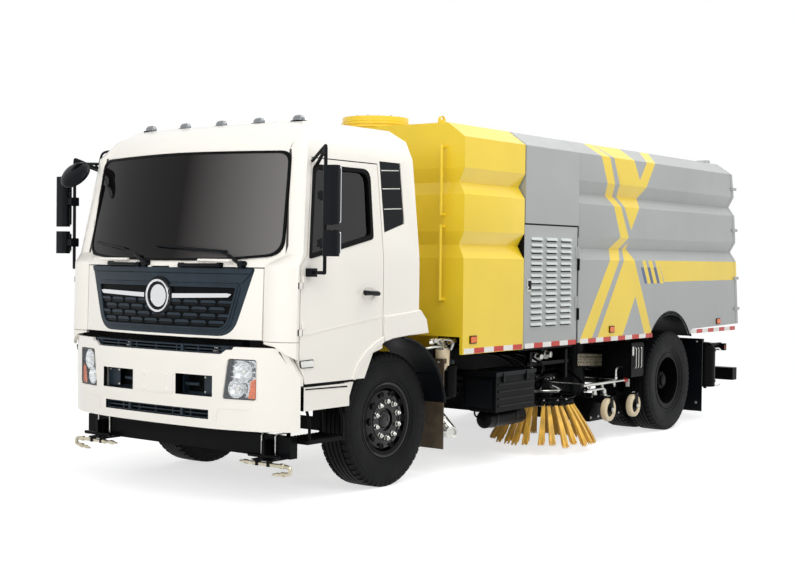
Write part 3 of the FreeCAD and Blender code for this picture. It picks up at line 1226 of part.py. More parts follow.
def make_cab():
    out = S.cab_side + S.overrun
    ahead = S.sill_front + S.overrun
    behind = S.cab_rear - S.overrun
    floor_top = S.cab_low + S.cab_floor
    skin = cab_loft("cab_skin", 0)
    inner = cab_loft("cab_hollow", S.cab_wall)
    tunnel_half = S.tunnel_half + S.cab_floor
    nose = box("nose_block", S.firewall_x, ahead, -out, out, S.door_low_z, S.dash_top)
    under = box("floor_block", behind, ahead, -out, out, S.door_low_z, floor_top)
    cover = box("tunnel_block", behind, ahead, -tunnel_half, tunnel_half, floor_top,
                S.tunnel_top + S.cab_floor)
    hollow = cut("cab_space", inner, nose, under, cover)
    doors = both("door_holes", prism("door_hole", "XZ", door_outline(as_size(0)),
                                     S.roof_side_y, out))
    bay = box("flap_bay", S.firewall_x + S.firewall, ahead, -S.flap_half - S.panel_gap,
              S.flap_half + S.panel_gap, S.door_low_z, S.flap_top + S.panel_gap)
    tunnel = box("tunnel", behind, S.firewall_x, -S.tunnel_half, S.tunnel_half,
                 S.door_low_z, S.tunnel_top)
    below = box("below_floor", behind, ahead, -out, out, S.door_low_z - S.overrun, S.cab_low)
    screen = prism("screen_hole", "YZ", screen_outline(as_size(0)), S.brow_side_x, ahead)
    quarter = [(S.quarter_rear, S.quarter_low_rear), (S.quarter_front, S.quarter_low_front),
               (S.quarter_front, S.quarter_top), (S.quarter_rear, S.quarter_top)]
    panel = prism("quarter_area", "XZ", quarter, S.roof_side_y, out)
    recess = both("quarter_recesses",
                  common("quarter_recess", panel,
                         cut("quarter_skin", skin, cab_loft("quarter_level", S.quarter_depth))))
    shell = cut("cab_body", skin, hollow, doors, bay, tunnel, below, screen, recess)
    lug = prism("cab_lug", "XZ",
                [(S.firewall_x + S.pin_radius, floor_top), (S.firewall_x, S.cab_low),
                 (S.cab_hinge_x - S.lug_radius, S.cab_hinge_z),
                 (S.cab_hinge_x, S.cab_hinge_z - S.lug_radius),
                 (S.cab_hinge_x + S.lug_radius, S.cab_hinge_z),
                 (S.firewall_x + S.firewall, floor_top)],
                S.cab_lug_y, S.cab_lug_y + S.cab_lug_thickness,
                [(S.cab_hinge_x, S.cab_hinge_z, S.pin_radius + S.bearing_gap)])
    ears = []
    reach = S.ram_radius + S.panel_gap
    for y in (-S.ram_y - reach - S.rail_thickness, reach - S.ram_y):
        ears.append(box("ram_ear", S.ram_high_x - S.ram_eye, S.ram_high_x + S.ram_eye, y,
                        y + S.rail_thickness, S.ram_high_z - S.ram_eye, floor_top))
    knuckle, pin = S.door_knuckle, S.door_knuckle * HALF
    hinge_x, hinge_y = S.door_hinge_x, S.door_hinge_y
    proud = S.cab_side + S.hinge_nip
    side = [lug]
    door_side = []
    bores = []
    for z in (S.door_hinge_low, S.door_hinge_high):
        top = z + S.door_hinge_length
        end = top + S.door_hinge_length
        side.append(rod("pillar_knuckle", "z", knuckle, z, top, hinge_x, hinge_y))
        side.append(rod("door_pin", "z", pin, z, end, hinge_x, hinge_y))
        side.append(box("pillar_leaf", hinge_x, S.nose_side_x + S.hinge_nip, proud,
                        hinge_y + knuckle * HALF, z, top))
        side.append(box("pillar_foot", S.nose_side_x - S.hinge_nip, S.nose_side_x + S.hinge_nip,
                        S.cab_side - knuckle, proud + S.hinge_nip, z, top))
        low = top + S.fit_gap
        door_side.append(rod("door_knuckle", "z", knuckle, low, end, hinge_x, hinge_y))
        door_side.append(box("door_leaf", hinge_x - knuckle * 4, hinge_x,
                             S.cab_side - knuckle * HALF, hinge_y, low, end))
        bores.append(rod("door_bore", "z", pin + S.bearing_gap, top - knuckle, end + knuckle,
                         hinge_x, hinge_y))
    for y in (S.flap_knuckle_y,):
        axis = (S.flap_hinge_x, S.flap_hinge_z)
        side.append(rod("cowl_knuckle", "y", S.flap_knuckle, y - S.flap_knuckle_length, y, *axis))
        side.append(rod("cowl_pin", "y", S.flap_knuckle * HALF, y - S.flap_knuckle_length,
                        y + S.flap_knuckle_length, *axis))
        side.append(box("cowl_leaf", axis[0] - S.flap_knuckle * 4, axis[0],
                        y - S.flap_knuckle_length, y, axis[1], axis[1] + S.flap_knuckle))
    for y in (S.grab_y - S.grab_half, S.grab_y + S.grab_half):
        side.append(rod("grab_post", "x", S.grab_radius, S.grab_x - S.grab_foot, S.grab_x, y,
                        S.grab_z))
        side.append(ball("grab_knob", S.grab_radius, S.grab_x, y, S.grab_z))
    side.append(rod("grab", "y", S.grab_radius, S.grab_y - S.grab_half, S.grab_y + S.grab_half,
                    S.grab_x, S.grab_z))
    side += [mirrored("right_" + item.Name, item) for item in side]
    piece("cab_shell", fuse("cab_shell", shell, *side, *ears))
    glass = cut("screen_skin", cab_loft("glass_outer", S.glass_inset),
                cab_loft("glass_inner", S.glass_inset + S.glass_thickness))
    piece("windscreen", common("windscreen", glass,
                               prism("screen_area", "YZ", screen_outline(S.fit_gap),
                                     S.brow_side_x, ahead)))
    door = common("door_skin", cut("door_shell", skin, cab_loft("door_hollow", S.door_wall)),
                  prism("door_area", "XZ", door_outline(S.panel_gap), S.roof_side_y, out))
    window = [(S.window_low_rear_x, S.window_low_rear), (S.window_low_front_x, S.window_low_front),
              (S.window_top_front, S.window_top), (S.window_top_rear, S.window_top)]
    door = cut("door_left", door, prism("window", "XZ", window, S.roof_side_y, out))
    grip_y = S.cab_side + S.handle_out
    grip_end = S.handle_x + S.handle_length
    handle = [rod("grip", "x", S.handle_radius, S.handle_x, grip_end, grip_y, S.handle_z)]
    for x in (S.handle_x + S.handle_radius, grip_end - S.handle_radius):
        handle.append(rod("grip_foot", "y", S.handle_radius * S.grip_foot_share,
                          S.cab_side - S.handle_radius, grip_y, x, S.handle_z))
    door = cut("door_bored", fuse("door_left_whole", door, *handle, *door_side), *bores)
    piece("door_left", door)
    piece("door_right", mirrored("door_right", door))


def make_front_panel():
    skin = cut("flap_skin", cab_loft("flap_outer", 0), cab_loft("flap_inner", S.flap_skin))
    area = box("flap_area", S.firewall_x + S.firewall, S.sill_front + S.overrun, -S.flap_half,
               S.flap_half, S.flap_bottom, S.flap_top)
    flap = common("flap_plate", skin, area)
    cells = []
    pitch_y = S.cell_width + S.cell_gap
    pitch_z = S.cell_height + S.cell_gap
    rows = 7
    for row_index in range(rows):
        z = S.grille_low + pitch_z * row_index + pitch_z * HALF
        share = (row_index + HALF) / rows
        half = S.grille_low_half * (1 - share) + S.grille_top_half * share
        count = 9 if row_index % 2 else 10
        for column in range(count):
            y = pitch_y * (column - (count - 1) * HALF)
            left = S.cell_width * HALF
            tip = S.cell_height * HALF
            if abs(y.value) + left.value > half.value:
                continue
            cell = [(y - left, z), (y - left + tip, z - tip), (y + left - tip, z - tip),
                    (y + left, z), (y + left - tip, z + tip), (y - left + tip, z + tip)]
            cells.append(prism("cell", "YZ", cell, S.firewall_x + S.firewall,
                               S.sill_front + S.overrun))
    grille = cut("grille", flap, *cells)
    badge = rod("badge", "x", S.badge_radius, S.nose_front - S.flap_skin * 2,
                S.nose_front + S.badge_depth, 0, S.badge_z)
    band = box("badge_band", S.nose_front - S.flap_skin * 2, S.nose_front + S.badge_depth * HALF,
               -S.badge_radius, S.badge_radius, S.badge_z - S.cell_height * HALF,
               S.badge_z + S.cell_height * HALF)
    axis = (S.flap_hinge_x, S.flap_hinge_z)
    start = S.flap_knuckle_y + S.fit_gap
    end = S.flap_knuckle_y + S.flap_knuckle_length
    side = fuse("flap_ear", rod("flap_knuckle", "y", S.flap_knuckle, start, end, *axis),
                box("flap_leaf", axis[0] - S.flap_knuckle * 3, axis[0], start, end,
                    S.flap_top - S.flap_knuckle * 2, axis[1]))
    side = cut("flap_lug", side, rod("flap_bore", "y", S.flap_knuckle * HALF + S.bearing_gap,
                                     S.flap_knuckle_y - S.overrun, end + S.overrun, *axis))
    piece("front_panel", fuse("front_panel", grille, badge, band, side,
                              mirrored("right_flap_lug", side)))


def make_mirrors():
    x, y = S.mirror_x, S.mirror_y
    pole = rod("pole", "z", S.mirror_rod, S.mirror_rod_low, S.mirror_rod_top, x, y)
    foot = box("mirror_foot", x - S.mirror_foot * HALF, x + S.mirror_foot * HALF,
               S.base_side_y - S.panel_gap, S.base_side_y + S.mirror_foot,
               S.mirror_foot_z - S.mirror_foot, S.mirror_foot_z)
    low_arm = rod("low_arm", "y", S.mirror_rod, S.base_side_y, y, x,
                  S.mirror_foot_z - S.mirror_foot * HALF)
    drop = rod("pole_drop", "z", S.mirror_rod, S.mirror_foot_z - S.mirror_foot * HALF,
               S.mirror_rod_low + S.mirror_rod, x, y)
    corner = ball("pole_corner", S.mirror_rod, x, y, S.mirror_foot_z - S.mirror_foot * HALF)
    top = ball("pole_top", S.mirror_rod, x, y, S.mirror_rod_top)
    high_z = S.door_top - S.mirror_foot
    high_arm = bar("high_arm", S.mirror_rod, (S.door_top_front - S.mirror_foot, S.top_side_y, high_z),
                   (x, y, S.mirror_rod_top))
    parts = [pole, foot, low_arm, drop, corner, top, high_arm]
    for low, high in ((S.main_mirror_low, S.main_mirror_top),
                      (S.wide_mirror_low, S.wide_mirror_top)):
        head = Design("mirror_head")
        head.pad("XY", rect(S.mirror_head_rear + S.mirror_head_depth * 2, S.mirror_head_front,
                            S.mirror_head_y - S.mirror_head_depth,
                            S.mirror_head_y + S.mirror_head_depth), low, high)
        head.rounded(S.mirror_head_depth * S.mirror_round_share, upright)
        parts.append(head.body)
        middle = (low + high) * HALF
        clamp = S.mirror_rod * 2
        parts.append(box("mirror_clamp", x - clamp, S.mirror_head_front - clamp,
                         y - clamp, S.mirror_head_y, middle - clamp, middle + clamp))
    mirror = cut("mirror_left", fuse("mirror_parts", *parts), cab_loft("mirror_level", 0))
    piece("mirror_left", mirror)
    piece("mirror_right", mirrored("mirror_right", mirror))


def make_roof_lamps():
    lamps = []
    for order in range(-2, 3):
        y = S.roof_lamp_pitch * order
        lamp = Design("roof_lamp")
        lamp.pad("XY", rect(S.roof_lamp_x - S.roof_lamp_length * HALF,
                            S.roof_lamp_x + S.roof_lamp_length * HALF,
                            y - S.roof_lamp_width * HALF, y + S.roof_lamp_width * HALF),
                 S.roof_z, S.roof_z + S.roof_lamp_height)
        lamps.append(lamp.body)
    piece("roof_lamps", group("roof_lamps", *lamps))


def make_interior():
    floor_top = S.cab_low + S.cab_floor
    parts = []
    for sign in (-1, 1):
        y = S.seat_y * sign
        parts.append(box("seat", S.seat_rear, S.seat_front, y - S.seat_half, y + S.seat_half,
                         floor_top, S.seat_top))
        parts.append(box("seat_back", S.seat_rear, S.seat_rear + S.back_thickness,
                         y - S.seat_half, y + S.seat_half, S.seat_top, S.back_top))
    parts.append(box("dash", S.dash_rear, S.firewall_x, -S.dash_half, S.dash_half, S.dash_low,
                     S.dash_top))
    column = bar("column", S.wheel_tube * 2, (S.dash_rear + S.wheel_ring * HALF, S.seat_y,
                                              S.dash_top - S.wheel_ring * HALF),
                 (S.wheel_x, S.seat_y, S.wheel_z))
    rim = ring("steering_rim", S.wheel_ring, S.wheel_tube, S.wheel_x, S.seat_y, S.wheel_z, 30)
    spoke = rod("spoke", "y", S.wheel_tube, S.seat_y - S.wheel_ring, S.seat_y + S.wheel_ring,
                S.wheel_x, S.wheel_z)
    piece("cab_interior", fuse("cab_interior", *parts, column, rim, spoke))


def along(start, end, distance):
    """The point at a distance from start on the way to end."""
    steps = [as_size(b) - a for a, b in zip(start, end)]
    total = steps[0] * steps[0] + steps[1] * steps[1] + steps[2] * steps[2]
    length = Size("sqrt(%s)" % total.text, math.sqrt(total.value))
    return tuple(as_size(a) + step * distance / length for a, step in zip(start, steps)), length


def make_cylinder(name, low, high, radius, rod_radius, barrel, rod_back, eye, pin):
    """A barrel with its eye at low, and the rod inside it with its eye at high."""
    first = along(low, high, eye + S.rail_thickness)[0]
    mouth, length = along(low, high, barrel)
    body = fuse(name + "_case", bar(name, radius, low, mouth),
                rod(name + "_eye", "y", eye, low[1] - eye * HALF, low[1] + eye * HALF,
                    low[0], low[2]))
    past = along(low, high, barrel + S.overrun)[0]
    bore = bar(name + "_bore", rod_radius + S.bearing_gap, first, past)
    hole = rod(name + "_hole", "y", pin + S.bearing_gap, low[1] - radius * 2, low[1] + radius * 2,
               low[0], low[2])
    case = cut(name + "_barrel", body, bore, hole)
    back = along(high, low, rod_back)[0]
    shaft = fuse(name + "_rod", bar(name + "_shaft", rod_radius, back, high),
                 rod(name + "_top", "y", eye, high[1] - eye * HALF, high[1] + eye * HALF,
                     high[0], high[2]))
    return case, shaft


def make_cylinders():
    low = (S.ram_low_x, -S.ram_y, S.ram_low_z)
    high = (S.ram_high_x, -S.ram_y, S.ram_high_z)
    case, shaft = make_cylinder("ram", low, high, S.ram_radius, S.ram_rod_radius, S.ram_barrel,
                                S.ram_rod_back, S.ram_eye, S.ram_eye * HALF)
    piece("cab_ram_barrel", case)
    piece("cab_ram_rod", shaft)
    low = (S.hoist_low_x, S.hoist_y, S.hoist_low_z)
    high = (S.hoist_high_x, S.hoist_y, S.hoist_high_z)
    case, shaft = make_cylinder("hoist", low, high, S.hoist_radius, S.hoist_rod_radius,
                                S.hoist_barrel, S.hoist_rod_back, S.hoist_eye, S.pin_radius)
    piece("hoist_barrels", both("hoist_barrels", case))
    piece("hoist_rods", both("hoist_rods", shaft))


def rear_line(offset):
    """The tank's rear face from its lowest point to the roof, moved forwards by offset."""
    return [(S.rear_low_x + offset, S.rear_low_z), (S.rear_mid_x + offset, S.rear_mid_z),
            (S.rear_bend_x + offset, S.rear_bend_z), (S.rear_high_x + offset, S.body_shoulder),
            (S.rear_top_x + offset, S.body_top)]


def make_debris_tank():
    wall = S.body_wall
    floor_low = S.waste_floor - S.floor_thickness
    ends = (S.rear_low_x - S.overrun, S.waste_top_front + S.overrun)
    half = S.body_half
    rear = rear_line(S.gate_thickness)
    profile = [rear[0], (S.waste_front, S.waste_low_front), (S.waste_front, S.bay_roof),
               (S.waste_top_front, S.bay_roof), (S.waste_top_front, S.body_top)] + rear[:0:-1]
    plain = body_section(as_size(0), S.body_low, False)
    shell = common("waste_shell", prism("waste_profile", "XZ", profile, -half, half),
                   prism("waste_section", "YZ", plain, *ends))
    space = [(ends[0], S.waste_floor), (S.waste_front - wall, S.waste_floor),
             (S.waste_front - wall, S.bay_roof + wall), (S.waste_top_front - wall, S.bay_roof + wall),
             (S.waste_top_front - wall, S.body_top), (ends[0], S.body_top)]
    hollow = common("waste_hollow", prism("waste_space", "XZ", space, -half, half),
                    prism("waste_inner", "YZ", body_section(wall, S.waste_floor), *ends))
    under = box("waste_under", ends[0], S.waste_front + wall, wall - half, half - wall,
                S.body_low - wall, floor_low)
    arch = [(S.arch_rear, S.body_low - wall), (S.arch_front, S.body_low - wall),
            (S.arch_front, S.arch_top - S.arch_shoulder),
            (S.arch_front - S.arch_shoulder, S.arch_top),
            (S.arch_rear + S.arch_shoulder, S.arch_top),
            (S.arch_rear, S.arch_top - S.arch_shoulder)]
    tools = [hollow, under, prism("wheel_arch", "XZ", arch, -half - wall, half + wall)]
    for wedge in groove_cuts("groove", ends[0], S.waste_front + S.rail_thickness):
        tools.append(both("grooves", wedge))
    inlet = rod("inlet", "z", S.duct_radius - S.duct_wall, floor_low - wall,
                S.waste_floor + wall, S.duct_x, S.duct_y)
    tools.append(both("inlets", inlet))
    tank = cut("waste_tank", shell, *tools)
    # the part above the engine bay is welded to the long part at the bay's rear wall
    ahead = box("nose_space", S.waste_front, ends[1], -half - wall, half + wall,
                S.body_low - wall, S.body_top + wall)
    piece("tank_nose", common("tank_nose", tank, ahead))
    shell = cut("waste_long", tank, ahead)
    lug = prism("tip_lug", "XZ",
                [(S.tip_hinge_x - S.lug_radius, S.tip_hinge_z),
                 (S.tip_hinge_x, S.tip_hinge_z - S.lug_radius),
                 (S.tip_hinge_x + S.lug_radius, S.tip_hinge_z),
                 (S.tip_hinge_x + S.lug_radius * 2, floor_low + wall * HALF),
                 (S.tip_hinge_x - S.lug_radius, floor_low + wall * HALF)],
                S.tip_lug_y, S.tip_lug_y + S.tip_lug_thickness,
                [(S.tip_hinge_x, S.tip_hinge_z, S.pin_radius + S.bearing_gap)])
    side = [lug]
    reach = S.hoist_radius + S.panel_gap
    for y in (S.hoist_y - reach - S.rail_thickness, S.hoist_y + reach):
        side.append(box("hoist_ear", S.hoist_high_x - S.hoist_eye, S.hoist_high_x + S.hoist_eye,
                        y, y + S.rail_thickness, S.hoist_high_z - S.hoist_eye,
                        floor_low + wall * HALF))
    hinge_x = S.rear_top_x + S.gate_thickness
    for y in (S.gate_lug_y, S.gate_lug_y + S.hinge_length + S.panel_gap + S.pin_radius):
        side.append(prism("gate_lug", "XZ",
                          [(hinge_x + S.panel_gap, S.body_top - wall * HALF),
                           (hinge_x + S.hinge_length, S.body_top - wall * HALF),
                           (hinge_x + S.pin_radius, S.gate_hinge_z + S.pin_radius * HALF),
                           (hinge_x, S.gate_hinge_z + S.pin_radius),
                           (hinge_x - S.pin_radius, S.gate_hinge_z)],
                          y, y + S.pin_radius))
    side.append(rod("gate_pin", "y", S.pin_radius * HALF, S.gate_lug_y,
                    S.gate_lug_y + S.hinge_length + S.panel_gap + S.pin_radius, hinge_x,
                    S.gate_hinge_z))
    parts = [shell] + side + [mirrored("right_" + item.Name, item) for item in side]
    piece("debris_tank", fuse("debris_tank", *parts))
    thick = S.gate_thickness - S.panel_gap
    slab = rear_line(as_size(0))
    inner = rear_line(thick)
    gate = common("gate_slab", prism("gate_profile", "XZ", [slab[0], inner[0]] + inner[1:] + slab[:0:-1],
                                     -half, half),
                  prism("gate_section", "YZ", body_section(as_size(0), S.body_low), *ends))
    arm_y = S.gate_lug_y + S.pin_radius + S.panel_gap * HALF
    arm = prism("gate_arm", "XZ",
                [(S.rear_top_x + S.pin_radius, S.body_top - wall),
                 (hinge_x - S.panel_gap * 2, S.body_top - S.panel_gap * HALF),
                 (hinge_x + S.pin_radius, S.gate_hinge_z),
                 (hinge_x, S.gate_hinge_z + S.pin_radius),
                 (S.rear_top_x + S.pin_radius, S.gate_hinge_z)],
                arm_y, arm_y + S.hinge_length,
                [(hinge_x, S.gate_hinge_z, S.pin_radius * HALF + S.bearing_gap)])
    piece("tailgate", fuse("tailgate", gate, arm, mirrored("right_arm", arm)))


def make_engine_doors():
    face = S.body_half
    back = face - S.door_thickness
    plate = box("bay_door_plate", S.bay_pin_x + S.hinge_radius + S.hinge_nip, S.bay_front,
                back, face, S.door_low, S.bay_top)
    half = S.louvre_length * HALF
    slots = []
    hoods = []
    for column in range(3):
        x = S.louvre_start_x + S.louvre_pitch_x * column
        for order in range(15):
            z = S.louvre_first + S.louvre_pitch * order
            slots.append(box("slot", x - half, x + half, back - S.overrun, face + S.overrun,
                             z, z + S.louvre_rise))
            sunk = face - S.hinge_nip
            hood = [(sunk, z + S.louvre_rise * HALF), (face + S.louvre_rise, z),
                    (face + S.louvre_rise, z + S.louvre_rise * HALF),
                    (face, z + S.louvre_height), (sunk, z + S.louvre_height)]
            hoods.append(prism("hood", "YZ", hood, x - half - S.panel_gap,
                               x + half + S.panel_gap))
    parts = [cut("slotted_door", plate, *slots)] + hoods
    for z in (S.hinge_low_z, S.hinge_high_z):
        top = z + S.hinge_length - S.fit_gap
        low = z + S.fit_gap
        parts.append(rod("door_knuckle", "z", S.hinge_radius, low, top, S.bay_pin_x, S.bay_pin_y))
        parts.append(box("door_leaf", S.bay_pin_x, S.bay_pin_x + S.hinge_length * HALF,
                         face - S.hinge_nip, S.bay_pin_y, low, top))
    holes = [rod("knuckle_bore", "z", S.hinge_radius * HALF + S.bearing_gap, z - S.overrun,
                 z + S.hinge_length * HALF + S.panel_gap, S.bay_pin_x, S.bay_pin_y)
             for z in (S.hinge_low_z, S.hinge_high_z)]
    whole = cut("engine_door_left", fuse("engine_door_body", *parts), *holes)
    piece("engine_door_left", whole)
    piece("engine_door_right", mirrored("engine_door_right", whole))


def make_brooms():
    plate_top = S.plate_z + S.plate_thickness
    brush = Design("brush")
    brush.pad("XY", (), S.plate_z, plate_top, [(0, 0, S.plate_radius)])
    brush.pad("XY", (), plate_top - S.panel_gap, plate_top + S.motor_height * HALF,
              [(0, 0, S.spindle_radius * HALF)])
    half, tip_half, deep = (S.bristle_width * HALF, S.bristle_tip_width * HALF,
                            S.bristle_depth * HALF)
    root = brush.sketch("XY", rect(S.bristle_root - deep, S.bristle_root + deep, -half, half),
                        S.plate_z + S.panel_gap)
    tip = brush.sketch("XY", rect(S.bristle_tip - deep, S.bristle_tip + deep, -tip_half,
                                  tip_half), S.bristle_low)
    bundle = brush.body.newObject("PartDesign::AdditiveLoft", "bundle")
    bundle.Profile = root
    bundle.Sections = [tip]
    bundle.Ruled = True
    doc.recompute()
    brush.wheel_of([bundle], int(SIZES["bristle_count"]), "z")
    spot(brush.body, S.broom_x, S.broom_y, 0)
    piece("broom_left", brush.body)
    piece("broom_right", mirrored("broom_right", brush.body))
    low, high = S.arm_z - S.arm_half_height, S.arm_z + S.arm_half_height
    pivot, centre = (S.arm_pivot_x, S.arm_pivot_y), (S.broom_x, S.broom_y)
    wide = S.arm_half_width
    beam = prism("arm_beam", "XY",
                 [(centre[0] - wide * HALF, centre[1]), (centre[0] + wide * HALF, centre[1] - wide),
                  (pivot[0], pivot[1] - wide), (pivot[0] + wide * HALF, pivot[1] + wide * HALF),
                  (centre[0] + wide, centre[1] + wide)], low, high)
    boss = rod("arm_boss", "z", S.arm_boss, low, high, *pivot)
    motor = rod("motor", "z", S.motor_radius, plate_top + S.panel_gap, high, *centre)
    hoop = ring("guard_ring", S.ring_radius, S.ring_wire * HALF, centre[0], centre[1],
                plate_top + S.ring_lift)
    spokes = []
    for name, axis, u in (("spoke_x", "x", centre[0]), ("spoke_y", "y", centre[1])):
        v = centre[1] if axis == "x" else centre[0]
        spokes.append(rod(name, axis, S.ring_wire * HALF * S.grip_foot_share, u - S.ring_radius,
                          u + S.ring_radius, v, plate_top + S.ring_lift))
    bores = group("arm_bores",
                  rod("arm_bore", "z", S.pin_radius + S.bearing_gap, low - S.overrun,
                      high + S.overrun, *pivot),
                  rod("motor_bore", "z", S.spindle_radius * HALF + S.bearing_gap, S.plate_z,
                      plate_top + S.motor_height * HALF + S.panel_gap, *centre))
    arm = cut("broom_arm_left", fuse("arm_parts", beam, boss, motor, hoop, *spokes), bores)
    piece("broom_arm_left", arm)
    piece("broom_arm_right", mirrored("broom_arm_right", arm))


def make_suction_head():
    wall, half = S.head_wall, S.head_half
    profile = [(S.head_rear, S.head_low), (S.head_front, S.head_low),
               (S.head_front, S.head_top - S.head_slope), (S.head_front - S.head_slope, S.head_top),
               (S.head_rear, S.head_top)]
    inner = [(S.head_rear + wall, S.skirt_low - wall), (S.head_front - wall, S.skirt_low - wall),
             (S.head_front - wall, S.head_top - S.head_slope - wall * HALF),
             (S.head_front - S.head_slope - wall * HALF, S.head_top - wall),
             (S.head_rear + wall, S.head_top - wall)]
    hood = cut("hood", prism("hood_body", "XZ", profile, -half, half),
               prism("hood_hollow", "XZ", inner, wall - half, half - wall))
    t = S.skirt_thickness
    skirt = cut("skirt", box("skirt_body", S.head_rear, S.head_front, -half, half, S.skirt_low,
                             S.head_low + wall),
                box("skirt_hollow", S.head_rear + t, S.head_front - t, t - half, half - t,
                    S.skirt_low - wall, S.head_low + wall * 2))
    mouths = both("mouths", rod("mouth", "z", S.duct_radius - S.duct_wall * 2,
                                S.head_top - wall * 2,
                                S.duct_low + S.sleeve_overlap + S.overrun, S.duct_x, S.duct_y))
    sleeve = S.duct_radius - S.duct_wall - S.bearing_gap
    collar = both("collars", rod("collar", "z", sleeve, S.head_top - wall,
                                 S.duct_low + S.sleeve_overlap, S.duct_x, S.duct_y))
    forks = []
    arm_z = S.caster_z + S.caster_radius + S.fork_gap
    out = S.caster_width * HALF + S.fork_gap
    t = S.fork_thickness
    for x in (S.caster_front_x, S.caster_rear_x):
        inner_y = S.caster_y - out - t
        forks.append(box("fork_top", x - S.caster_axle * 2, x + S.caster_axle * 2, inner_y,
                         S.caster_y + out + t, arm_z, arm_z + t))
        for y in (inner_y, S.caster_y + out):
            forks.append(box("fork_side", x - S.caster_axle * 2, x + S.caster_axle * 2, y, y + t,
                             S.caster_z - S.caster_axle * 2, arm_z + t))
        forks.append(rod("caster_axle", "y", S.caster_axle, inner_y, S.caster_y + out + t, x,
                         S.caster_z))
        forks.append(box("fork_arm", x - S.caster_axle * 2, x + S.caster_axle * 2,
                         half - S.overrun, inner_y + t, arm_z - S.overrun, arm_z + t))
    forks.append(box("fork_rail", S.caster_rear_x - S.caster_axle * 2, S.head_rear + S.overrun,
                     half - S.overrun, half, arm_z - S.overrun, arm_z + t))
    parts = [hood, skirt, collar] + [both("forks", item) for item in forks]
    piece("suction_head", cut("suction_head", fuse("head_parts", *parts), mouths))
    bore = S.caster_axle + S.bearing_gap
    width = S.caster_width * HALF
    for place, x in (("front", S.caster_front_x), ("rear", S.caster_rear_x)):
        tread = turned("caster", rect(-width, width, bore, S.caster_radius), "y", x, S.caster_y,
                       S.caster_z)
        piece("caster_%s_left" % place, tread)
        piece("caster_%s_right" % place, mirrored("caster_right", tread))
    outer = rod("duct", "z", S.duct_radius, S.duct_low, S.duct_top, S.duct_x, S.duct_y)
    inner = rod("duct_inner", "z", S.duct_radius - S.duct_wall, S.duct_low - wall,
                S.duct_top + wall, S.duct_x, S.duct_y)
    stay = box("duct_stay", S.duct_x - S.strap_width, S.duct_x + S.strap_width, S.rail_y,
               S.duct_y - S.duct_radius + S.duct_wall, S.rail_top - S.strap_width * 2,
               S.rail_top - S.strap_width)
    piece("suction_ducts", both("suction_ducts", cut("duct_pipe", fuse("duct_parts", outer, stay),
                                                     inner)))
    pipe = rod("spray_bar", "x", S.bar_radius, S.bar_rear, S.bar_front, S.bar_y, S.bar_z)
    stays = []
    for x in (S.bar_front - S.strap_width * 3, S.bar_rear + S.strap_width * 2):
        stays.append(box("spray_stay", x - S.bar_radius, x, S.rail_y, S.bar_y, S.bar_z,
                         S.bar_z + S.bar_radius * HALF))
        stays.append(box("spray_drop", x - S.bar_radius, x, S.rail_y, S.rail_y + S.bar_radius,
                         S.bar_z, S.rail_top - S.rail_height + S.strap_width))
    piece("spray_bars", both("spray_bars", fuse("spray_parts", pipe, *stays)))


def make_rear_beam():
    rail_low = S.rail_top - S.rail_height
    beam = box("under_beam", S.under_beam_rear, S.under_beam_front, -S.under_beam_half,
               S.under_beam_half, S.under_beam_low, S.under_beam_top)
    hanger = prism("beam_hanger", "XZ",
                   [(S.under_beam_front - S.strap_width, S.under_beam_low + S.strap_width),
                    (S.rail_rear + S.overrun, rail_low - S.strap_width),
                    (S.rail_rear + S.overrun, rail_low),
                    (S.under_beam_front - S.strap_width, rail_low)],
                   S.rail_y - S.rail_flange, S.rail_y)
    lamp_bar = box("lamp_bar", S.lamp_bar_rear, S.lamp_bar_front, S.lamp_bar_inner,
                   S.lamp_bar_half, S.lamp_bar_low, S.lamp_bar_top)
    side = [hanger, lamp_bar]
    can = rod("canister", "z", S.can_radius, S.can_low, S.can_top, S.can_x, S.can_y)
    stay = box("can_stay", S.can_x - S.strap_width, S.can_x + S.strap_width, S.rail_y,
               S.can_y - S.can_radius * HALF, S.can_top - S.strap_width * 2,
               S.can_top - S.strap_width)
    beams = fuse("rear_beams", beam, hanger, mirrored("right_hanger", hanger))
    lamps = both("lamp_bars", lamp_bar)
    piece("rear_beam", group("rear_beam", beams, lamps))
    piece("water_filters", both("water_filters", fuse("water_filter", can, stay)))


make_frame()
make_axles()
make_engine()
make_bumper()
make_headlights()
make_bumper_grilles()
make_wash_beam()
make_steps()
make_mudguards()
make_battery_box()
make_fuel_tank()
make_exhaust()
make_side_locker()
make_water_tank()
make_hatch_lid()
make_bay_frame()
make_aux_engine()
make_wheels()
make_knuckles()
make_cab()
make_front_panel()
make_mirrors()
make_roof_lamps()
make_interior()
make_cylinders()
make_debris_tank()
make_engine_doors()
make_brooms()
make_suction_head()
make_rear_beam()

# the middle of the truck's length becomes x = 0; a mirrored piece moves with its source
shift = (S.bumper_front + S.under_beam_rear) * -HALF
for node, item in pieces.items():
    if getattr(item, "Source", None) in pieces.values():
        continue
    own = [text for path, text in item.ExpressionEngine if path.endswith("Placement.Base.x")]
    place = own[0] + " + " + shift.text if own else shift.text
    item.setExpression("Placement.Base.x", place)

doc.recompute()

for item in doc.Objects:
    if "Invalid" in item.State or "Error" in item.State:
        raise RuntimeError("%s does not rebuild: %s" % (item.Name, item.State))

os.makedirs("parts", exist_ok=True)
for node, item in pieces.items():
    if item.Shape.isNull() or not item.Shape.isValid():
        raise RuntimeError("%s has no valid shape" % node)
    if not item.Shape.Solids:
        raise RuntimeError("%s has no solid" % node)
    item.Shape.exportStep("parts/%s.step" % node)
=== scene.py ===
import math
import bmesh
import bpy
from mathutils import Matrix, Vector
from mathutils.bvhtree import BVHTree


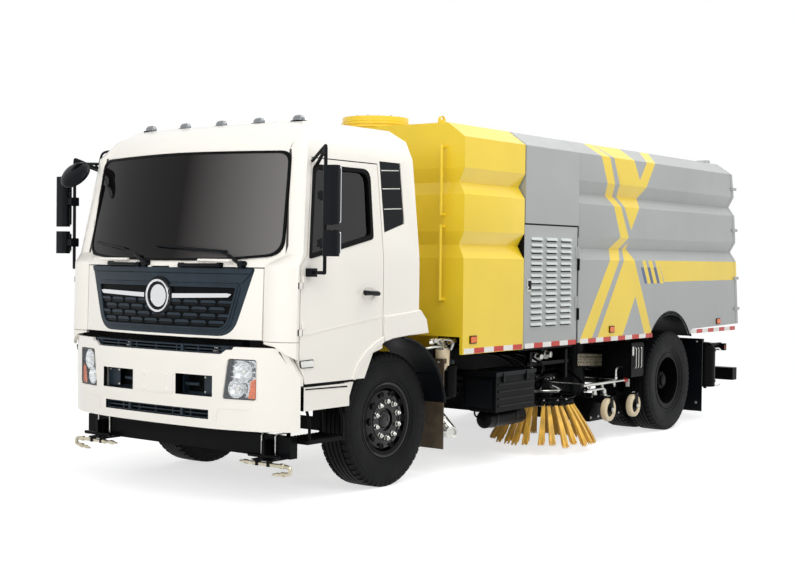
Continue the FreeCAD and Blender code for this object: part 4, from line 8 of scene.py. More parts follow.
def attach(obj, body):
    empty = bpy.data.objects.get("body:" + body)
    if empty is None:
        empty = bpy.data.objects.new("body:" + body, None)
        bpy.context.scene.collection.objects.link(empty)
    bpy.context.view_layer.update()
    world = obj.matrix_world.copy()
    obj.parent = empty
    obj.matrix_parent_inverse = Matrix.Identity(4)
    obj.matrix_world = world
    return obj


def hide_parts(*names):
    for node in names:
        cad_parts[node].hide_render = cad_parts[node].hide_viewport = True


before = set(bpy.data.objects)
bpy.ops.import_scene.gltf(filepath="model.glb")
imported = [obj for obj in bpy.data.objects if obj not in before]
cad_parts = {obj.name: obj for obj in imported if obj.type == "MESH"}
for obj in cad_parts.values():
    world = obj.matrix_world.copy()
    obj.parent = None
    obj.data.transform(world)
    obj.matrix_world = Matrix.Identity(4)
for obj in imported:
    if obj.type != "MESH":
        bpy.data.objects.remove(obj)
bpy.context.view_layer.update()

# Places are given in metres from the point on the ground under the front axle: x forward, y to
# the truck's left, z up. The frame itself starts this far behind that point.
AXLE = 2.6275
LEFT_RIGHT = (1, -1)
SIDES = ((1, "left"), (-1, "right"))


def at(x, y, z):
    return Vector((x + AXLE, y, z))


# ---- finishes

def tone(red, green, blue):
    """A colour as a paint card gives it, from 0 to 255, made linear."""
    return tuple((c / 255 / 12.92 if c < 11 else ((c / 255 + 0.055) / 1.055) ** 2.4)
                 for c in (red, green, blue)) + (1.0,)


def wired(tree, kind, *sources, **settings):
    """A new node's first output. The sources feed its inputs in their order: each is a socket,
    a value, or None for an input that stays as it comes."""
    node = tree.nodes.new(kind)
    for name, value in settings.items():
        setattr(node, name, value)
    for socket, source in zip(node.inputs, sources):
        if isinstance(source, bpy.types.NodeSocket):
            tree.links.new(source, socket)
        elif source is not None:
            socket.default_value = source
    return node.outputs[0]


def mixed(tree, low, high, factor):
    """A colour between low and high; each is a colour or a socket."""
    mix = tree.nodes.new("ShaderNodeMix")
    mix.data_type = "RGBA"
    tree.links.new(factor, mix.inputs[0])
    for socket, value in ((mix.inputs[6], low), (mix.inputs[7], high)):
        if isinstance(value, bpy.types.NodeSocket):
            tree.links.new(value, socket)
        else:
            socket.default_value = value
    return mix.outputs[2]


def ranged(tree, source, low, high, to_low, to_high):
    """A value moved from one range to another."""
    return wired(tree, "ShaderNodeMapRange", source, low, high, to_low, to_high)


def noise(tree, place, scale, detail=3.0, stretch=None):
    """A plain noise texture's value."""
    if stretch:
        mapping = tree.nodes.new("ShaderNodeMapping")
        mapping.inputs["Scale"].default_value = stretch
        tree.links.new(place, mapping.inputs[0])
        place = mapping.outputs[0]
    node = tree.nodes.new("ShaderNodeTexNoise")
    node.inputs["Scale"].default_value = scale
    node.inputs["Detail"].default_value = detail
    tree.links.new(place, node.inputs["Vector"])
    return node.outputs[0]


def finish(name, colour, rough=0.5, metal=0.0, coat=0.0, cloud=0.05, cloud_size=1.5, grain=0.0,
           grain_size=400.0, grime=0.0, grime_colour=(120, 110, 95), grime_top=1.2,
           stretch=None, glow=0.0, sheen=0.0, shine=0.5):
    """A finish with clouding in its colour, grain in its surface and road grime low down."""
    material = bpy.data.materials.new(name)
    material.use_nodes = True
    tree = material.node_tree
    shader = tree.nodes["Principled BSDF"]
    place = tree.nodes.new("ShaderNodeTexCoord").outputs["Object"]
    base = tone(*colour)
    dark = tuple(c * (1 - cloud) for c in base[:3]) + (1.0,)
    light = tuple(min(c * (1 + cloud), 1.0) for c in base[:3]) + (1.0,)
    clouds = noise(tree, place, cloud_size, 4.0, stretch)
    steps = ranged(tree, clouds, 0.35, 0.65, 0.0, 1.0)
    paint = mixed(tree, dark, light, steps)
    if grime:
        height = tree.nodes.new("ShaderNodeSeparateXYZ")
        tree.links.new(place, height.inputs[0])
        low_down = ranged(tree, height.outputs[2], 0.1, grime_top, grime, 0.0)
        patches = noise(tree, place, 6.0, 1.5)
        spread = wired(tree, "ShaderNodeMath", low_down, ranged(tree, patches, 0.3, 0.7, 0.2, 1.0),
                       operation="MULTIPLY")
        paint = mixed(tree, paint, tone(*grime_colour), spread)
    tree.links.new(paint, shader.inputs["Base Color"])
    uneven = noise(tree, place, 9.0, 1.5)
    tree.links.new(ranged(tree, uneven, 0.3, 0.7, rough * 0.92, rough * 1.08),
                   shader.inputs["Roughness"])
    for label, value in (("Metallic", metal), ("Specular IOR Level", shine), ("Coat Weight", coat),
                         ("Coat Roughness", 0.06), ("Sheen Weight", sheen)):
        shader.inputs[label].default_value = value
    if glow:
        shader.inputs["Emission Color"].default_value = base
        shader.inputs["Emission Strength"].default_value = glow
    if grain:
        bump = tree.nodes.new("ShaderNodeBump")
        bump.inputs["Strength"].default_value = grain
        bump.inputs["Distance"].default_value = 0.002
        tree.links.new(noise(tree, place, grain_size, 3.0, stretch), bump.inputs["Height"])
        tree.links.new(bump.outputs[0], shader.inputs["Normal"])
    return material


def tinted_glass(name, colour, rough=0.02, specks=0.03):
    """Dark glass that lets some light through."""
    material = finish(name, colour, rough, cloud=specks, cloud_size=0.7, shine=0.12)
    shader = material.node_tree.nodes["Principled BSDF"]
    shader.inputs["Transmission Weight"].default_value = 1.0
    shader.inputs["IOR"].default_value = 1.45
    return material


WHITE = finish("white_paint", (238, 234, 225), 0.30, coat=0.4, cloud=0.012, grime=0.08,
               grime_colour=(190, 178, 158), grime_top=1.3)
YELLOW = finish("yellow_paint", (240, 207, 44), 0.34, coat=0.35, cloud=0.035, grain=0.03,
                grain_size=70, grime=0.06, grime_colour=(180, 150, 70))
GREY = finish("grey_paint", (161, 164, 162), 0.38, coat=0.3, cloud=0.03, grain=0.03,
              grain_size=70)
BLUE = finish("blue_paint", (60, 84, 122), 0.35, coat=0.3, cloud=0.05, grain=0.02)
BLACK = finish("chassis_black", (8, 9, 11), 0.36, cloud=0.25, cloud_size=4, grain=0.12,
               grain_size=220, grime=0.04, grime_colour=(52, 48, 42), grime_top=1.0, shine=0.06)
GLOSS = finish("gloss_black", (10, 11, 13), 0.20, coat=0.2, cloud=0.2, cloud_size=9, grain=0.05,
               grain_size=300, grime=0.05, grime_colour=(52, 48, 42), grime_top=1.0, shine=0.2)
PLASTIC = finish("black_plastic", (11, 14, 18), 0.36, cloud=0.12, cloud_size=6, grain=0.10,
                 grain_size=900, shine=0.12)
SATIN = finish("grille_plastic", (36, 47, 56), 0.34, cloud=0.12, cloud_size=8, grain=0.08,
               grain_size=900, shine=0.2)
RUBBER = finish("tyre_rubber", (12, 13, 15), 0.55, cloud=0.14, cloud_size=7, grain=0.18,
                grain_size=260, grime=0.03, grime_colour=(62, 60, 56), grime_top=1.0, shine=0.10)
SEAL = finish("seal_rubber", (9, 10, 11), 0.55, cloud=0.15, grain=0.1, grain_size=500, shine=0.08)
# a paler copy of the grey paint: painted highlight on the louvre hoods
LOUVRE_HIGHLIGHT = finish("louvre_painted_highlight", (206, 212, 209), 0.34, coat=0.3, cloud=0.05, cloud_size=9,
                 grain=0.04, grain_size=80)
STEEL = finish("bright_steel", (205, 205, 200), 0.28, metal=1.0, cloud=0.10, cloud_size=12,
               grain=0.06, grain_size=300, stretch=(1, 1, 8))
CHROME = finish("chrome", (225, 226, 228), 0.10, metal=1.0, cloud=0.04, grain=0.01)
BRASS = finish("nozzle_brass", (196, 188, 166), 0.30, metal=0.9, cloud=0.18, cloud_size=20,
               grain=0.08)
IRON = finish("engine_iron", (52, 54, 56), 0.55, metal=0.4, cloud=0.25, cloud_size=6, grain=0.25,
              grain_size=180, grime=0.3, grime_top=1.3)
CREAM = finish("cream_plastic", (232, 214, 180), 0.45, cloud=0.08, cloud_size=10, grain=0.08)
ORANGE = finish("bristle_orange", (236, 184, 72), 0.5, cloud=0.22, cloud_size=18, grain=0.2,
                grain_size=500, stretch=(1, 1, 0.2), sheen=0.2)
AMBER = finish("amber_lens", (226, 106, 14), 0.18, coat=0.3, cloud=0.10, cloud_size=30, grain=0.1,
               grain_size=160, glow=0.03)
RED = finish("red_tape", (196, 46, 34), 0.32, cloud=0.10, cloud_size=60, grain=0.12,
             grain_size=700)
TAPE = finish("white_tape", (232, 230, 224), 0.32, cloud=0.06, cloud_size=60, grain=0.12,
              grain_size=700)
INSIDE = finish("cabin_trim", (64, 60, 58), 0.7, cloud=0.12, cloud_size=8, grain=0.3,
                grain_size=300)
MUD = finish("flap_rubber", (78, 66, 50), 0.75, cloud=0.30, cloud_size=9, grain=0.35,
             grain_size=120)
RED_LENS = finish("red_lens", (170, 24, 22), 0.15, coat=0.6, cloud=0.1, cloud_size=40, grain=0.1,
                  grain_size=160)
LAMP_GREY = finish("lamp_silver", (112, 116, 120), 0.22, coat=0.6, cloud=0.08, cloud_size=30,
                   grain=0.06, grain_size=160)
GLASS = tinted_glass("tinted_glass", (52, 52, 54))


def screen_glass():
    """Tinted glass with a painted reflection: its colour pales towards the driver's side."""
    material = finish("screen_glass", (30, 27, 26), 0.03, cloud=0.02, cloud_size=0.7, shine=0.07)
    tree = material.node_tree
    shader = tree.nodes["Principled BSDF"]
    spot = tree.nodes.new("ShaderNodeSeparateXYZ")
    tree.links.new(tree.nodes["Texture Coordinate"].outputs["Object"], spot.inputs[0])
    # the paler colour towards the driver's side is a painted reflection
    share = ranged(tree, spot.outputs[1], 0.1, 1.05, 0.0, 1.0)
    tree.links.new(mixed(tree, tone(17, 14, 13), tone(126, 123, 122), share),
                   shader.inputs["Base Color"])
    shader.inputs["Transmission Weight"].default_value = 0.22
    shader.inputs["IOR"].default_value = 1.45
    return material


SCREEN = screen_glass()


def clear_cover():
    """A lamp's clear cover: thin, so that the light goes straight through."""
    material = finish("lamp_glass", (226, 231, 236), 0.04, cloud=0.03, cloud_size=6, shine=0.5)
    material.node_tree.nodes["Principled BSDF"].inputs["Alpha"].default_value = 0.07
    return material


LENS = clear_cover()
LAMP_CHROME = finish("lamp_reflector", (228, 230, 232), 0.20, metal=0.85, cloud=0.25,
                     cloud_size=38, grain=0.7, grain_size=42)
MIRROR = finish("mirror_silver", (210, 215, 220), 0.06, metal=1.0, cloud=0.02)


# ---- making and fixing pieces

# In degrees: edges that turn by more than the first are eased. A folded sheet gives its own,
# smaller angle, and its folds are eased too.
CORNER_ANGLE = 40
FOLD_ANGLE = 15


def wear(node, material):
    """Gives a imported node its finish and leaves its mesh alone."""
    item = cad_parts[node]
    if not item.material_slots:
        item.data.materials.append(None)
    for place in item.material_slots:
        place.link = "OBJECT"
        place.material = material


def fit(item, body, replaces=()):
    """Puts a piece on its body and hides the imported nodes that it replaces."""
    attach(item, body)
    if replaces:
        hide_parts(*replaces)
    return item


def piece(name, bm, materials, body, replaces=(), bevel=0.0, sharp=35, steps=2,
          recalc=True):
    """Turns a bmesh drawn in the truck's place into a finished piece on its body."""
    if recalc:
        bmesh.ops.recalc_face_normals(bm, faces=bm.faces)
    mesh = bpy.data.meshes.new(name)
    bm.to_mesh(mesh)
    bm.free()
    item = bpy.data.objects.new(name, mesh)
    bpy.context.scene.collection.objects.link(item)
    for material in materials if isinstance(materials, (list, tuple)) else [materials]:
        mesh.materials.append(material)
    mesh.shade_smooth()
    mesh.set_sharp_from_angle(angle=math.radians(sharp))
    if bevel:
        edge = item.modifiers.new("edges", "BEVEL")
        edge.width = bevel
        edge.segments = steps
        edge.limit_method = "ANGLE"
        edge.angle_limit = math.radians(CORNER_ANGLE if sharp > FOLD_ANGLE else sharp)
        edge.harden_normals = True
    return fit(item, body, replaces)


def block(bm, x0, x1, y0, y1, z0, z1, mat=0):
    """A box given by its limits in the truck's place."""
    corners = [bm.verts.new(at(x, y, z)) for x in (x0, x1) for y in (y0, y1) for z in (z0, z1)]
    for a, b, c, d in ((0, 1, 3, 2), (4, 6, 7, 5), (0, 4, 5, 1), (2, 3, 7, 6), (0, 2, 6, 4),
                       (1, 5, 7, 3)):
        bm.faces.new([corners[i] for i in (a, b, c, d)]).material_index = mat


def lathe(bm, centre, axis, profile, segments=32, mat=0, closed=False):
    """Turns (along, radius) points about an axis through centre. Ends on the axis close it."""
    axis = Vector(axis).normalized()
    side = axis.orthogonal().normalized()
    other = axis.cross(side)
    rings = []
    for along, radius in profile:
        middle = centre + axis * along
        if radius < 1e-6:
            rings.append([bm.verts.new(middle)])
            continue
        rings.append([bm.verts.new(middle + (side * math.cos(a) + other * math.sin(a)) * radius)
                      for a in (math.tau * i / segments for i in range(segments))])
    pairs = list(zip(rings, rings[1:]))
    if closed:
        pairs.append((rings[-1], rings[0]))
    for near, far in pairs:
        for i in range(segments):
            j = (i + 1) % segments
            corners = [near[i % len(near)], near[j % len(near)], far[j % len(far)],
                       far[i % len(far)]]
            corners = list(dict.fromkeys(corners))
            if len(corners) > 2:
                bm.faces.new(corners).material_index = mat


def collar(bm, centre, axis, inner, outer, height, segments=32, mat=0):
    """A flat ring, from centre on along the axis."""
    lathe(bm, centre, axis, [(0.0, inner), (0.0, outer), (height, outer), (height, inner)],
          segments, mat, True)


def drum(bm, start, end, radius, segments=24, mat=0, round_off=0.15):
    """A round bar or pot between two points with its edges eased."""
    run = end - start
    ease = radius * round_off
    profile = [(0, 0), (0, radius - ease), (ease, radius), (run.length - ease, radius),
               (run.length, radius - ease), (run.length, 0)]
    lathe(bm, start, run, profile, segments, mat)


def softened(points, radius, steps=4):
    """The same run of points with each inner corner rounded."""
    points = [Vector(p) for p in points]
    out = [points[0]]
    for before, corner, after in zip(points, points[1:], points[2:]):
        inward = before - corner
        outward = after - corner
        reach = min(radius, inward.length * 0.48, outward.length * 0.48)
        a = corner + inward.normalized() * reach
        b = corner + outward.normalized() * reach
        for i in range(steps + 1):
            t = i / steps
            out.append(a * (1 - t) ** 2 + corner * 2 * t * (1 - t) + b * t ** 2)
    out.append(points[-1])
    return out


def tube(bm, points, radius, sides=10, mat=0, corner=0.0, steps=5):
    """A round bar or pipe that follows points given in the truck's place."""
    path = softened(points, corner, steps) if corner else [Vector(p) for p in points]
    rings = []
    normal = (path[1] - path[0]).orthogonal().normalized()
    for i, here in enumerate(path):
        ahead = path[min(i + 1, len(path) - 1)] - path[max(i - 1, 0)]
        ahead.normalize()
        normal = (normal - ahead * normal.dot(ahead)).normalized()
        other = ahead.cross(normal)
        rings.append([bm.verts.new(here + (normal * math.cos(a) + other * math.sin(a)) * radius)
                      for a in (math.tau * k / sides for k in range(sides))])
    for near, far in zip(rings, rings[1:]):
        for k in range(sides):
            j = (k + 1) % sides
            bm.faces.new([near[k], near[j], far[j], far[k]]).material_index = mat
    for cap in (rings[0], rings[-1]):
        bm.faces.new(cap).material_index = mat


def slab(bm, plane, points, low, high, mat=0):
    """A flat outline in the xz, yz or xy plane, drawn out from low to high."""
    def place(point, level):
        u, v = point
        return {"xz": at(u, level, v), "yz": at(level, u, v), "xy": at(u, v, level)}[plane]

    near = [bm.verts.new(place(p, low)) for p in points]
    far = [bm.verts.new(place(p, high)) for p in points]
    bm.faces.new(near).material_index = mat
    bm.faces.new(far).material_index = mat
    for i in range(len(points)):
        j = (i + 1) % len(points)
        bm.faces.new([near[i], near[j], far[j], far[i]]).material_index = mat


def bolt(bm, head, axis, radius=0.012, height=0.009, mat=0):
    """A hexagon head on a washer."""
    axis = Vector(axis).normalized()
    lathe(bm, head, axis, [(0, 0), (0, radius * 1.45), (height * 0.25, radius * 1.45),
                           (height * 0.25, 0)], 16, mat)
    lathe(bm, head + axis * height * 0.2, axis,
          [(0, 0), (0, radius), (height * 0.8, radius), (height, radius * 0.8), (height, 0)],
          6, mat)


def rounded(points, radius, steps=5):
    """A closed flat outline with its corners rounded; radius may differ for each corner."""
    out = []
    count = len(points)
    for i, corner in enumerate(points):
        size = radius[i] if isinstance(radius, (list, tuple)) else radius
        here = Vector(corner)
        before = Vector(points[i - 1]) - here
        after = Vector(points[(i + 1) % count]) - here
        reach = min(size, before.length * 0.49, after.length * 0.49)
        a = here + before.normalized() * reach
        b = here + after.normalized() * reach
        if size < 1e-6:
            out.append(tuple(here))
            continue
        for k in range(steps + 1):
            t = k / steps
            out.append(tuple(a * (1 - t) ** 2 + here * 2 * t * (1 - t) + b * t ** 2))
    return out


def surface_of(*nodes):
    """What a ray can land on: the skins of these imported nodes."""
    verts, faces = [], []
    for node in nodes:
        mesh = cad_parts[node].data
        start = len(verts)
        verts += [v.co.copy() for v in mesh.vertices]
        faces += [[start + i for i in p.vertices] for p in mesh.polygons]
    return BVHTree.FromPolygons(verts, faces)


# where a ray starts, which way it goes, for each way of looking at the truck
LOOKS = {
    "front": lambda u, v: (Vector((6.0, u, v)), Vector((-1, 0, 0))),
    "rear": lambda u, v: (Vector((-6.0, u, v)), Vector((1, 0, 0))),
    "left": lambda u, v: (Vector((u + AXLE, 3.0, v)), Vector((0, -1, 0))),
    "right": lambda u, v: (Vector((u + AXLE, -3.0, v)), Vector((0, 1, 0))),
    "top": lambda u, v: (Vector((u + AXLE, v, 5.0)), Vector((0, 0, -1))),
}


def landing(tree, look, u, v):
    """Where a look along one axis meets the skin."""
    start, way = LOOKS[look](u, v)
    spot = tree.ray_cast(start, way)[0]
    return spot if spot is not None else tree.find_nearest(start + way * 3.0)[0]


def lay(bm, tree, look, faces, lift=0.002, depth=0.003, mat=0, grid=0.0):
    """Lays flat faces, drawn as seen from one side, on the skin as sheets with a thickness."""
    flat = bmesh.new()
    for face in faces:
        flat.faces.new([flat.verts.new((u, v, 0)) for u, v in face])
    bmesh.ops.remove_doubles(flat, verts=flat.verts, dist=1e-5)
    if grid:
        for axis in (0, 1):
            values = [v.co[axis] for v in flat.verts]
            level = math.floor(min(values) / grid) * grid + grid
            while level < max(values):
                point, normal = Vector((0, 0, 0)), Vector((0, 0, 0))
                point[axis], normal[axis] = level, 1
                bmesh.ops.bisect_plane(flat, geom=flat.verts[:] + flat.edges[:] + flat.faces[:],
                                       plane_co=point, plane_no=normal, dist=1e-6)
                level += grid
    out = -LOOKS[look](0, 0)[1]
    front, back = {}, {}
    for v in flat.verts:
        spot = landing(tree, look, v.co.x, v.co.y)
        front[v] = bm.verts.new(spot + out * lift)
        back[v] = bm.verts.new(spot - out * depth)
    for face in flat.faces:
        bm.faces.new([front[v] for v in face.verts]).material_index = mat
        bm.faces.new([back[v] for v in reversed(face.verts)]).material_index = mat
    for edge in flat.edges:
        if len(edge.link_faces) == 1:
            a, b = edge.verts
            bm.faces.new([front[a], front[b], back[b], back[a]]).material_index = mat
    flat.free()


def lay_front(bm, tree, faces, lift=0.002, depth=0.003, mat=0, grid=0.0):
    """Lays faces drawn as seen from the front."""
    lay(bm, tree, "front", faces, lift, depth, mat, grid)


def hoop(outer, inner):
    """Faces between two closed outlines with the same number of points."""
    count = len(outer)
    return [[outer[i], outer[(i + 1) % count], inner[(i + 1) % count], inner[i]]
            for i in range(count)]


def rect(u0, u1, v0, v1):
    """The corners of an upright rectangle."""
    return [(u0, v0), (u1, v0), (u1, v1), (u0, v1)]


def strip(points, half):
    """Faces of a flat band that follows points, half wide to each side."""
    points = [Vector(p) for p in points]
    sides = []
    for i, here in enumerate(points):
        run = (points[min(i + 1, len(points) - 1)] - points[max(i - 1, 0)]).normalized()
        across = Vector((-run.y, run.x)) * half
        sides.append((tuple(here + across), tuple(here - across)))
    return [[a[0], b[0], b[1], a[1]] for a, b in zip(sides, sides[1:])]


def inset(points, distance):
    """A closed outline drawn in by a distance, corner by corner."""
    count = len(points)
    area = sum(points[i][0] * points[(i + 1) % count][1] - points[(i + 1) % count][0] * points[i][1]
               for i in range(count))
    turn = 1 if area > 0 else -1
    out = []
    for i, point in enumerate(points):
        before = (Vector(point) - Vector(points[i - 1])).normalized()
        after = (Vector(points[(i + 1) % count]) - Vector(point)).normalized()
        normals = [Vector((-d.y, d.x)) * turn for d in (before, after)]
        middle = (normals[0] + normals[1]).normalized()
        share = max(middle.dot(normals[0]), 0.5)
        out.append(tuple(Vector(point) + middle * distance / share))
    return out


# ---- pieces that repeat

def copies_tree():
    """Geometry nodes that copy the incoming shape along rows, grids and rings."""
    tree = bpy.data.node_groups.new("copies", "GeometryNodeTree")
    sockets = tree.interface
    sockets.new_socket("Shape", in_out="INPUT", socket_type="NodeSocketGeometry")
    for label, kind in (("Count", "NodeSocketInt"), ("In a row", "NodeSocketInt"),
                        ("Start", "NodeSocketVector"), ("Step", "NodeSocketVector"),
                        ("Row step", "NodeSocketVector"), ("Axis", "NodeSocketVector"),
                        ("First turn", "NodeSocketFloat"), ("Turn", "NodeSocketFloat"),
                        ("Stray", "NodeSocketFloat"), ("Seed", "NodeSocketInt"),
                        ("Finish", "NodeSocketMaterial")):
        sockets.new_socket(label, in_out="INPUT", socket_type=kind)
    sockets.new_socket("Shape", in_out="OUTPUT", socket_type="NodeSocketGeometry")
    given = tree.nodes.new("NodeGroupInput").outputs
    index = wired(tree, "GeometryNodeInputIndex")

    def maths(kind, *values):
        return wired(tree, "ShaderNodeMath", *values, operation=kind)

    def scaled(vector, amount):
        return wired(tree, "ShaderNodeVectorMath", vector, None, None, amount, operation="SCALE")

    def added(a, b):
        return wired(tree, "ShaderNodeVectorMath", a, b)

    column = maths("MODULO", index, given["In a row"])
    row = maths("FLOOR", maths("DIVIDE", index, given["In a row"]))
    place = added(given["Start"], added(scaled(given["Step"], column),
                                        scaled(given["Row step"], row)))
    points = wired(tree, "GeometryNodePoints", given["Count"], place)
    turn = maths("ADD", given["First turn"], maths("MULTIPLY", given["Turn"], index))
    chance = tree.nodes.new("FunctionNodeRandomValue")
    chance.data_type = "FLOAT_VECTOR"
    chance.inputs[0].default_value = (-1, -1, -1)
    tree.links.new(given["Seed"], chance.inputs["Seed"])
    both = wired(tree, "FunctionNodeRotateRotation",
                 wired(tree, "FunctionNodeAxisAngleToRotation", given["Axis"], turn),
                 wired(tree, "FunctionNodeEulerToRotation",
                       scaled(chance.outputs[0], given["Stray"])), rotation_space="LOCAL")
    copy = wired(tree, "GeometryNodeInstanceOnPoints", points, None, given["Shape"], None, None,
                 both)
    real = wired(tree, "GeometryNodeRealizeInstances", copy)
    coat = wired(tree, "GeometryNodeSetMaterial", real, None, given["Finish"])
    tree.links.new(coat, tree.nodes.new("NodeGroupOutput").inputs[0])
    return tree


COPIES = copies_tree()


def copied(bm, material, count, start, step=(0, 0, 0), per_row=None, row_step=(0, 0, 0),
           axis=(0, 0, 1), first=0.0, turn=0.0, stray=0.0, seed=1):
    """The bmesh, drawn about the origin, repeated by the copies tree, as a new bmesh."""
    bmesh.ops.recalc_face_normals(bm, faces=bm.faces)
    mesh = bpy.data.meshes.new("pattern")
    bm.to_mesh(mesh)
    bm.free()
    item = bpy.data.objects.new("pattern", mesh)
    bpy.context.scene.collection.objects.link(item)
    maker = item.modifiers.new("copies", "NODES")
    values = {"Count": count, "In a row": per_row or count, "Start": start, "Step": step,
              "Row step": row_step, "Axis": axis, "First turn": first, "Turn": turn,
              "Stray": stray, "Seed": seed, "Finish": material}
    maker.node_group = COPIES
    for socket in COPIES.interface.items_tree:
        if socket.in_out == "INPUT" and socket.name in values:
            value = values[socket.name]
            maker[socket.identifier] = tuple(value) if isinstance(value, Vector) else value
    item.update_tag()
    graph = bpy.context.evaluated_depsgraph_get()
    made = bpy.data.meshes.new_from_object(item.evaluated_get(graph))
    item.modifiers.remove(maker)
    bpy.data.objects.remove(item)
    out = bmesh.new()
    out.from_mesh(made)
    bpy.data.meshes.remove(made)
    return out


def joined(*parts):
    """One bmesh from several; each may come as (bmesh, material number)."""
    whole = bmesh.new()
    for part in parts:
        bm, mat = part if isinstance(part, tuple) else (part, None)
        if mat is not None:
            for face in bm.faces:
                face.material_index = mat
        mesh = bpy.data.meshes.new("part")
        bm.to_mesh(mesh)
        bm.free()
        whole.from_mesh(mesh)
        bpy.data.meshes.remove(mesh)
    return whole


def loose():
    """A bmesh drawn about the origin rather than in the truck's place."""
    return bmesh.new()


def box_at_origin(bm, sx, sy, sz, low=False):
    """A box about the origin, or standing on it when low."""
    z0 = 0 if low else -sz / 2
    block(bm, -sx / 2 - AXLE, sx / 2 - AXLE, -sy / 2, sy / 2, z0, z0 + sz)


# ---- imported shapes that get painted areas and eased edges

def dressed(node, body, materials, paint=None, areas=(), bevel=0.004, sharp=35):
    """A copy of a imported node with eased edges. areas are painted shapes seen from one side:
    (look, outline, material number, lowest share of the normal); paint picks a number."""
    bm = bmesh.new()
    bm.from_mesh(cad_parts[node].data)
    bmesh.ops.remove_doubles(bm, verts=bm.verts, dist=2e-5)
    bmesh.ops.dissolve_limit(bm, angle_limit=math.radians(0.6), verts=bm.verts, edges=bm.edges)
    paint_areas(bm, areas)
    if paint:
        for face in bm.faces:
            if face.material_index == 0:
                middle = face.calc_center_median()
                middle.x -= AXLE
                face.material_index = paint(middle, face.normal)
    return piece("painted_" + node, bm, materials, body, (node,), bevel, sharp, recalc=False)


def paint_areas(bm, areas):
    """Cuts painted outlines into the faces that look their way, and numbers them."""
    for look, points, mat, least in areas:
        out = -LOOKS[look](0, 0)[1]
        for i, (u, v) in enumerate(points):
            nu, nv = points[(i + 1) % len(points)]
            across = (v - nv, nu - u)
            if look in ("front", "rear"):
                point, normal = Vector((0, u, v)), Vector((0, across[0], across[1]))
            else:
                point, normal = at(u, 0, v), Vector((across[0], 0, across[1]))
            lows = [min(p[k] for p in points) - 0.3 for k in (0, 1)]
            highs = [max(p[k] for p in points) + 0.3 for k in (0, 1)]
            near = [f for f in bm.faces if f.normal.dot(out) > least and
                    face_near(f, look, lows, highs)]
            shapes = set(near)
            for face in near:
                shapes.update(face.edges)
                shapes.update(face.verts)
            bmesh.ops.bisect_plane(bm, geom=list(shapes), plane_co=point, plane_no=normal,
                                   dist=1e-6)
        for face in bm.faces:
            if face.normal.dot(out) > least:
                middle = face.calc_center_median()
                spot = (middle.y, middle.z) if look in ("front", "rear") else (
                    middle.x - AXLE, middle.z)
                if inside(spot, points):
                    face.material_index = mat


def face_near(face, look, lows, highs):
    """Whether a face comes near the box of an outline."""
    k = 1 if look in ("front", "rear") else 0
    shift = 0 if k else AXLE
    us = [v.co[k] - shift for v in face.verts]
    vs = [v.co.z for v in face.verts]
    return (max(us) > lows[0] and min(us) < highs[0] and max(vs) > lows[1] and min(vs) < highs[1])


def inside(spot, points):
    """Whether a flat spot is inside a closed outline."""
    x, y = spot
    within = False
    for i, (x0, y0) in enumerate(points):
        x1, y1 = points[i - 1]
        if (y0 > y) != (y1 > y) and x < (x1 - x0) * (y - y0) / (y1 - y0) + x0:
            within = not within
    return within


# ---- plain sheets for trim to lie on

def arc_run(start, end, radius, steps=10):
    """Plan points on an arc that bulges away from the cab's middle."""
    start, end = Vector(start), Vector(end)
    chord = end - start
    inward = Vector((-chord.y, chord.x)).normalized()
    if inward.dot(Vector((-1, 0)) - (start + end) / 2) < 0:
        inward = -inward
    centre = (start + end) / 2 + inward * math.sqrt(radius ** 2 - chord.length_squared / 4)
    first, last = start - centre, end - centre
    turn = -first.angle_signed(last)
    angle = math.atan2(first.y, first.x)
    return [tuple(centre + Vector((math.cos(angle + turn * k / steps),
                                   math.sin(angle + turn * k / steps))) * radius)
            for k in range(steps + 1)]


def skin(rows):
    """A sheet through rows of plan points, each row with its height."""
    verts = [at(x, y, z) for z, row in rows for x, y in row]
    across = len(rows[0][1])
    faces = [[k * across + i, k * across + i + 1, (k + 1) * across + i + 1, (k + 1) * across + i]
             for k in range(len(rows) - 1) for i in range(across - 1)]
    return BVHTree.FromPolygons(verts, faces)


def whole_row(half):
    """A row on both sides from the points on the left one, front to back."""
    return [(x, -y) for x, y in reversed(half)] + half[1:]


def cab_sheet():
    """The cab's plain outer skin, round the front and both sides."""
    rows = []
    for z, front, corner_x, corner_y, side_x, side_y in (
            (0.878, 1.400, 1.285, 0.945, 1.205, 1.200),
            (1.720, 1.370, 1.262, 0.950, 1.190, 1.200),
            (1.800, 1.335, 1.160, 1.050, 1.138, 1.198),
            (2.557, 1.185, 1.045, 0.975, 1.015, 1.120),
            (2.700, 1.050, 0.930, 0.950, 0.890, 1.055),
            (2.785, 0.850, 0.790, 0.860, 0.735, 0.950)):
        bow = front - corner_x
        radius = (corner_y ** 2 + bow ** 2) / (bow * 2)
        face = arc_run((corner_x, -corner_y), (corner_x, corner_y), radius, 24)[12:]
        turn = arc_run((corner_x, corner_y), (side_x, side_y), 0.24, 6)[1:]
        rows.append((z, whole_row(face + turn + [(-0.1, side_y)])))
    return skin(rows)


def bumper_sheet():
    """The bumper's plain outer skin."""
    face = arc_run((1.425, -0.43), (1.425, 0.43), 8.0, 12)[6:]
    cheek = arc_run((1.425, 0.43), (1.368, 0.80), 1.5, 8)[1:]
    corner = arc_run((1.368, 0.80), (1.153, 1.20), 0.7, 10)[1:]
    row = whole_row(face + cheek + corner)
    return skin([(0.4, row), (1.3, row)])


CAB_SHEET = cab_sheet()
BUMPER_SHEET = bumper_sheet()


def bumper_x(y):
    return landing(BUMPER_SHEET, "front", y, 0.8).x - AXLE


# ---- camera, light and floor

def seen_rays(tree):
    """One for rays from the eye, also by way of metal and glass, and nothing for the rest."""
    rays = tree.nodes.new("ShaderNodeLightPath").outputs
    seen = rays["Is Camera Ray"]
    for label in ("Is Glossy Ray", "Is Transmission Ray"):
        seen = wired(tree, "ShaderNodeMath", seen, rays[label], operation="MAXIMUM")
    return seen


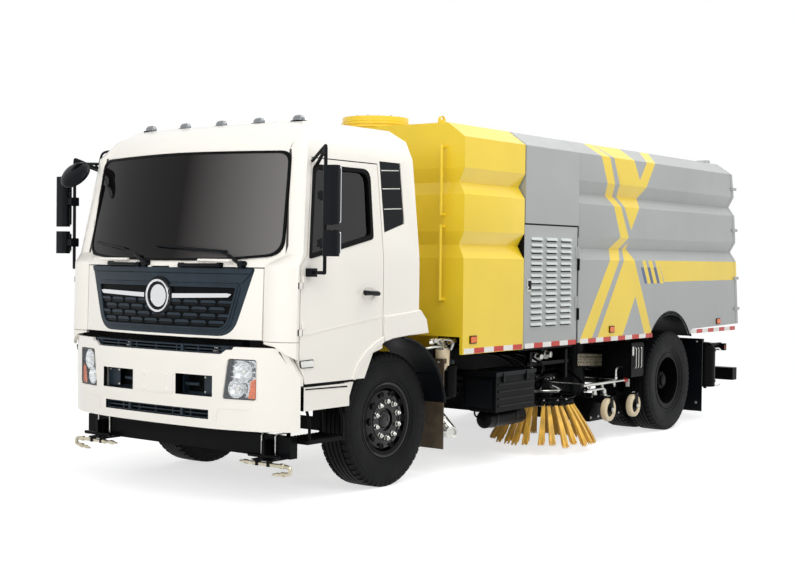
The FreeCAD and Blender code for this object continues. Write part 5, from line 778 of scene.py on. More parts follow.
# the camera as solved from the photograph: its place, its turns in radians, its lens in mm
EYE = at(8.06, 7.277, 1.781)
TURN_SIDE, TURN_UP, ROLL = -2.493, -0.021, 0.012
FOCAL_LENGTH, SENSOR_WIDTH = 59.28, 36.0

# lamps: name, place, size and power
LAMPS = (("key", (6.5, 9.0, 8.5), 7.0, 460), ("front", (12.0, 1.0, 4.5), 7.0, 400),
         ("over", (-2.0, 3.0, 11.0), 8.0, 780), ("back", (-12.0, -7.0, 6.0), 6.0, 380))
LIT_POINT = Vector((0, 0, 1.4))
SKY_TONE, SKY_LEVEL = (0.96, 0.98, 1.0, 1), 0.40
FLOOR_HALF, FLOOR_DARK, FLOOR_LIGHT = 60, (0.58, 0.58, 0.58, 1), (0.62, 0.62, 0.62, 1)
# how much brighter the floor looks than it is lit, and where it starts and ends to fade out
FLOOR_LIFT, FADE_START, FADE_END = 0.66, 4.5, 9.0


def make_stage():
    """The camera, the soft lamps, the plain white background and the pale floor."""
    ahead = Vector((math.cos(TURN_UP) * math.cos(TURN_SIDE),
                    math.cos(TURN_UP) * math.sin(TURN_SIDE), math.sin(TURN_UP)))
    right = ahead.cross(Vector((0, 0, 1))).normalized()
    up = right.cross(ahead)
    tilted = right * math.cos(ROLL) + up * math.sin(ROLL)
    upward = up * math.cos(ROLL) - right * math.sin(ROLL)
    lens = bpy.data.cameras.new("view")
    lens.sensor_width = SENSOR_WIDTH
    lens.lens = FOCAL_LENGTH
    lens.clip_end = 200
    camera = bpy.data.objects.new("view", lens)
    grid = Matrix((tilted, upward, -ahead)).transposed().to_4x4()
    camera.matrix_world = Matrix.Translation(EYE) @ grid
    bpy.context.scene.collection.objects.link(camera)
    bpy.context.scene.camera = camera
    world = bpy.data.worlds.new("studio")
    bpy.context.scene.world = world
    world.use_nodes = True
    tree = world.node_tree
    plain = tree.nodes["Background"]
    plain.inputs[0].default_value = SKY_TONE
    plain.inputs[1].default_value = SKY_LEVEL
    seen = wired(tree, "ShaderNodeBackground", (1, 1, 1, 1), 1.0)
    sky = wired(tree, "ShaderNodeMixShader", seen_rays(tree), plain.outputs[0], seen)
    tree.links.new(sky, tree.nodes["World Output"].inputs[0])
    for name, place, size, power in LAMPS:
        lamp = bpy.data.lights.new(name, "AREA")
        lamp.size = size
        lamp.energy = power
        item = bpy.data.objects.new(name, lamp)
        item.visible_glossy = name != "front"
        item.location = place
        aim = (LIT_POINT - item.location).to_track_quat("-Z", "Y")
        item.rotation_euler = aim.to_euler()
        bpy.context.scene.collection.objects.link(item)
    bm = loose()
    bmesh.ops.create_grid(bm, x_segments=1, y_segments=1, size=FLOOR_HALF)
    mesh = bpy.data.meshes.new("floor")
    bm.to_mesh(mesh)
    bm.free()
    floor = bpy.data.objects.new("floor", mesh)
    bpy.context.scene.collection.objects.link(floor)
    pale = bpy.data.materials.new("pale_floor")
    pale.use_nodes = True
    tree = pale.node_tree
    shader = tree.nodes["Principled BSDF"]
    shader.inputs["Roughness"].default_value = 0.9
    place = tree.nodes.new("ShaderNodeTexCoord").outputs["Object"]
    speckle = mixed(tree, FLOOR_DARK, FLOOR_LIGHT, noise(tree, place, 3.0))
    tree.links.new(speckle, shader.inputs["Base Color"])
    shader.inputs["Specular IOR Level"].default_value = 0.1
    glow = wired(tree, "ShaderNodeMath", seen_rays(tree), FLOOR_LIFT, operation="MULTIPLY")
    lift = wired(tree, "ShaderNodeEmission", None, glow)
    lit = wired(tree, "ShaderNodeAddShader", shader.outputs[0], lift)
    # far from the truck the floor runs out into the plain background
    reach = tree.nodes.new("ShaderNodeVectorMath")
    reach.operation = "LENGTH"
    tree.links.new(place, reach.inputs[0])
    fade = wired(tree, "ShaderNodeMixShader",
                 ranged(tree, reach.outputs[1], FADE_START, FADE_END, 0.0, 1.0), lit,
                 wired(tree, "ShaderNodeEmission"))
    tree.links.new(fade, tree.nodes["Material Output"].inputs[0])
    mesh.materials.append(pale)


make_stage()


# ---- wheels

TYRE_RADIUS = 0.525
WHEELBASE = 4.7
FRONT_SIDE, REAR_INNER, REAR_OUTER = 0.95, 0.75, 1.086
TREAD_LUGS, WHEEL_NUTS = 54, 10
BEAD = [(0.107, 0.272), (0.118, 0.276), (0.1225, 0.284), (0.1215, 0.292), (0.114, 0.293),
        (0.108, 0.286)]


def tyre_profile():
    """One half of the tyre's section from the bead out to the middle of the tread."""
    return [(0.100, 0.262), (0.112, 0.280), (0.118, 0.300), (0.1235, 0.303), (0.1265, 0.312),
            (0.126, 0.330), (0.131, 0.333), (0.1335, 0.338), (0.1345, 0.372), (0.1380, 0.400),
            (0.1388, 0.425), (0.1375, 0.448), (0.1375, 0.455), (0.1340, 0.459), (0.1330, 0.474),
            (0.1325, 0.486), (0.1230, 0.506), (0.1180, 0.5130), (0.0880, 0.5170),
            (0.0860, 0.5030), (0.0780, 0.5030), (0.0760, 0.5235), (0.0460, 0.5245),
            (0.0440, 0.5060), (0.0360, 0.5060), (0.0340, 0.5248), (0.0060, 0.5249),
            (0.0045, 0.5070), (0.0, 0.5070)]


def tyre(middle, side):
    """A tyre with its grooves and its shoulder lugs."""
    bm = loose()
    half = tyre_profile()
    whole = [(a, r) for a, r in half] + [(-a, r) for a, r in reversed(half[:-1])]
    lathe(bm, middle, (0, side, 0), whole, 96)
    lugs = []
    for hand in (1, -1):
        lug = loose()
        arc = math.radians(2.25)
        outline = [(0.089, 0.505), (0.089, 0.5240), (0.117, 0.5225), (0.1245, 0.5150),
                   (0.1340, 0.488), (0.1335, 0.478), (0.118, 0.490)]
        rings = []
        for turn in (-arc, arc):
            rings.append([lug.verts.new((math.sin(turn) * r, hand * a, math.cos(turn) * r))
                          for a, r in outline])
        for ring in rings:
            lug.faces.new(ring)
        count = len(outline)
        for i in range(count):
            j = (i + 1) % count
            lug.faces.new([rings[0][i], rings[0][j], rings[1][j], rings[1][i]])
        lugs.append(copied(lug, RUBBER, TREAD_LUGS, middle, axis=(0, 1, 0),
                           turn=math.tau / TREAD_LUGS, first=0.03 * hand))
    return joined(bm, *lugs)


def wheel_nuts(face, side):
    """Nuts and stud ends on a circle on the disc."""
    nut = loose()
    lathe(nut, Vector((0, 0, 0.143)), (0, side, 0),
          [(0, 0), (0, 0.0235), (0.004, 0.0235), (0.004, 0.019), (0.026, 0.019), (0.030, 0.015),
           (0.030, 0.0105), (0.038, 0.0105), (0.040, 0.008), (0.040, 0)], 6)
    return copied(nut, STEEL, WHEEL_NUTS, face, axis=(0, 1, 0), turn=math.tau / WHEEL_NUTS)


def make_wheels():
    """Tyres, wheel nuts, bead rings and hubs of the four wheels."""
    for side, hand in SIDES:
        body = hand + "_front_wheel"
        middle = at(0, FRONT_SIDE * side, TYRE_RADIUS)
        piece("tyre_front_" + hand, tyre(middle, side), RUBBER, body,
              ("front_tyre_" + hand,))
        wear("front_rim_" + hand, BLACK)
        disc = middle + Vector((0, 0.119 * side, 0))
        piece("nuts_front_" + hand, wheel_nuts(disc, side), STEEL, body,
              sharp=25)
        bm = loose()
        out = Vector((0, side, 0))
        lathe(bm, middle, out, BEAD, 72, closed=True)
        lathe(bm, disc, out, [(0.0, 0.172), (0.006, 0.170), (0.009, 0.165), (0.006, 0.160),
                              (0.0, 0.158)], 64, closed=True)
        lathe(bm, middle, out, [(0.094, 0), (0.094, 0.088), (0.099, 0.086), (0.101, 0.068),
                                (0.112, 0.062), (0.118, 0.052), (0.119, 0.030), (0.1135, 0.024),
                                (0.1135, 0)], 48)
        lathe(bm, middle, out, [(0.070, 0.262), (0.092, 0.243), (0.112, 0.214), (0.120, 0.190),
                                (0.121, 0.152), (0.115, 0.146), (0.115, 0.088), (0.094, 0.088),
                                (0.094, 0.150), (0.100, 0.170), (0.060, 0.245)], 64, 0, True)
        tube(bm, [disc + Vector((0.19, 0, -0.13)), disc + Vector((0.20, 0.03 * side, -0.14)),
                  disc + Vector((0.206, 0.05 * side, -0.147))], 0.006, 8, corner=0.02)
        hole = loose()
        for near, far, mat in ((0.0, 0.0225, 1), (0.0225, 0.029, 0)):
            lathe(hole, Vector((0, 0.0035 * side, 0.205)), (0, 1, -0.32 * side),
                  [(0.0, near), (0.0015 if mat else 0.005, near), (0.0015 if mat else 0.005, far),
                   (-0.004, far)], 24, mat)
        holes = copied(hole, GLOSS, WHEEL_NUTS, disc, axis=(0, 1, 0),
                       turn=math.tau / WHEEL_NUTS, first=math.tau / (WHEEL_NUTS * 2))
        piece("hub_front_" + hand, joined(bm, holes), [GLOSS, SEAL], body)
        body = hand + "_rear_wheels"
        inner = at(-WHEELBASE, REAR_INNER * side, TYRE_RADIUS)
        outer = at(-WHEELBASE, REAR_OUTER * side, TYRE_RADIUS)
        piece("tyres_rear_" + hand, joined(tyre(inner, side), tyre(outer, side)), RUBBER, body,
              ("rear_tyres_" + hand,))
        wear("rear_rims_" + hand, BLACK)
        disc = outer + Vector((0, -0.084 * side, 0))
        piece("nuts_rear_" + hand, wheel_nuts(disc, side), STEEL, body, sharp=25)
        bm = loose()
        lathe(bm, outer, out, BEAD, 72, closed=True)
        lathe(bm, outer, out, [(0.047, 0), (0.047, 0.088), (0.052, 0.084), (0.056, 0.06),
                               (0.072, 0.056), (0.076, 0.048), (0.076, 0)], 48)
        bolts = loose()
        bolt(bolts, Vector((0, 0.052 * side, 0.072)), (0, side, 0), 0.007, 0.008)
        piece("hub_rear_" + hand, joined(bm, copied(bolts, STEEL, 8, outer, axis=(0, 1, 0),
                                                    turn=math.tau / 8)),
              BLACK, body)


make_wheels()


# ---- the two tanks and the engine bay

BODY_SIDE = 1.25
TANK_REAR = -1.715


def stripe_areas():
    """The painted stripes on the side, as (outline, material number) in x and z."""
    top, roof = 2.785, 2.910
    areas = [
        # the slanting band, the fork above it and the fork below
        ([(-3.098, top), (-3.225, 2.530), (-3.365, 2.310), (-3.505, 2.020), (-3.404, 1.910),
          (-3.301, 1.795), (-2.697, 1.0), (-2.925, 1.0), (-3.491, 1.790), (-3.604, 1.906),
          (-3.677, 2.018), (-3.515, 2.306), (-3.380, 2.527), (-3.270, top)], 1),
        ([(-3.350, top), (-3.778, top), (-3.904, 2.594), (-4.051, top), (-4.240, top),
          (-4.046, 2.522), (-3.894, 2.311), (-3.730, 2.090), (-3.584, 2.306), (-3.480, 2.519)], 1),
        ([(-3.714, 1.965), (-3.587, 1.790), (-3.032, 1.0), (-3.547, 1.0), (-3.844, 1.431),
          (-4.083, 1.0), (-4.249, 1.0), (-3.812, 1.792)], 1),
        # where they run on over the slope of the roof
        ([(-3.098, top), (-3.270, top), (-3.212, roof), (-3.042, roof)], 1),
        ([(-3.350, top), (-3.778, top), (-3.780, roof), (-3.240, roof)], 1),
        ([(-4.051, top), (-4.240, top), (-4.430, roof), (-4.230, roof)], 1),
        # the long band to the rear
        ([(-4.355, 1.790), (-4.495, 1.571), (-6.500, 1.583), (-6.500, 1.790)], 1),
    ]
    for low, high in ((-4.057, -3.984), (-4.205, -4.116), (-4.355, -4.271)):
        areas.append(([(low, 1.790), (high, 1.790), (high - 0.129, 1.556),
                       (low - 0.129, 1.556)], 1))
    for front, width in ((-3.952, 0.064), (-4.095, 0.068), (-4.237, 0.060)):
        areas.append(([(front, 1.720), (front - width, 1.722), (front - width - 0.090, 1.557),
                       (front - 0.094, 1.556)], 2))
    return areas


ARCH_MIDDLE, ARCH_LEVEL, ARCH_RADIUS = -4.65, 0.680, 0.582


# the louvres on an engine door: rows of three, each with a black strip of painted shade under its
# hood
LOUVRE_ROWS, LOUVRE_COLUMNS = 15, 3


def make_bodies():
    """The folded tanks with their stripes, the bay's doors and what they carry."""
    dressed("water_tank", "chassis", [YELLOW], bevel=0.004, sharp=12)
    areas = [(look, outline, mat, 0.3) for outline, mat in stripe_areas()
             for look in ("left", "right")]
    for node in ("debris_tank", "tank_nose"):
        dressed(node, "waste_tank", [GREY, YELLOW, BLUE], None, areas, 0.003, 12)
    dressed("tailgate", "rear_gate", [GREY, YELLOW, BLUE], None,
            [a for a in areas if min(p[0] for p in a[1]) < -6.3], 0.004, 12)

    def louvre_light_and_shade(middle, normal):
        """Painted light and shade on the louvres of the grey doors: the hoods are painted a paler
        grey as a painted highlight, and their down-turned and sunken faces black as painted shade.
        """
        face = abs(middle.y) - BODY_SIDE
        if not (1.19 < middle.z < 2.03 and -2.56 < middle.x < -1.80) or \
                face < 0.001 and normal.z * normal.z < 0.2:
            return 0
        return 2 if normal.z < -0.4 or face < -0.0005 else 1

    for side, hand in SIDES:
        dressed("engine_door_" + hand, hand + "_engine_door", [GREY, LOUVRE_HIGHLIGHT, SEAL],
                louvre_light_and_shade, bevel=0.0015, sharp=20)
        # a thin black strip under each hood: painted shade below the louvre
        shade_strip = loose()
        box_at_origin(shade_strip, 0.168, 0.0016, 0.010)
        shade_strips = copied(shade_strip, SEAL, LOUVRE_ROWS * LOUVRE_COLUMNS,
                       at(-2.440, side * BODY_SIDE, 1.194), (0.258, 0, 0), LOUVRE_COLUMNS,
                       (0, 0, 0.054))
        piece("louvre_shade_strips_" + hand, shade_strips, SEAL, hand + "_engine_door")
    wear("bay_frame", BLACK)
    wear("auxiliary_engine", IRON)
    dressed("hatch_lid", "manhole_lid", [YELLOW], bevel=0.005)
    make_arches(areas)


def make_arches(areas):
    """The tank side's round edge over the rear wheel, with its black lip."""
    corners = [(-4.163, 0.998), (-4.163, 1.142), (-4.283, 1.265), (-5.077, 1.265), (-5.197, 1.142),
               (-5.197, 0.998)]
    count = 40
    first = math.asin((1.0 - ARCH_LEVEL) / ARCH_RADIUS)
    near, far = [], []
    for k in range(count + 1):
        turn = first + (math.pi - first * 2) * k / count
        way = Vector((math.cos(turn), math.sin(turn)))
        middle = Vector((ARCH_MIDDLE, ARCH_LEVEL))
        near.append(middle + way * ARCH_RADIUS)
        reach = ARCH_RADIUS
        for a, b in zip(corners, corners[1:]):
            along = Vector(b) - Vector(a)
            start = Vector(a) - middle
            cross = way.x * along.y - way.y * along.x
            if abs(cross) > 1e-9:
                share = (start.x * way.y - start.y * way.x) / cross
                spot = start + along * share
                if -1e-3 <= share <= 1.001 and spot.dot(way) > 0:
                    reach = max(reach, spot.length)
        far.append(middle + way * (reach + 0.003))
    for side, hand in SIDES:
        flat = BVHTree.FromPolygons([Vector((x, side * BODY_SIDE, z)) for x, z in
                                     ((-6, 0), (6, 0), (6, 4), (-6, 4))], [[0, 1, 2, 3]])
        bm = loose()
        lay(bm, flat, side_look(side), [[tuple(near[k]), tuple(near[k + 1]), tuple(far[k + 1]),
                                         tuple(far[k])] for k in range(count)], 0.0012, 0.024)
        bmesh.ops.recalc_face_normals(bm, faces=bm.faces)
        paint_areas(bm, areas)
        piece("arch_edge_" + hand, bm, [GREY, YELLOW, BLUE], "waste_tank")
        bm = loose()
        tube(bm, [at(p.x, side * (BODY_SIDE - 0.006), p.y) for p in near], 0.009, 8)
        piece("arch_lip_" + hand, bm, PLASTIC, "waste_tank")


def side_look(side):
    return "left" if side > 0 else "right"


def make_tape():
    """Red and white reflecting tape along the lower edges of both tanks."""
    length, height, z = 0.15, 0.044, 1.026
    for side, hand in SIDES:
        for body, first, last in (("chassis", -0.80, -1.705),
                                  (hand + "_engine_door", -1.75, -2.652),
                                  ("waste_tank", -2.733, -4.24), ("waste_tank", -5.16, -6.37)):
            count = int((first - last) / (length * 2))
            parts = []
            for mat, shift in ((TAPE, 0.0), (RED, length)):
                unit = loose()
                box_at_origin(unit, length * 0.985, 0.0022, height)
                parts.append(copied(unit, mat, count, at(first - length / 2 - shift,
                                                         side * (BODY_SIDE + 0.0006), z),
                                    (-length * 2, 0, 0)))
            piece("tape_%s_%s" % (hand, abs(int(first * 100))), joined((parts[0], 1), (parts[1],
                                                                                       0)), [RED,
                                                                                             TAPE],
                  body)
    for side, hand in SIDES:
        for body, spots in (("chassis", (-0.93,)), ("waste_tank", (-3.345, -5.875))):
            bm = loose()
            for x in spots:
                z0 = 1.118
                slab(bm, "xz", rounded(rect(x - 0.052, x + 0.052, z0 - 0.033, z0 + 0.033), 0.008),
                     side * BODY_SIDE, side * (BODY_SIDE + 0.008), 1)
                slab(bm, "xz", rounded(rect(x - 0.044, x + 0.044, z0 - 0.025, z0 + 0.025), 0.008),
                     side * BODY_SIDE, side * (BODY_SIDE + 0.016), 0)
            piece("marker_%s_%s" % (hand, body), bm, [AMBER, PLASTIC], body,
                  bevel=0.002)


def make_tank_fittings():
    """The hatch's bolts and collars, and the seals and latches of the bay's doors."""
    bolts = loose()
    bolt(bolts, Vector((0.268, 0, 0)), (0, 0, 1), 0.010, 0.010)
    ring = copied(bolts, STEEL, 16, at(-1.19, 0, 3.030), turn=math.tau / 16)
    piece("hatch_bolts", ring, STEEL, "manhole_lid", sharp=25)
    bm = loose()
    collar(bm, at(-1.19, 0, 2.930), (0, 0, 1), 0.298, 0.33, 0.012, 48)
    collar(bm, at(-1.19, 0, 2.962), (0, 0, 1), 0.299, 0.312, 0.018, 48)
    for side in LEFT_RIGHT:
        tube(bm, [at(-0.86, 0.962 * side, 2.94), at(-0.86, 0.962 * side, 2.90)], 0.018, 10)
    piece("hatch_collar", bm, YELLOW, "chassis")
    for side, hand in SIDES:
        bm = loose()
        for x in (TANK_REAR - 0.001, -2.662):
            slab(bm, "xz", rect(x - 0.007, x + 0.007, 2.092, 1.02), side * (BODY_SIDE - 0.05),
                 side * (BODY_SIDE - 0.004))
        slab(bm, "xz", rect(-2.665, TANK_REAR, 2.090, 2.104), side * (BODY_SIDE - 0.06),
             side * (BODY_SIDE - 0.004))
        piece("bay_seal_" + hand, bm, SEAL, "chassis")
        bm = loose()
        latch = at(-1.80, side * BODY_SIDE, 1.56)
        slab(bm, "xz", rounded(rect(-1.835, -1.765, 1.505, 1.615), 0.012), side * BODY_SIDE,
             side * (BODY_SIDE + 0.006), 0)
        slab(bm, "xz", rounded(rect(-1.822, -1.790, 1.520, 1.600), 0.010), side * BODY_SIDE,
             side * (BODY_SIDE + 0.014), 1)
        drum(bm, latch + Vector((0.018, 0, -0.02)), latch + Vector((0.018, 0.012 * side, -0.02)),
             0.009, 16, 0)
        piece("latch_" + hand, bm, [STEEL, PLASTIC], hand + "_engine_door",
              bevel=0.0015)


make_bodies()
make_tape()
make_tank_fittings()


# ---- cab

DOOR_TREE = {1: surface_of("cab_shell", "door_left"), -1: surface_of("cab_shell", "door_right")}


def cab_paint(middle, normal):
    """White outside, black for the door rods and quarter recesses, trim inside."""
    x, y, z = middle
    if x > 1.20 and 1.70 < z < 1.79:
        return 0
    if -0.08 < x < 0.195 and 1.97 < z < 2.525 and abs(y) > 1.05 and abs(normal.y) > 0.6 \
            and inside((x, z), [(-0.075, 2.05), (0.19, 1.975), (0.19, 2.52), (-0.075, 2.52)]):
        return 1
    inward = (abs(y) < 1.135 and normal.y * y < -0.05 and z > 1.2 or
              normal.x > 0.5 and x < 0.0 and abs(y) < 1.1 and z > 1.2 or
              normal.z > 0.5 and z < 1.8 or normal.z < -0.5 and 2.3 < z)
    if inward and x < 1.14:
        return 2
    if z < 1.2 and normal.z < -0.5 or x > 1.1 and z < 1.71 and normal.x > 0.5 and x < 1.2:
        return 3
    return 0


def door_paint(middle, normal):
    """White outside, black for the handle, trim inside below the window."""
    x, y, z = middle
    if abs(y) > 1.215 and 1.48 < z < 1.55:
        return 1
    if 1.2 < abs(y) and x > 1.11:
        return 0
    return 2 if abs(y) < 1.165 and normal.y * y < -0.5 and z < 1.9 else 0


def make_cab():
    """The cab's shell and its two doors."""
    dressed("cab_shell", "cab", [WHITE, PLASTIC, INSIDE, BLACK], cab_paint,
            bevel=0.004)
    wear("cab_interior", INSIDE)
    for hand in ("left", "right"):
        dressed("door_" + hand, hand + "_door", [WHITE, PLASTIC, INSIDE],
                door_paint, bevel=0.003)


def screen_shape(grow=0.0):
    """The windscreen's outline as seen from the front, drawn out by grow."""
    low, high, wide = 1.757 - grow, 2.545 + grow, grow
    return rounded([(-1.03 - wide, low + 0.045), (-0.6, low + 0.008), (0.0, low),
                    (0.6, low + 0.008), (1.03 + wide, low + 0.045), (0.99 + wide, high - 0.012),
                    (0.0, high), (-0.99 - wide, high - 0.012)],
                   [0.12, 0.1, 0.1, 0.1, 0.12, 0.08, 0.2, 0.08], 6)


def make_screen():
    """The windscreen, its rubber, the wipers and the two grab bars under it."""
    bm = loose()
    lay_front(bm, CAB_SHEET, [screen_shape()], 0.008, -0.003, 0, 0.12)
    piece("screen", bm, SCREEN, "cab", ("windscreen",), sharp=60)
    bm = loose()
    lay_front(bm, CAB_SHEET, hoop(screen_shape(0.012), screen_shape(-0.006)), 0.013, 0.002, 0,
        0.1)
    sill = [p for p in screen_shape(-0.002) if p[1] < 1.85]
    lay_front(bm, CAB_SHEET, [sill], 0.002, 0.001, 0, 0.1)
    piece("screen_rubber", bm, SEAL, "cab", sharp=50)
    bm = loose()
    for pivot, elbow, ends in (((0.775, 1.726), (0.647, 1.789), ((0.547, 1.820), (-0.082, 1.857))),
                               ((-0.145, 1.722), (-0.285, 1.795), ((-0.50, 1.840),
                                                                   (-0.898, 1.883)))):
        def over(spot, lift):
            return landing(CAB_SHEET, "front", *spot) + Vector((lift, 0, 0))

        base = over(pivot, 0.0)
        drum(bm, base + Vector((-0.01, 0, 0)), base + Vector((0.050, 0, 0)), 0.026, 20)
        tube(bm, [over(pivot, 0.040), over(elbow, 0.045)], 0.014, 8)
        tube(bm, [over(elbow, 0.045), over(ends[0], 0.042),
                  over(((ends[0][0] + ends[1][0]) / 2, (ends[0][1] + ends[1][1]) / 2), 0.036)],
             0.007, 8, corner=0.05)
        blade = [over((ends[0][0] + (ends[1][0] - ends[0][0]) * t,
                       ends[0][1] + (ends[1][1] - ends[0][1]) * t), 0.024)
                 for t in (-0.1, 0.2, 0.5, 0.75, 1.0)]
        tube(bm, blade, 0.0095, 6)
    for side in LEFT_RIGHT:
        run = [landing(CAB_SHEET, "front", side * y, z) for y, z in ((0.228, 1.716), (0.586,
                                                                                      1.719))]
        path = [run[0] + Vector((-0.006, 0, 0)), run[0] + Vector((0.040, 0, 0)),
                run[1] + Vector((0.046, 0, 0)), run[1] + Vector((-0.006, 0, 0))]
        tube(bm, path, 0.0125, 10, 0, 0.02)
        for end in run:
            drum(bm, end + Vector((-0.004, 0, 0)), end + Vector((0.044, 0, 0)), 0.018, 14)
    piece("wipers", bm, PLASTIC, "cab")


def make_grille():
    """The dark grille in the front flap: frame, scales, chrome bar and bare badge disc."""
    areas = rounded([(-0.700, 1.208), (0.700, 1.208), (0.872, 1.698), (-0.872, 1.698)],
                    [0.13, 0.13, 0.015, 0.015], 6)

    def flap_paint(middle, normal):
        x, y, z = middle
        if abs(y) < 0.088 and abs(z - 1.486) < 0.09 and x > 1.345:
            return 1
        return 3 if normal.x < -0.3 else 0

    dressed("front_panel", "flap", [WHITE, SATIN, PLASTIC, BLACK], flap_paint,
            [("front", areas, 1, -2.0)], bevel=0.0025)
    whole = BVHTree.FromPolygons(*curtain())
    bm = loose()
    cells = rounded([(-0.655, 1.258), (0.655, 1.258), (0.742, 1.568), (-0.742, 1.568)],
                    [0.08, 0.08, 0.03, 0.03], 5)
    lay_front(bm, whole, [cells], 0.004, 0.008, 1, 0.1)
    lay_front(bm, whole, hoop(inset(cells, -0.020), cells), 0.010, 0.002, 0, 0.1)
    lay_front(bm, whole, hoop(inset(cells, -0.004), inset(cells, 0.010)), 0.020, 0.002, 0, 0.1)
    lay_front(bm, whole, [[(-0.77, 1.590), (0.77, 1.590), (0.835, 1.655), (-0.835, 1.655)]],
        0.010, 0.002, 0, 0.08)
    lay_front(bm, whole, [[(-0.845, 1.660), (0.845, 1.660), (0.858, 1.694), (-0.858, 1.694)]],
        0.016, 0.002, 0, 0.08)
    # staggered scales, each with its lower half in a darker material as painted shade
    inner = inset(cells, 0.016)
    for row in range(4):
        z = 1.444 - 0.049 * row
        for column in range(-5, 6):
            y = column * 0.162 + (0.081 if row % 2 else 0.0)
            scale = [(y - 0.074, z), (y - 0.056, z + 0.020), (y + 0.056, z + 0.020),
                     (y + 0.074, z), (y + 0.056, z - 0.020), (y - 0.056, z - 0.020)]
            if not all(inside(p, inner) for p in scale):
                scale = [(max(min(u, 0.665 + (z - 1.27) * 0.27), -0.665 - (z - 1.27) * 0.27), v)
                         for u, v in scale]
                if max(p[0] for p in scale) - min(p[0] for p in scale) < 0.05 or \
                        not inside((sum(p[0] for p in scale) / 6, z), inner):
                    continue
                if len({tuple(p) for p in scale}) < 6:
                    continue
            upper = [scale[0], scale[1], scale[2], scale[3]]
            lower = [scale[3], scale[4], scale[5], scale[0]]
            lay_front(bm, whole, [upper], 0.015, -0.004, 0)
            lay_front(bm, whole, [lower], 0.009, -0.004, 2)
    piece("grille_frame", bm, [SATIN, SEAL, PLASTIC], "flap", bevel=0.002)
    bm = loose()
    for side in LEFT_RIGHT:
        run = [(0.150 * side, 1.472), (0.150 * side, 1.506), (0.66 * side, 1.518),
               (0.700 * side, 1.512), (0.672 * side, 1.488)]
        lay_front(bm, whole, [run], 0.026, 0.0, 0, 0.08)
    lathe(bm, at(1.392, 0, 1.486), (1, 0, 0),
          [(0.0, 0.104), (0.016, 0.106), (0.022, 0.112), (0.020, 0.122), (0.0, 0.127)], 64,
          0, True)
    lathe(bm, at(1.388, 0, 1.486), (1, 0, 0),
          [(0.0, 0), (0.0, 0.086), (0.010, 0.084), (0.013, 0.074), (0.014, 0.0)], 64)
    lathe(bm, at(1.380, 0, 1.486), (1, 0, 0),
          [(0.0, 0), (0.0, 0.145), (0.012, 0.145), (0.018, 0.138), (0.018, 0.0)], 64, 1)
    piece("grille_chrome", bm, [CHROME, PLASTIC], "flap", bevel=0.002)


def curtain():
    """The flap's outer face without its cells: a bowed sheet for the trim to lie on."""
    verts, faces = [], []
    across, up = 24, 12
    for i in range(across + 1):
        y = -0.94 + 1.88 * i / across
        for k in range(up + 1):
            z = 1.18 + 0.54 * k / up
            share = (z - 0.878) / (1.720 - 0.878)
            front = 1.400 + (1.370 - 1.400) * share
            corner = 1.285 + (1.262 - 1.285) * share
            half = 0.945 + 0.005 * share
            bow = front - corner
            radius = (half * half + bow * bow) / (bow * 2)
            x = front - radius + math.sqrt(radius * radius - y * y)
            verts.append(at(x, y, z))
    for i in range(across):
        for k in range(up):
            a = i * (up + 1) + k
            faces.append([a, a + up + 1, a + up + 2, a + 1])
    return verts, faces


def window_shape(grow):
    """The side window's outline, drawn out by grow."""
    return [(0.350 - grow, 1.945 - grow), (1.060 + grow, 1.792 - grow * 1.2),
            (0.950 + grow, 2.430 + grow), (0.335 - grow, 2.430 + grow)]


def make_doors():
    """Windows, their rubbers, handles and the dark side panels."""
    for side, hand in SIDES:
        look = side_look(side)
        body = hand + "_door"
        sheet = BVHTree.FromPolygons(*side_curtain(side))
        bm = loose()
        corners = [0.03, 0.03, 0.05, 0.09]
        opening = rounded(window_shape(0.002), corners, 5)
        lay(bm, sheet, look, [opening], -0.018, 0.023, 0, 0.12)
        piece("window_" + hand, bm, GLASS, body, sharp=50)
        bm = loose()
        outer = rounded(window_shape(0.020), corners, 5)
        inner = rounded(window_shape(-0.010), corners, 5)
        lay(bm, sheet, look, hoop(outer, inner), 0.005, 0.020, 0, 0.15)
        piece("window_rubber_" + hand, bm, SEAL, body, sharp=50)
        bm = loose()
        bowl = [(0.405 + 0.085 * math.cos(a), 1.512 + 0.058 * math.sin(a))
                for a in (math.tau * k / 28 for k in range(28))]
        lay(bm, sheet, look, hoop(bowl, inset(bowl, 0.007)), 0.003, 0.004)
        lay(bm, sheet, look, strip([(1.115, 1.234), (0.75, 1.280), (0.222, 1.341)], 0.005), 0.003,
            0.003)
        piece("handle_bowl_" + hand, bm, WHITE, body)
        bm = loose()
        tube(bm, [at(0.322, side * 1.236, 1.515), at(0.345, side * 1.240, 1.516),
                  at(0.440, side * 1.243, 1.524), at(0.492, side * 1.236, 1.528)], 0.0165, 12,
             corner=0.02)
        drum(bm, at(0.335, side * 1.19, 1.517), at(0.335, side * 1.243, 1.517), 0.019, 20)
        piece("handle_" + hand, bm, PLASTIC, body)
        # the dark side panel behind the door, with three light rails
        bm = loose()
        panel = rounded([(-0.070, 2.056), (0.186, 1.982), (0.186, 2.514), (-0.070, 2.514)],
                        [0.04, 0.004, 0.004, 0.012], 5)
        lay(bm, DOOR_TREE[side], look, [panel], 0.010, 0.004, 0, 0.1)
        for z in (2.45, 2.31, 2.155):
            run = [(-0.052, z - 0.004 + 0.012), (0.172, z - 0.004), (0.172, z + 0.004),
                   (-0.052, z + 0.004 + 0.012)]
            lay(bm, DOOR_TREE[side], look, [run], 0.013, 0.002, 1)
        piece("quarter_panel_" + hand, bm, [PLASTIC, STEEL], "cab", bevel=0.002)


def side_curtain(side):
    """The plain skin of the door's side above and below the waist."""
    verts, faces = [], []
    levels = ((0.878, 1.200), (1.720, 1.200), (1.800, 1.198), (2.557, 1.120), (2.70, 1.055))
    xs = (-0.3, 0.2, 0.7, 1.25)
    for x in xs:
        for z, y in levels:
            verts.append(at(x, y * side, z))
    rows = len(levels)
    for i in range(len(xs) - 1):
        for k in range(rows - 1):
            a = i * rows + k
            faces.append([a, a + 1, a + rows + 1, a + rows])
    return verts, faces


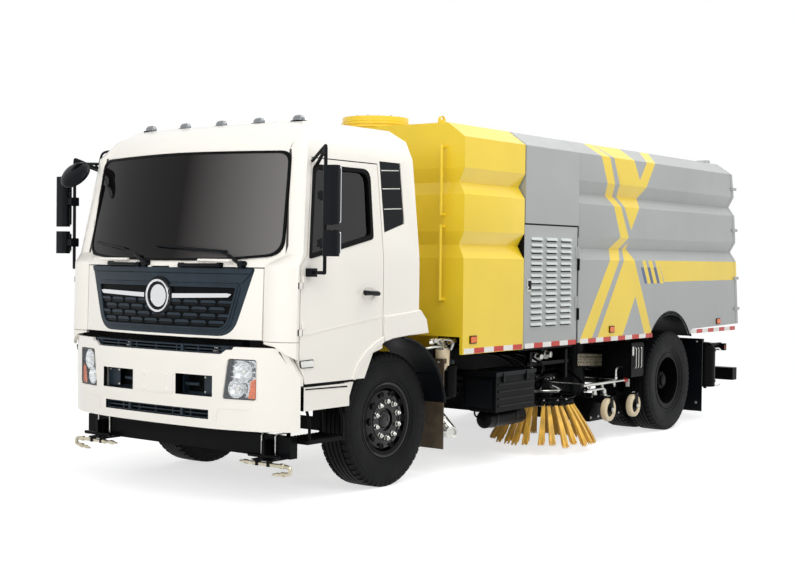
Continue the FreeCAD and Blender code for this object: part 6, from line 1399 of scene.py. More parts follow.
def make_roof_lamps():
    """Five small lamps in a row over the screen, each a domed cover on a flat foot."""
    first, step, count = at(0.750, -0.8, 2.785), (0, 0.4, 0), 5
    foot = loose()
    slab(foot, "xy", rounded(rect(-0.044 - AXLE, 0.044 - AXLE, -0.054, 0.054), 0.02), 0, 0.010)
    feet = copied(foot, PLASTIC, count, first, step)
    lens = loose()
    rings = []
    for z, sx, sy in ((0.008, 0.038, 0.046), (0.034, 0.034, 0.042), (0.048, 0.022, 0.030),
                      (0.053, 0.008, 0.016)):
        outline = rounded(rect(-sx, sx, -sy, sy), min(sx, sy) * 0.8, 4)
        rings.append([lens.verts.new((x, y, z)) for x, y in outline])
    for near, far in zip(rings, rings[1:]):
        for i in range(len(near)):
            j = (i + 1) % len(near)
            lens.faces.new([near[i], near[j], far[j], far[i]])
    lens.faces.new(rings[0])
    lens.faces.new(rings[-1])
    covers = copied(lens, LAMP_GREY, count, first, step)
    piece("roof_lamp_set", joined((feet, 0), (covers, 1)), [PLASTIC, LAMP_GREY], "cab",
          ("roof_lamps",))


def make_mirrors():
    """The two heads on each door, with their glass, clamps and stay."""
    for side, hand in SIDES:
        body = hand + "_door"
        dressed("mirror_" + hand, body, [PLASTIC], bevel=0.004)
        bm = loose()
        for low, high in ((2.010, 2.420), (1.790, 1.972)):
            x = 1.088
            slab(bm, "yz", rounded(rect(side * 1.386, side * 1.494, low + 0.010, high - 0.010),
                                   0.02), x - 0.004, x + 0.004)
        piece("mirror_glass_" + hand, bm, MIRROR, body)
        bm = loose()
        for z in (2.215, 1.881):
            block(bm, 1.060, 1.115, side * 1.325, side * 1.395, z - 0.035, z + 0.035)
            for dz in (-0.024, 0.024):
                bolt(bm, at(1.115, side * 1.372, z + dz), (1, 0, 0), 0.006, 0.006)
        tube(bm, [at(1.085, side * 1.35, 2.545), at(1.085, side * 1.35, 2.565),
                  at(1.06, side * 1.30, 2.545), at(0.985, side * 1.14, 2.47)], 0.012, 10,
             corner=0.03)
        piece("mirror_clamps_" + hand, bm, PLASTIC, body, bevel=0.003)


def make_kerb_mirror():
    """The round mirror on its bent tubes over the right-hand mirrors."""
    way = Vector((0.764, 0.097, 0.62)).normalized()
    middle = at(1.175, -1.235, 2.430)
    bm = loose()
    lathe(bm, middle, way, [(-0.016, 0.122), (-0.016, 0.130), (0.0, 0.134), (0.012, 0.126),
                            (0.032, 0.100), (0.046, 0.060), (0.052, 0.0)], 48)
    lathe(bm, middle, way, [(-0.013, 0.0), (-0.019, 0.06), (-0.013, 0.123)], 48, 1)
    joint = middle + way * 0.045
    hub = at(1.02, -1.175, 2.525)
    tube(bm, [joint, middle + Vector((0.01, 0.03, 0.085)), hub, at(0.930, -1.10, 2.522)], 0.011,
         10, corner=0.05)
    tube(bm, [hub + Vector((-0.03, 0.02, 0.0)), at(0.985, -1.130, 2.615), at(0.93, -1.10, 2.632),
              at(0.88, -1.05, 2.632)], 0.010, 10, corner=0.05)
    tube(bm, [hub, at(0.985, -1.135, 2.44), at(0.955, -1.115, 2.345)], 0.010, 10)
    piece("kerb_mirror", bm, [PLASTIC, MIRROR], "right_door", sharp=50)


make_cab()
make_screen()
make_grille()
make_doors()
make_roof_lamps()
make_mirrors()
make_kerb_mirror()


# ---- bumper, lamps and what hangs under the nose

def make_bumper():
    """The bumper with its lips, slotted grilles, plate and fog lamp recesses."""
    # the walls of the fog lamp recesses and the lower slot are painted black as painted shade
    def recess_painted_shade(middle, normal):
        x, y, z = middle
        deep = x < bumper_x(y) - 0.006 and normal.x < 0.6
        hole = 0.22 < abs(y) < 0.61 and 0.77 < z < 0.935 or abs(y) < 0.57 and 0.60 < z < 0.69
        return 1 if deep and hole else 0

    dressed("bumper", "chassis", [WHITE, SEAL], recess_painted_shade, bevel=0.004)
    bm = loose()
    plate = rounded(rect(-0.205, 0.205, 0.778, 0.924), 0.012)
    lay_front(bm, BUMPER_SHEET, [plate], 0.006, 0.003, 0, 0.1)
    for y in (-0.10, 0.137):
        for z in (0.906, 0.799):
            spot = at(bumper_x(y) + 0.005, y, z)
            lathe(bm, spot, (1, 0, 0), [(0, 0), (0, 0.014), (0.004, 0.013), (0.006, 0.006),
                                        (0.006, 0)], 16)
    for side in LEFT_RIGHT:
        for run in ([(0.655, 0.700), (0.90, 0.704)],
                    [(0.625, 0.600), (0.635, 0.690), (0.655, 0.700)]):
            lay_front(bm, BUMPER_SHEET, strip([(side * y, z) for y, z in run], 0.0035), 0.005,
                0.003, 0, 0.1)
        edge = rounded([(side * y, z) for y, z in ((0.665, 0.760), (0.950, 0.760),
                                                  (0.950, 1.064), (0.710, 1.064))], 0.03)
        lay_front(bm, BUMPER_SHEET, hoop(edge, inset(edge, 0.008)), 0.004, 0.006, 0, 0.1)
        lip = [(side * y, z) for y, z in ((0.744, 1.112), (1.070, 1.112), (1.088, 1.116),
                                          (1.198, 0.874), (1.198, 0.930), (1.118, 1.134),
                                          (1.050, 1.140), (0.762, 1.140))]
        lay_front(bm, BUMPER_SHEET, [lip], 0.0, 0.030, 0, 0.1)
    piece("bumper_plate", bm, WHITE, "chassis", bevel=0.0015)
    bm = loose()
    for side in LEFT_RIGHT:
        lay_front(bm, CAB_SHEET, [[(side * 0.955, 1.182), (side * 0.955, 1.166),
                                      (side * 1.06, 1.150), (side * 1.197, 1.062),
                                      (side * 1.197, 1.182)]], 0.0, 0.030, 0, 0.05)
    piece("cab_corners", bm, WHITE, "cab", bevel=0.003, sharp=50)
    dressed("bumper_grilles", "chassis", [SATIN], bevel=0.002)
    bm = loose()
    for half_low, half_top, low, top in ((0.645, 0.725, 1.088, 1.140), (0.548, 0.548, 0.617, 0.677)):
        rim = rounded([(-half_low, low), (half_low, low), (half_top, top), (-half_top, top)], 0.01)
        lay_front(bm, BUMPER_SHEET, hoop(rim, inset(rim, 0.007)), -0.016, 0.03, 0, 0.1)
        for y in (-0.28, 0.28):
            lay_front(bm, BUMPER_SHEET, [rect(y - 0.012, y + 0.012, low, top)], -0.012, 0.035,
                0, 0.1)
    piece("slot_frames", bm, SATIN, "chassis", bevel=0.0015)
    # black sheets behind the bumper's slots, its fog lamp recesses and the gap under the flap:
    # painted shade in the openings
    bm = loose()
    slab(bm, "yz", [(-0.70, 1.055), (0.70, 1.055), (0.72, 1.178), (-0.72, 1.178)], 1.240, 1.246)
    slab(bm, "yz", rect(-0.56, 0.56, 0.60, 0.69), 1.330, 1.336)
    for side in LEFT_RIGHT:
        slab(bm, "yz", rect(side * 0.24, side * 0.575, 0.79, 0.915), 1.302, 1.306)
    piece("slot_shade_backs", bm, SEAL, "chassis")
    bm = loose()
    for side in LEFT_RIGHT:
        slab(bm, "yz", rounded(rect(side * 0.455, side * 0.578, 0.785, 0.918), 0.01), 1.352, 1.360,
             0)
        for y, z in ((0.466, 0.797), (0.466, 0.906), (0.567, 0.906)):
            bolt(bm, at(1.360, side * y, z), (1, 0, 0), 0.006, 0.005, 1)
        tube(bm, [at(1.35, side * 0.26, 0.85), at(1.37, side * 0.33, 0.85),
                  at(1.35, side * 0.40, 0.85)], 0.012, 10, 0, 0.03)
    piece("fog_plates", bm, [SATIN, STEEL], "chassis", bevel=0.002)


def make_headlights():
    """Lamp glass, reflectors, turn lamps and the repeaters on the doors."""
    for side, hand in SIDES:

        def put(points):
            return [(side * y, z) for y, z in points]

        lens = rounded(put([(0.674, 0.770), (0.940, 0.770), (0.940, 1.054), (0.718, 1.054)]),
                       [0.02, 0.02, 0.03, 0.06])
        bm = loose()
        lay_front(bm, BUMPER_SHEET, [lens], -0.002, 0.005, 0, 0.06)
        replaced = ("headlights",) if side > 0 else ()
        piece("lamp_lens_" + hand, bm, LENS, "chassis", replaced, sharp=50)
        bm = loose()
        lay_front(bm, BUMPER_SHEET, [lens], -0.062, 0.070, 1, 0.08)
        lay_front(bm, BUMPER_SHEET, hoop(lens, inset(lens, 0.007)), -0.006, 0.064, 0, 0.1)
        # reflector steps, ribs and the two bowls
        for y, z, size in ((0.815, 0.965, 0.072), (0.765, 0.842, 0.062)):
            spot = at(bumper_x(y) - 0.052, side * y, z)
            lathe(bm, spot, (1, side * 0.25, 0),
                  [(0.0, 0), (0.0, size * 0.45), (0.010, size * 0.7), (0.026, size * 0.92),
                   (0.036, size), (0.036, size * 1.06), (0.0, size * 1.06)], 40, 1)
            lathe(bm, spot, (1, side * 0.25, 0), [(0.0, 0), (0.0, 0.016), (0.022, 0.014),
                                                  (0.028, 0.006), (0.028, 0)], 20, 2)
        for k in range(7):
            z = 1.035 - 0.038 * k
            lay_front(bm, BUMPER_SHEET, [put(rect(0.700, 0.930, z, z + 0.008))], -0.040, 0.070,
                1, 0.1)
        for k in range(4):
            y = 0.735 + 0.06 * k
            lay_front(bm, BUMPER_SHEET, [put(rect(y, y + 0.006, 0.90, 1.045))], -0.046, 0.070,
                1, 0.1)
        piece("lamp_reflector_" + hand, bm, [PLASTIC, LAMP_CHROME, TAPE], "chassis",
              sharp=25)
        bm = loose()
        turn = rounded(put([(0.868, 0.776), (0.935, 0.776), (0.935, 0.925), (0.895, 0.905)]), 0.012)
        lay_front(bm, BUMPER_SHEET, [turn], -0.014, 0.020, 0, 0.03)
        for k in range(6):
            z = 0.790 + 0.020 * k
            lay_front(bm, BUMPER_SHEET, [put([(0.884, z), (0.930, z), (0.930, z + 0.008),
                                          (0.888, z + 0.008)])], -0.011, 0.006, 0, 0.1)
        piece("turn_lamp_" + hand, bm, AMBER, "chassis", bevel=0.001)
        # clear repeater low on the door's front edge
        bm = loose()
        shape = rounded([(1.020, 1.000), (1.160, 1.000), (1.172, 1.055), (1.020, 1.058)], 0.014)
        slab(bm, "xz", shape, side * 1.196, side * 1.206, 1)
        slab(bm, "xz", inset(shape, 0.006), side * 1.204, side * 1.211, 0)
        for x in (1.045, 1.085, 1.12):
            slab(bm, "xz", rect(x, x + 0.014, 1.010, 1.048), side * 1.209, side * 1.213, 2)
        piece("repeater_" + hand, bm, [TAPE, PLASTIC, CHROME], hand + "_door",
              bevel=0.001)


def make_wash_beam():
    """The beam under the nose with its two spray pipes."""
    dressed("wash_beam", "chassis", [BLACK], bevel=0.005)
    bm = loose()
    for side in LEFT_RIGHT:
        for y in (0.825, 0.957):
            tube(bm, [at(1.03, side * y, 0.512), at(1.145, side * y, 0.512),
                      at(1.145, side * y, 0.330), at(1.03, side * y, 0.330)], 0.006, 8, 1, 0.02)
            drum(bm, at(1.145, side * y, 0.322), at(1.145, side * y, 0.346), 0.011, 6, 1)
        slab(bm, "xy", rect(1.05, 1.225, side * 0.80, side * 0.985), 0.326, 0.336, 0)
        block(bm, 1.145, 1.17, side * 0.86, side * 0.925, 0.34, 0.47, 0)
        z = 0.305
        run = [(0.665, 0.006), (0.70, 0.010), (0.715, 0.017), (0.745, 0.017), (0.755, 0.012),
               (0.80, 0.012), (0.805, 0.019), (0.835, 0.019), (0.840, 0.014), (1.06, 0.014),
               (1.065, 0.020), (1.095, 0.020), (1.10, 0.014), (1.12, 0.014)]
        profile = [(0.0, 0.0)] + [(y - 0.665, r) for y, r in run] + [(1.12 - 0.665, 0.0)]
        lathe(bm, at(1.205, side * 0.665, z), (0, side, 0), profile, 12, 2)
        tube(bm, [at(1.205, side * 1.11, z), at(1.205, side * 1.155, z - 0.004),
                  at(1.205, side * 1.155, z - 0.050), at(1.205, side * 1.09, z - 0.056)],
             0.0145, 12, 2, 0.03)
        lathe(bm, at(1.205, side * 1.10, z - 0.056), (0, -side, -0.12),
              [(0, 0), (0, 0.019), (0.022, 0.019), (0.026, 0.013), (0.060, 0.012),
               (0.066, 0.016), (0.085, 0.011), (0.115, 0.006), (0.115, 0)], 12, 2)
        block(bm, 1.18, 1.225, side * 0.835, side * 0.855, 0.290, 0.330, 0)
        block(bm, 1.18, 1.225, side * 0.945, side * 0.965, 0.290, 0.330, 0)
    piece("wash_nozzles", bm, [BLACK, STEEL, BRASS], "chassis", bevel=0.0015)


def make_steps():
    """The two steps on each side with their teeth."""
    def paint(middle, normal):
        return 0 if middle.z > 0.69 and abs(middle.y) > 1.165 else 1

    dressed("steps", "chassis", [WHITE, BLACK], paint, bevel=0.005)
    tooth = loose()
    box_at_origin(tooth, 0.012, 0.018, 0.012, True)
    for side, hand in SIDES:
        teeth = copied(tooth.copy(), BLACK, 12 * 5, at(0.665, side * 0.985, 0.478), (0.033, 0, 0),
                       12, (0, side * 0.045, 0))
        bm = loose()
        for x in (0.66, 1.03):
            tube(bm, [at(x, side * 1.178, 0.46), at(x, side * 1.178, 0.60), at(x, side * 1.15,
                                                                               0.69)], 0.011, 8, 0,
                 0.04)
        slab(bm, "xz", rect(0.615, 1.12, 0.868, 0.878), side * 1.13, side * 1.192, 0)
        slab(bm, "xz", [(0.640, 0.835), (1.105, 0.845), (1.105, 0.853), (0.640, 0.845)],
             side * 1.198, side * 1.2035, 1)
        piece("step_teeth_" + hand, joined((teeth, 0), bm), [BLACK, SEAL], "chassis")
    tooth.free()


# ---- what hangs beside the frame

def make_guards():
    """The mudguards with their lips, and the bolts of the flaps."""
    def paint(middle, normal):
        if middle.x > -0.80 and middle.x < -0.70 and middle.z < 0.955:
            return 1
        return 0

    dressed("mudguards", "chassis", [PLASTIC, MUD], paint, bevel=0.002)
    for side, hand in SIDES:
        bm = loose()
        for x, radius, first, last, y in ((0.0, 0.644, 8, 85, 1.182),
                                          (-4.7, 0.704, 40, 140, 1.217)):
            path = []
            for k in range(25):
                a = math.radians(first + (last - first) * k / 24)
                path.append(at(x - math.cos(a) * radius, side * y, 0.525 + math.sin(a) * radius))
            tube(bm, path, 0.010, 8)
        piece("guard_lips_" + hand, bm, PLASTIC, "chassis")
        bm = loose()
        for x, y, z in ((-0.752, 0.86, 0.93), (-0.752, 1.04, 0.93), (-5.566, 0.70, 0.90),
                        (-5.566, 1.15, 0.90), (-5.566, 1.15, 0.22)):
            bolt(bm, at(x - 0.004, side * y, z), (-1, 0, 0), 0.010, 0.008)
            bolt(bm, at(x + 0.017, side * y, z), (1, 0, 0), 0.010, 0.008)
        piece("flap_bolts_" + hand, bm, STEEL, "chassis")


def make_side_kit():
    """Battery box, air tank, fuel tank, exhaust, water cups and locker."""
    dressed("battery_box", "chassis", [BLACK], bevel=0.006)
    bm = loose()
    block(bm, -2.05, -1.39, 0.86, 1.19, 0.776, 0.812)
    for k in range(4):
        z = 0.51 + 0.062 * k
        block(bm, -2.00, -1.44, 1.17, 1.188, z, z + 0.014)
    for x in (-1.52, -1.90):
        block(bm, x, x + 0.022, 1.18, 1.198, 0.72, 0.80)
    block(bm, -1.402, -1.392, 0.88, 1.14, 0.50, 0.74)
    for x in (-1.62, -1.94):
        collar(bm, at(x, 1.0, 0.384), (1, 0, 0), 0.078, 0.082, 0.030)
    piece("box_lid", bm, PLASTIC, "chassis", bevel=0.004)
    bm = loose()
    lathe(bm, at(-1.492, 1.0, 0.384), (1, 0, 0), [(0, 0.078), (0.012, 0.070), (0.022, 0.045),
                                                 (0.026, 0)], 32)
    drum(bm, at(-1.47, 1.0, 0.384), at(-1.44, 1.0, 0.384), 0.013, 6)
    tube(bm, [at(-1.47, 0.96, 0.40), at(-1.42, 0.95, 0.42), at(-1.42, 0.95, 0.52)], 0.008, 8, 0,
         0.03)
    piece("air_tank_end", bm, BLACK, "chassis")
    dressed("fuel_tank", "chassis", [STEEL, BLACK],
            lambda m, n: 1 if abs(m.y) < 0.58 else 0, bevel=0.002)
    bm = loose()
    for x in (-1.05, -1.50):
        slab(bm, "yz", rounded(rect(-1.186, -0.556, 0.424, 0.936), 0.09, 8), x - 0.022, x + 0.022)
    piece("fuel_straps", bm, BLACK, "chassis", bevel=0.002)
    dressed("exhaust", "chassis", [STEEL], bevel=0.001)
    bm = loose()
    tube(bm, [at(-1.145, 0.80, 0.42), at(-1.13, 0.82, 0.335), at(-1.02, 0.90, 0.315),
              at(-0.930, 1.045, 0.328)], 0.045, 20, 0, 0.08, 8)
    lathe(bm, at(-0.932, 1.040, 0.328), (0.53, 0.84, 0.08), [(0.0, 0.040), (0.0, 0.050),
                                                            (0.026, 0.052), (0.028, 0.040)], 24,
          0, True)
    piece("tail_elbow", bm, STEEL, "chassis")
    dressed("side_locker", "chassis", [BLACK], bevel=0.004)
    bm = loose()
    lathe(bm, at(-0.812, 1.03, 0.835), (0, 0, 1),
          [(0.0, 0), (0.004, 0.008), (0.060, 0.045), (0.064, 0.056), (0.185, 0.060),
           (0.195, 0.058), (0.197, 0.050), (0.197, 0)], 28, 0)
    lathe(bm, at(-0.812, 1.03, 1.030), (0, 0, 1),
          [(0, 0), (0, 0.052), (0.014, 0.054), (0.020, 0.040), (0.034, 0.038), (0.040, 0.026),
           (0.060, 0.024), (0.060, 0)], 8, 1)
    for x, y, z, r in ((-0.70, 1.03, 1.10, 0.026), (-0.75, 1.06, 1.09, 0.020),
                       (-0.90, 1.02, 1.08, 0.030), (-0.95, 1.04, 1.09, 0.022)):
        lathe(bm, at(x, y - 0.03, z), (0.3, 1, 0.2),
              [(0, 0), (0, r), (0.018, r), (0.020, r * 0.7), (0.045, r * 0.7), (0.048, r * 0.85),
               (0.060, r * 0.8), (0.060, 0)], 6, 1)
    tube(bm, [at(-0.66, 1.0, 1.09), at(-0.74, 1.06, 1.12), at(-0.86, 1.05, 1.115),
              at(-0.98, 1.03, 1.09), at(-1.0, 0.98, 1.02)], 0.013, 8, 1, 0.05)
    tube(bm, [at(-0.62, 0.90, 1.02), at(-0.70, 1.0, 1.055), at(-0.80, 1.04, 1.06)], 0.011, 8, 1,
         0.04)
    lathe(bm, at(-1.02, 0.95, 0.62), (0, 0, 1),
          [(0, 0), (0, 0.060), (0.02, 0.072), (0.26, 0.072), (0.275, 0.050), (0.275, 0)], 28, 2)
    lathe(bm, at(-1.02, 0.95, 0.895), (0, 0, 1),
          [(0, 0), (0, 0.046), (0.03, 0.048), (0.045, 0.040), (0.048, 0)], 16, 3)
    block(bm, -1.06, -0.98, 0.86, 0.95, 0.60, 0.66, 2)
    piece("filter_cups", bm, [CREAM, STEEL, BLACK, SATIN], "chassis",
          bevel=0.001)
    bm = loose()
    block(bm, -4.125, -3.855, 1.202, 1.212, 0.62, 0.95, 0)
    for x in (-3.93, -3.985, -4.05):
        tube(bm, [at(x, 1.212, 0.70), at(x, 1.226, 0.71), at(x, 1.226, 0.90), at(x, 1.212, 0.91)],
             0.005, 6, 1, 0.01)
    slab(bm, "xz", rounded(rect(-3.90, -3.872, 0.83, 0.92), 0.008), 1.210, 1.218, 2)
    piece("locker_door", bm, [BLACK, STEEL, TAPE], "chassis", bevel=0.003)


# ---- brooms

BROOM_X, BROOM_Y, BUNDLES = -2.65, 0.905, 26


def make_brooms():
    """The bristle bundles on their plates, and the guards and hoses over them."""
    for side, hand in SIDES:
        bundle = loose()
        rows, across = 3, 9
        for row_number in range(rows):
            for column in range(across):
                u = column / (across - 1) * 2 - 1
                w = row_number - 1
                ragged = 0.018 * math.sin(7.3 * column + 4.1 * row_number)
                root = Vector((0.262 + w * 0.006, u * 0.011, 0.455))
                middle = Vector((0.385 + w * 0.010, u * 0.019, 0.275))
                end = Vector((0.478 + w * 0.016 - ragged * 0.4, u * 0.027 + ragged * 0.2,
                              0.100 + ragged))
                tube(bundle, [root, middle, end], 0.0042, 4, 0, 0.1, 2)
        sleeve = loose()
        lathe(sleeve, Vector((0.252, 0, 0.468)), (0.35, 0, -0.94),
              [(0, 0), (0, 0.030), (0.006, 0.034), (0.040, 0.034), (0.044, 0.028), (0.044, 0)], 12)
        centre = at(BROOM_X, BROOM_Y * side, 0)
        strands = copied(bundle, ORANGE, BUNDLES, centre, turn=math.tau / BUNDLES, stray=0.035,
                         seed=5 if side > 0 else 9)
        sleeves = copied(sleeve, BLACK, BUNDLES, centre, turn=math.tau / BUNDLES)
        plate = loose()
        lathe(plate, centre + Vector((0, 0, 0.445)), (0, 0, 1),
              [(0.0, 0), (0.0, 0.250), (0.004, 0.284), (0.012, 0.290), (0.020, 0.286),
               (0.026, 0.270), (0.030, 0.20), (0.030, 0.09), (0.044, 0.080), (0.044, 0)], 64)
        bolts = loose()
        bolt(bolts, Vector((0.235, 0, 0.474)), (0, 0, 1), 0.010, 0.009)
        piece("brush_" + hand, joined((strands, 0), (sleeves, 1), (plate, 1),
                                      (copied(bolts, STEEL, 11, centre, turn=math.tau / 11), 2)),
              [ORANGE, BLACK, STEEL], hand + "_broom", ("broom_" + hand,))

        dressed("broom_arm_" + hand, hand + "_arm", [BLACK], bevel=0.002)
        bm = loose()
        for radius, lift, first, last in ((0.165, 0.085, 0, 371), (0.150, 0.072, 0, 371)):
            path = [centre + Vector((math.cos(math.radians(a)) * radius,
                                     math.sin(math.radians(a)) * radius * side, 0.475 + lift))
                    for a in range(first, last, 10)]
            tube(bm, path, 0.0085, 8, 0)
        for a in (20, 75, 140):
            turn = math.radians(a)
            tube(bm, [centre + Vector((math.cos(turn) * r, math.sin(turn) * r * side, z))
                      for r, z in ((0.06, 0.600), (0.12, 0.580), (0.160, 0.560))],
                 0.0075, 8, 0, 0.03)
        lathe(bm, centre + Vector((0, 0, 0.628)), (0, 0, 1),
              [(0, 0), (0, 0.060), (0.03, 0.060), (0.034, 0.045), (0.07, 0.042), (0.074, 0)], 24, 1)
        for dx in (-0.03, 0.03):
            lathe(bm, centre + Vector((dx, 0.04 * side, 0.66)), (0, side, 0.25),
                  [(0, 0), (0, 0.014), (0.03, 0.014), (0.032, 0.010), (0.06, 0.010), (0.06, 0)], 6,
                  0)
            tube(bm, [centre + Vector((dx, 0.09 * side, 0.672)),
                      centre + Vector((dx + 0.08, 0.10 * side, 0.70)),
                      centre + Vector((dx + 0.30, 0.02 * side, 0.66)),
                      centre + Vector((0.60, -0.20 * side, 0.66))], 0.010, 8, 1, 0.08)
        piece("broom_guard_" + hand, bm, [STEEL, BLACK], hand + "_arm")


# ---- suction head, spray bars and hoist

SPRAY_Y, CASTER_Y, CASTER_Z = 1.1, 1.160, 0.316


def make_head():
    """The suction head with its casters, spray fittings, wire guard and hoses."""
    dressed("suction_head", "pickup_head", [BLACK], bevel=0.003)
    wear("suction_ducts", PLASTIC)
    for side, hand in SIDES:
        for place, x in (("front", -3.475), ("rear", -4.010)):
            middle = at(x, CASTER_Y * side, CASTER_Z)
            bm = loose()
            lathe(bm, middle, (0, side, 0),
                  [(-0.030, 0.075), (-0.030, 0.103), (-0.024, 0.112), (-0.010, 0.1150),
                   (0.010, 0.1150), (0.024, 0.112), (0.030, 0.103), (0.030, 0.075),
                   (0.020, 0.070), (-0.020, 0.070)], 48, 0, True)
            lathe(bm, middle, (0, side, 0),
                  [(-0.022, 0.0125), (-0.022, 0.074), (0.012, 0.074), (0.016, 0.066),
                   (0.016, 0.034), (0.026, 0.028), (0.026, 0.0125)], 32, 1, True)
            piece("caster_wheel_%s_%s" % (place, hand), bm, [CREAM, BLACK],
                  "%s_%s_caster" % (hand, place),
                  ("caster_%s_%s" % (place, hand),))
            bm = loose()
            for y in (CASTER_Y + 0.047, CASTER_Y - 0.047):
                bolt(bm, middle + Vector((0, (y - CASTER_Y) * side, 0)),
                     (0, side if y > CASTER_Y else -side, 0), 0.014, 0.014)
            for dx in (-0.016, 0.016):
                bolt(bm, middle + Vector((dx, 0, 0.130)), (0, 0, 1), 0.007, 0.007)
            piece("caster_bolts_%s_%s" % (place, hand), bm, STEEL, "pickup_head")
        bm = loose()
        for x in (-3.30, -3.45, -3.60, -3.75, -3.88):
            bolt(bm, at(x, side * 1.062, 0.245), (0, side, 0), 0.009, 0.008)
        for x in (-3.50, -3.70):
            lathe(bm, at(x, side * 0.99, 0.42), (0, 0, 1),
                  [(0, 0), (0, 0.035), (0.02, 0.035), (0.03, 0.026), (0.07, 0.022), (0.08, 0.012),
                   (0.08, 0)], 16)
        piece("head_bolts_" + hand, bm, STEEL, "pickup_head")
        bm = loose()
        lathe(bm, at(-3.965, side * SPRAY_Y, 0.575), (1, 0, 0),
              [(0, 0), (0, 0.022), (0.03, 0.026), (0.05, 0.024), (0.055, 0.018), (0.055, 0)], 16, 1)
        for x in (-3.20, -3.45, -3.70):
            lathe(bm, at(x, side * SPRAY_Y, 0.560), (0, 0.2 * side, -1),
                  [(0, 0), (0, 0.014), (0.02, 0.014), (0.022, 0.009), (0.04, 0.007), (0.04, 0)], 6,
                  0)
        tube(bm, [at(-3.74, side * SPRAY_Y, 0.578), at(-3.74, side * SPRAY_Y, 0.70),
                  at(-3.80, side * SPRAY_Y, 0.715), at(-3.96, side * SPRAY_Y, 0.700),
                  at(-4.02, side * SPRAY_Y, 0.635)], 0.009, 8, 0, 0.04)
        lathe(bm, at(-3.74, side * SPRAY_Y, 0.60), (0, 0, 1),
              [(0, 0), (0, 0.016), (0.02, 0.016), (0.024, 0.011), (0.045, 0.011), (0.045, 0)], 8, 0)
        block(bm, -3.55, -3.20, side * 1.03, side * 1.075, 0.505, 0.520, 0)
        block(bm, -4.01, -3.985, side * 1.085, side * 1.115, 0.505, 0.580, 2)
        tube(bm, [at(-3.25, side * 1.05, 0.512), at(-3.22, side * 1.02, 0.58),
                  at(-3.24, side * 0.90, 0.66), at(-3.30, side * 0.60, 0.74)], 0.016, 10, 3, 0.08)
        piece("spray_fittings_" + hand, bm, [STEEL, RED, TAPE, BLACK], "chassis")
        # the expanded-metal guard in front of the duct
        wire = loose()
        tube(wire, [Vector((0, 0, -0.062)), Vector((0.030, 0, 0)), Vector((0, 0, 0.062))], 0.0028,
             4)
        one = copied(wire, BRASS, 16 * 2, at(-3.80, side * 0.91, 0.775), (0.032, 0, 0.002), 16,
                     (0.010, 0.002, 0.004))
        wire = loose()
        tube(wire, [Vector((0.030, 0, -0.062)), Vector((0, 0, 0)), Vector((0.030, 0, 0.062))],
             0.0028, 4)
        two = copied(wire, BRASS, 16 * 2, at(-3.80, side * 0.908, 0.775), (0.032, 0, 0.002), 16,
                     (0.010, 0.002, 0.004))
        rim = loose()
        for run in (((-3.82, 0.705), (-3.28, 0.735)), ((-3.82, 0.84), (-3.28, 0.87))):
            tube(rim, [at(run[0][0], side * 0.912, run[0][1]), at(run[1][0], side * 0.912,
                                                                 run[1][1])], 0.006, 6)
        for x in (-3.82, -3.28):
            tube(rim, [at(x, side * 0.912, 0.705 + (x + 3.82) * 0.055),
                       at(x, side * 0.912, 0.98)], 0.006, 6)
        piece("mesh_guard_" + hand, joined((one, 0), (two, 0), (rim, 1)), [BRASS, BLACK],
              "chassis")
        # hoses and pipes between the frame and the broom
        bm = loose()
        for shift, low in ((0.0, 0.62), (0.09, 0.68), (0.17, 0.60), (0.26, 0.70)):
            x = -2.10 - shift
            tube(bm, [at(x, side * 0.45, 0.92), at(x - 0.02, side * (0.80 + shift * 0.4), 0.90),
                      at(x - 0.10, side * (0.95 + shift * 0.3), low + 0.10),
                      at(x - 0.26, side * (0.86 + shift * 0.2), low)], 0.012, 8, 0, 0.12)
        for x, z in ((-2.62, 0.86), (-2.80, 0.88), (-2.45, 0.75)):
            lathe(bm, at(x, side * 0.80, z), (0, side, 0),
                  [(0, 0), (0, 0.045), (0.05, 0.045), (0.055, 0.030), (0.10, 0.030), (0.104, 0)],
                  20, 1)
        for x in (-2.30, -2.95):
            block(bm, x - 0.02, x + 0.02, side * 0.44, side * 0.98, 0.93, 0.965, 0)
            block(bm, x - 0.02, x + 0.02, side * 0.94, side * 0.98, 0.66, 0.965, 0)
        block(bm, -3.0, -2.25, side * 0.945, side * 0.975, 0.80, 0.83, 0)
        piece("hoses_" + hand, bm, [BLACK, STEEL], "chassis")
    wear("spray_bars", STEEL)
    for node, material in (("hoist_barrels", BLACK), ("hoist_rods", CHROME),
                           ("cab_ram_barrel", BLACK), ("cab_ram_rod", CHROME),
                           ("knuckle_left", BLACK), ("knuckle_right", BLACK)):
        wear(node, material)


# ---- rear end

FILTER_X, FILTER_Y = -5.94, 1.08


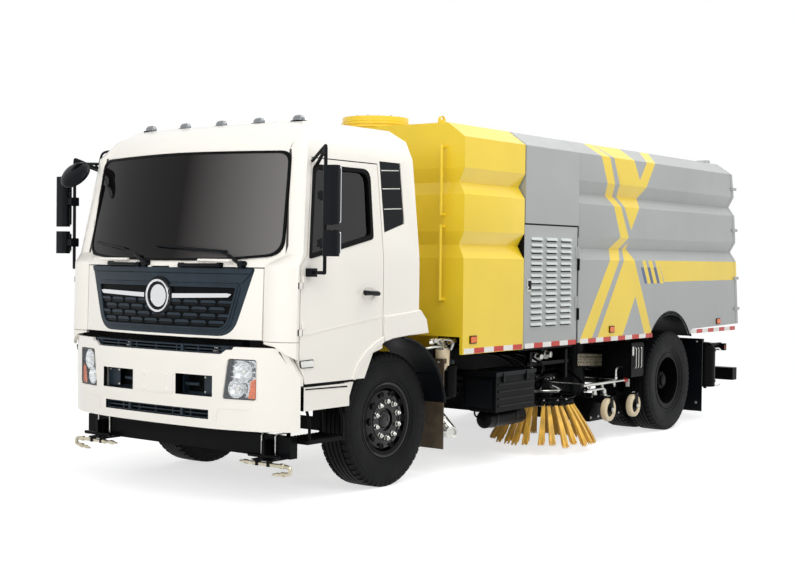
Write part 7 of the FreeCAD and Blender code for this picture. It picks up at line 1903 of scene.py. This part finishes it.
def make_rear():
    """Tail lamps, water filters, gate clamps and the bare plate."""
    dressed("rear_beam", "chassis", [BLACK], bevel=0.005)
    dressed("water_filters", "chassis", [BLACK], bevel=0.004)
    for side, hand in SIDES:
        bm = loose()
        block(bm, -6.20, -5.92, side * 1.12, side * 1.16, 0.83, 0.86, 0)
        x = -6.250
        for y0, y1, mat in ((0.62, 0.78, 1), (0.785, 0.945, 2), (0.95, 1.11, 1)):
            block(bm, x - 0.028, x, side * y0, side * y1, 0.785, 0.838, mat)
        block(bm, x - 0.020, x, side * 1.125, side * 1.190, 0.79, 0.832, 1)
        block(bm, -6.20, -6.19, side * 1.198, side * 1.206, 0.79, 0.83, 2)
        piece("tail_lamps_" + hand, bm, [BLACK, RED_LENS, AMBER], "chassis",
              bevel=0.002)
        bm = loose()
        for z in (0.42, 0.77):
            collar(bm, at(FILTER_X, side * FILTER_Y, z), (0, 0, 1), 0.110, 0.118, 0.026, 40)
        lathe(bm, at(FILTER_X, side * FILTER_Y, 0.820), (0, 0, 1),
              [(0, 0), (0, 0.100), (0.016, 0.092), (0.024, 0.05), (0.050, 0.045), (0.054, 0)], 32)
        tube(bm, [at(-6.02, side * 1.15, 0.375), at(-6.10, side * 1.17, 0.37),
                  at(-6.14, side * 1.17, 0.385)], 0.010, 8, 1, 0.02)
        tube(bm, [at(-6.02, side * 1.15, 0.80), at(-6.10, side * 1.17, 0.80),
                  at(-6.16, side * 1.17, 0.775)], 0.010, 8, 1, 0.02)
        drum(bm, at(FILTER_X, side * FILTER_Y, 0.345), at(FILTER_X, side * FILTER_Y, 0.372), 0.02,
             6, 0)
        piece("filter_bands_" + hand, bm, [BLACK, STEEL], "chassis")
        # clamps on the tank's rear gate
        bm = loose()
        for z in (1.25, 1.60, 2.15, 2.62):
            block(bm, -6.475 + (z - 1.075) * 0.11, -6.34 + (z - 1.075) * 0.11, side * 1.252,
                  side * 1.264, z - 0.016, z + 0.016, 0)
        piece("gate_clamps_" + hand, bm, GREY, "rear_gate", bevel=0.002)
    bm = loose()
    block(bm, -6.270, -6.250, -0.26, 0.26, 0.76, 0.88, 0)
    piece("rear_plate", bm, TAPE, "chassis", bevel=0.004)


def make_flares():
    """The white lips over the front wheel, on the door's corner and behind it on the cab."""
    arch = [(0.556, 0.880), (0.504, 0.959), (0.401, 1.052), (0.300, 1.108), (0.214, 1.142)]
    outer = [(0.600, 0.890), (0.546, 0.985), (0.430, 1.088), (0.320, 1.148), (0.214, 1.190)]
    for side, hand in SIDES:
        bm = loose()
        for a, b, c, d in zip(arch, arch[1:], outer[1:], outer):
            slab(bm, "xz", [a, b, c, d], side * 1.170, side * 1.213)
        bmesh.ops.remove_doubles(bm, verts=bm.verts, dist=1e-5)
        inner = [f for f in bm.faces if all(len(e.link_faces) > 2 for e in f.edges)]
        bmesh.ops.delete(bm, geom=inner, context="FACES")
        piece("door_lip_" + hand, bm, WHITE, hand + "_door", bevel=0.004)
        bm = loose()
        slab(bm, "xz", [(0.206, 1.146), (0.096, 1.168), (-0.092, 1.183), (-0.364, 1.192),
                        (-0.332, 1.304), (-0.252, 1.382), (0.000, 1.358), (0.206, 1.345)],
             side * 1.150, side * 1.214)
        piece("cab_lip_" + hand, bm, WHITE, "cab", bevel=0.010, steps=3)
        bm = loose()
        slab(bm, "xz", [(0.660, 0.700), (0.628, 0.691), (0.552, 0.868), (0.660, 0.868)],
             side * 1.150, side * 1.190)
        piece("step_cheek_" + hand, bm, WHITE, "chassis", bevel=0.004)


make_bumper()
make_flares()
make_headlights()
make_wash_beam()
make_steps()
make_guards()
make_side_kit()
make_brooms()
make_head()
make_rear()


for node, material in (("frame", BLACK), ("axles", BLACK), ("engine", IRON)):
    wear(node, material)
bpy.context.scene.view_settings.view_transform = "Standard"
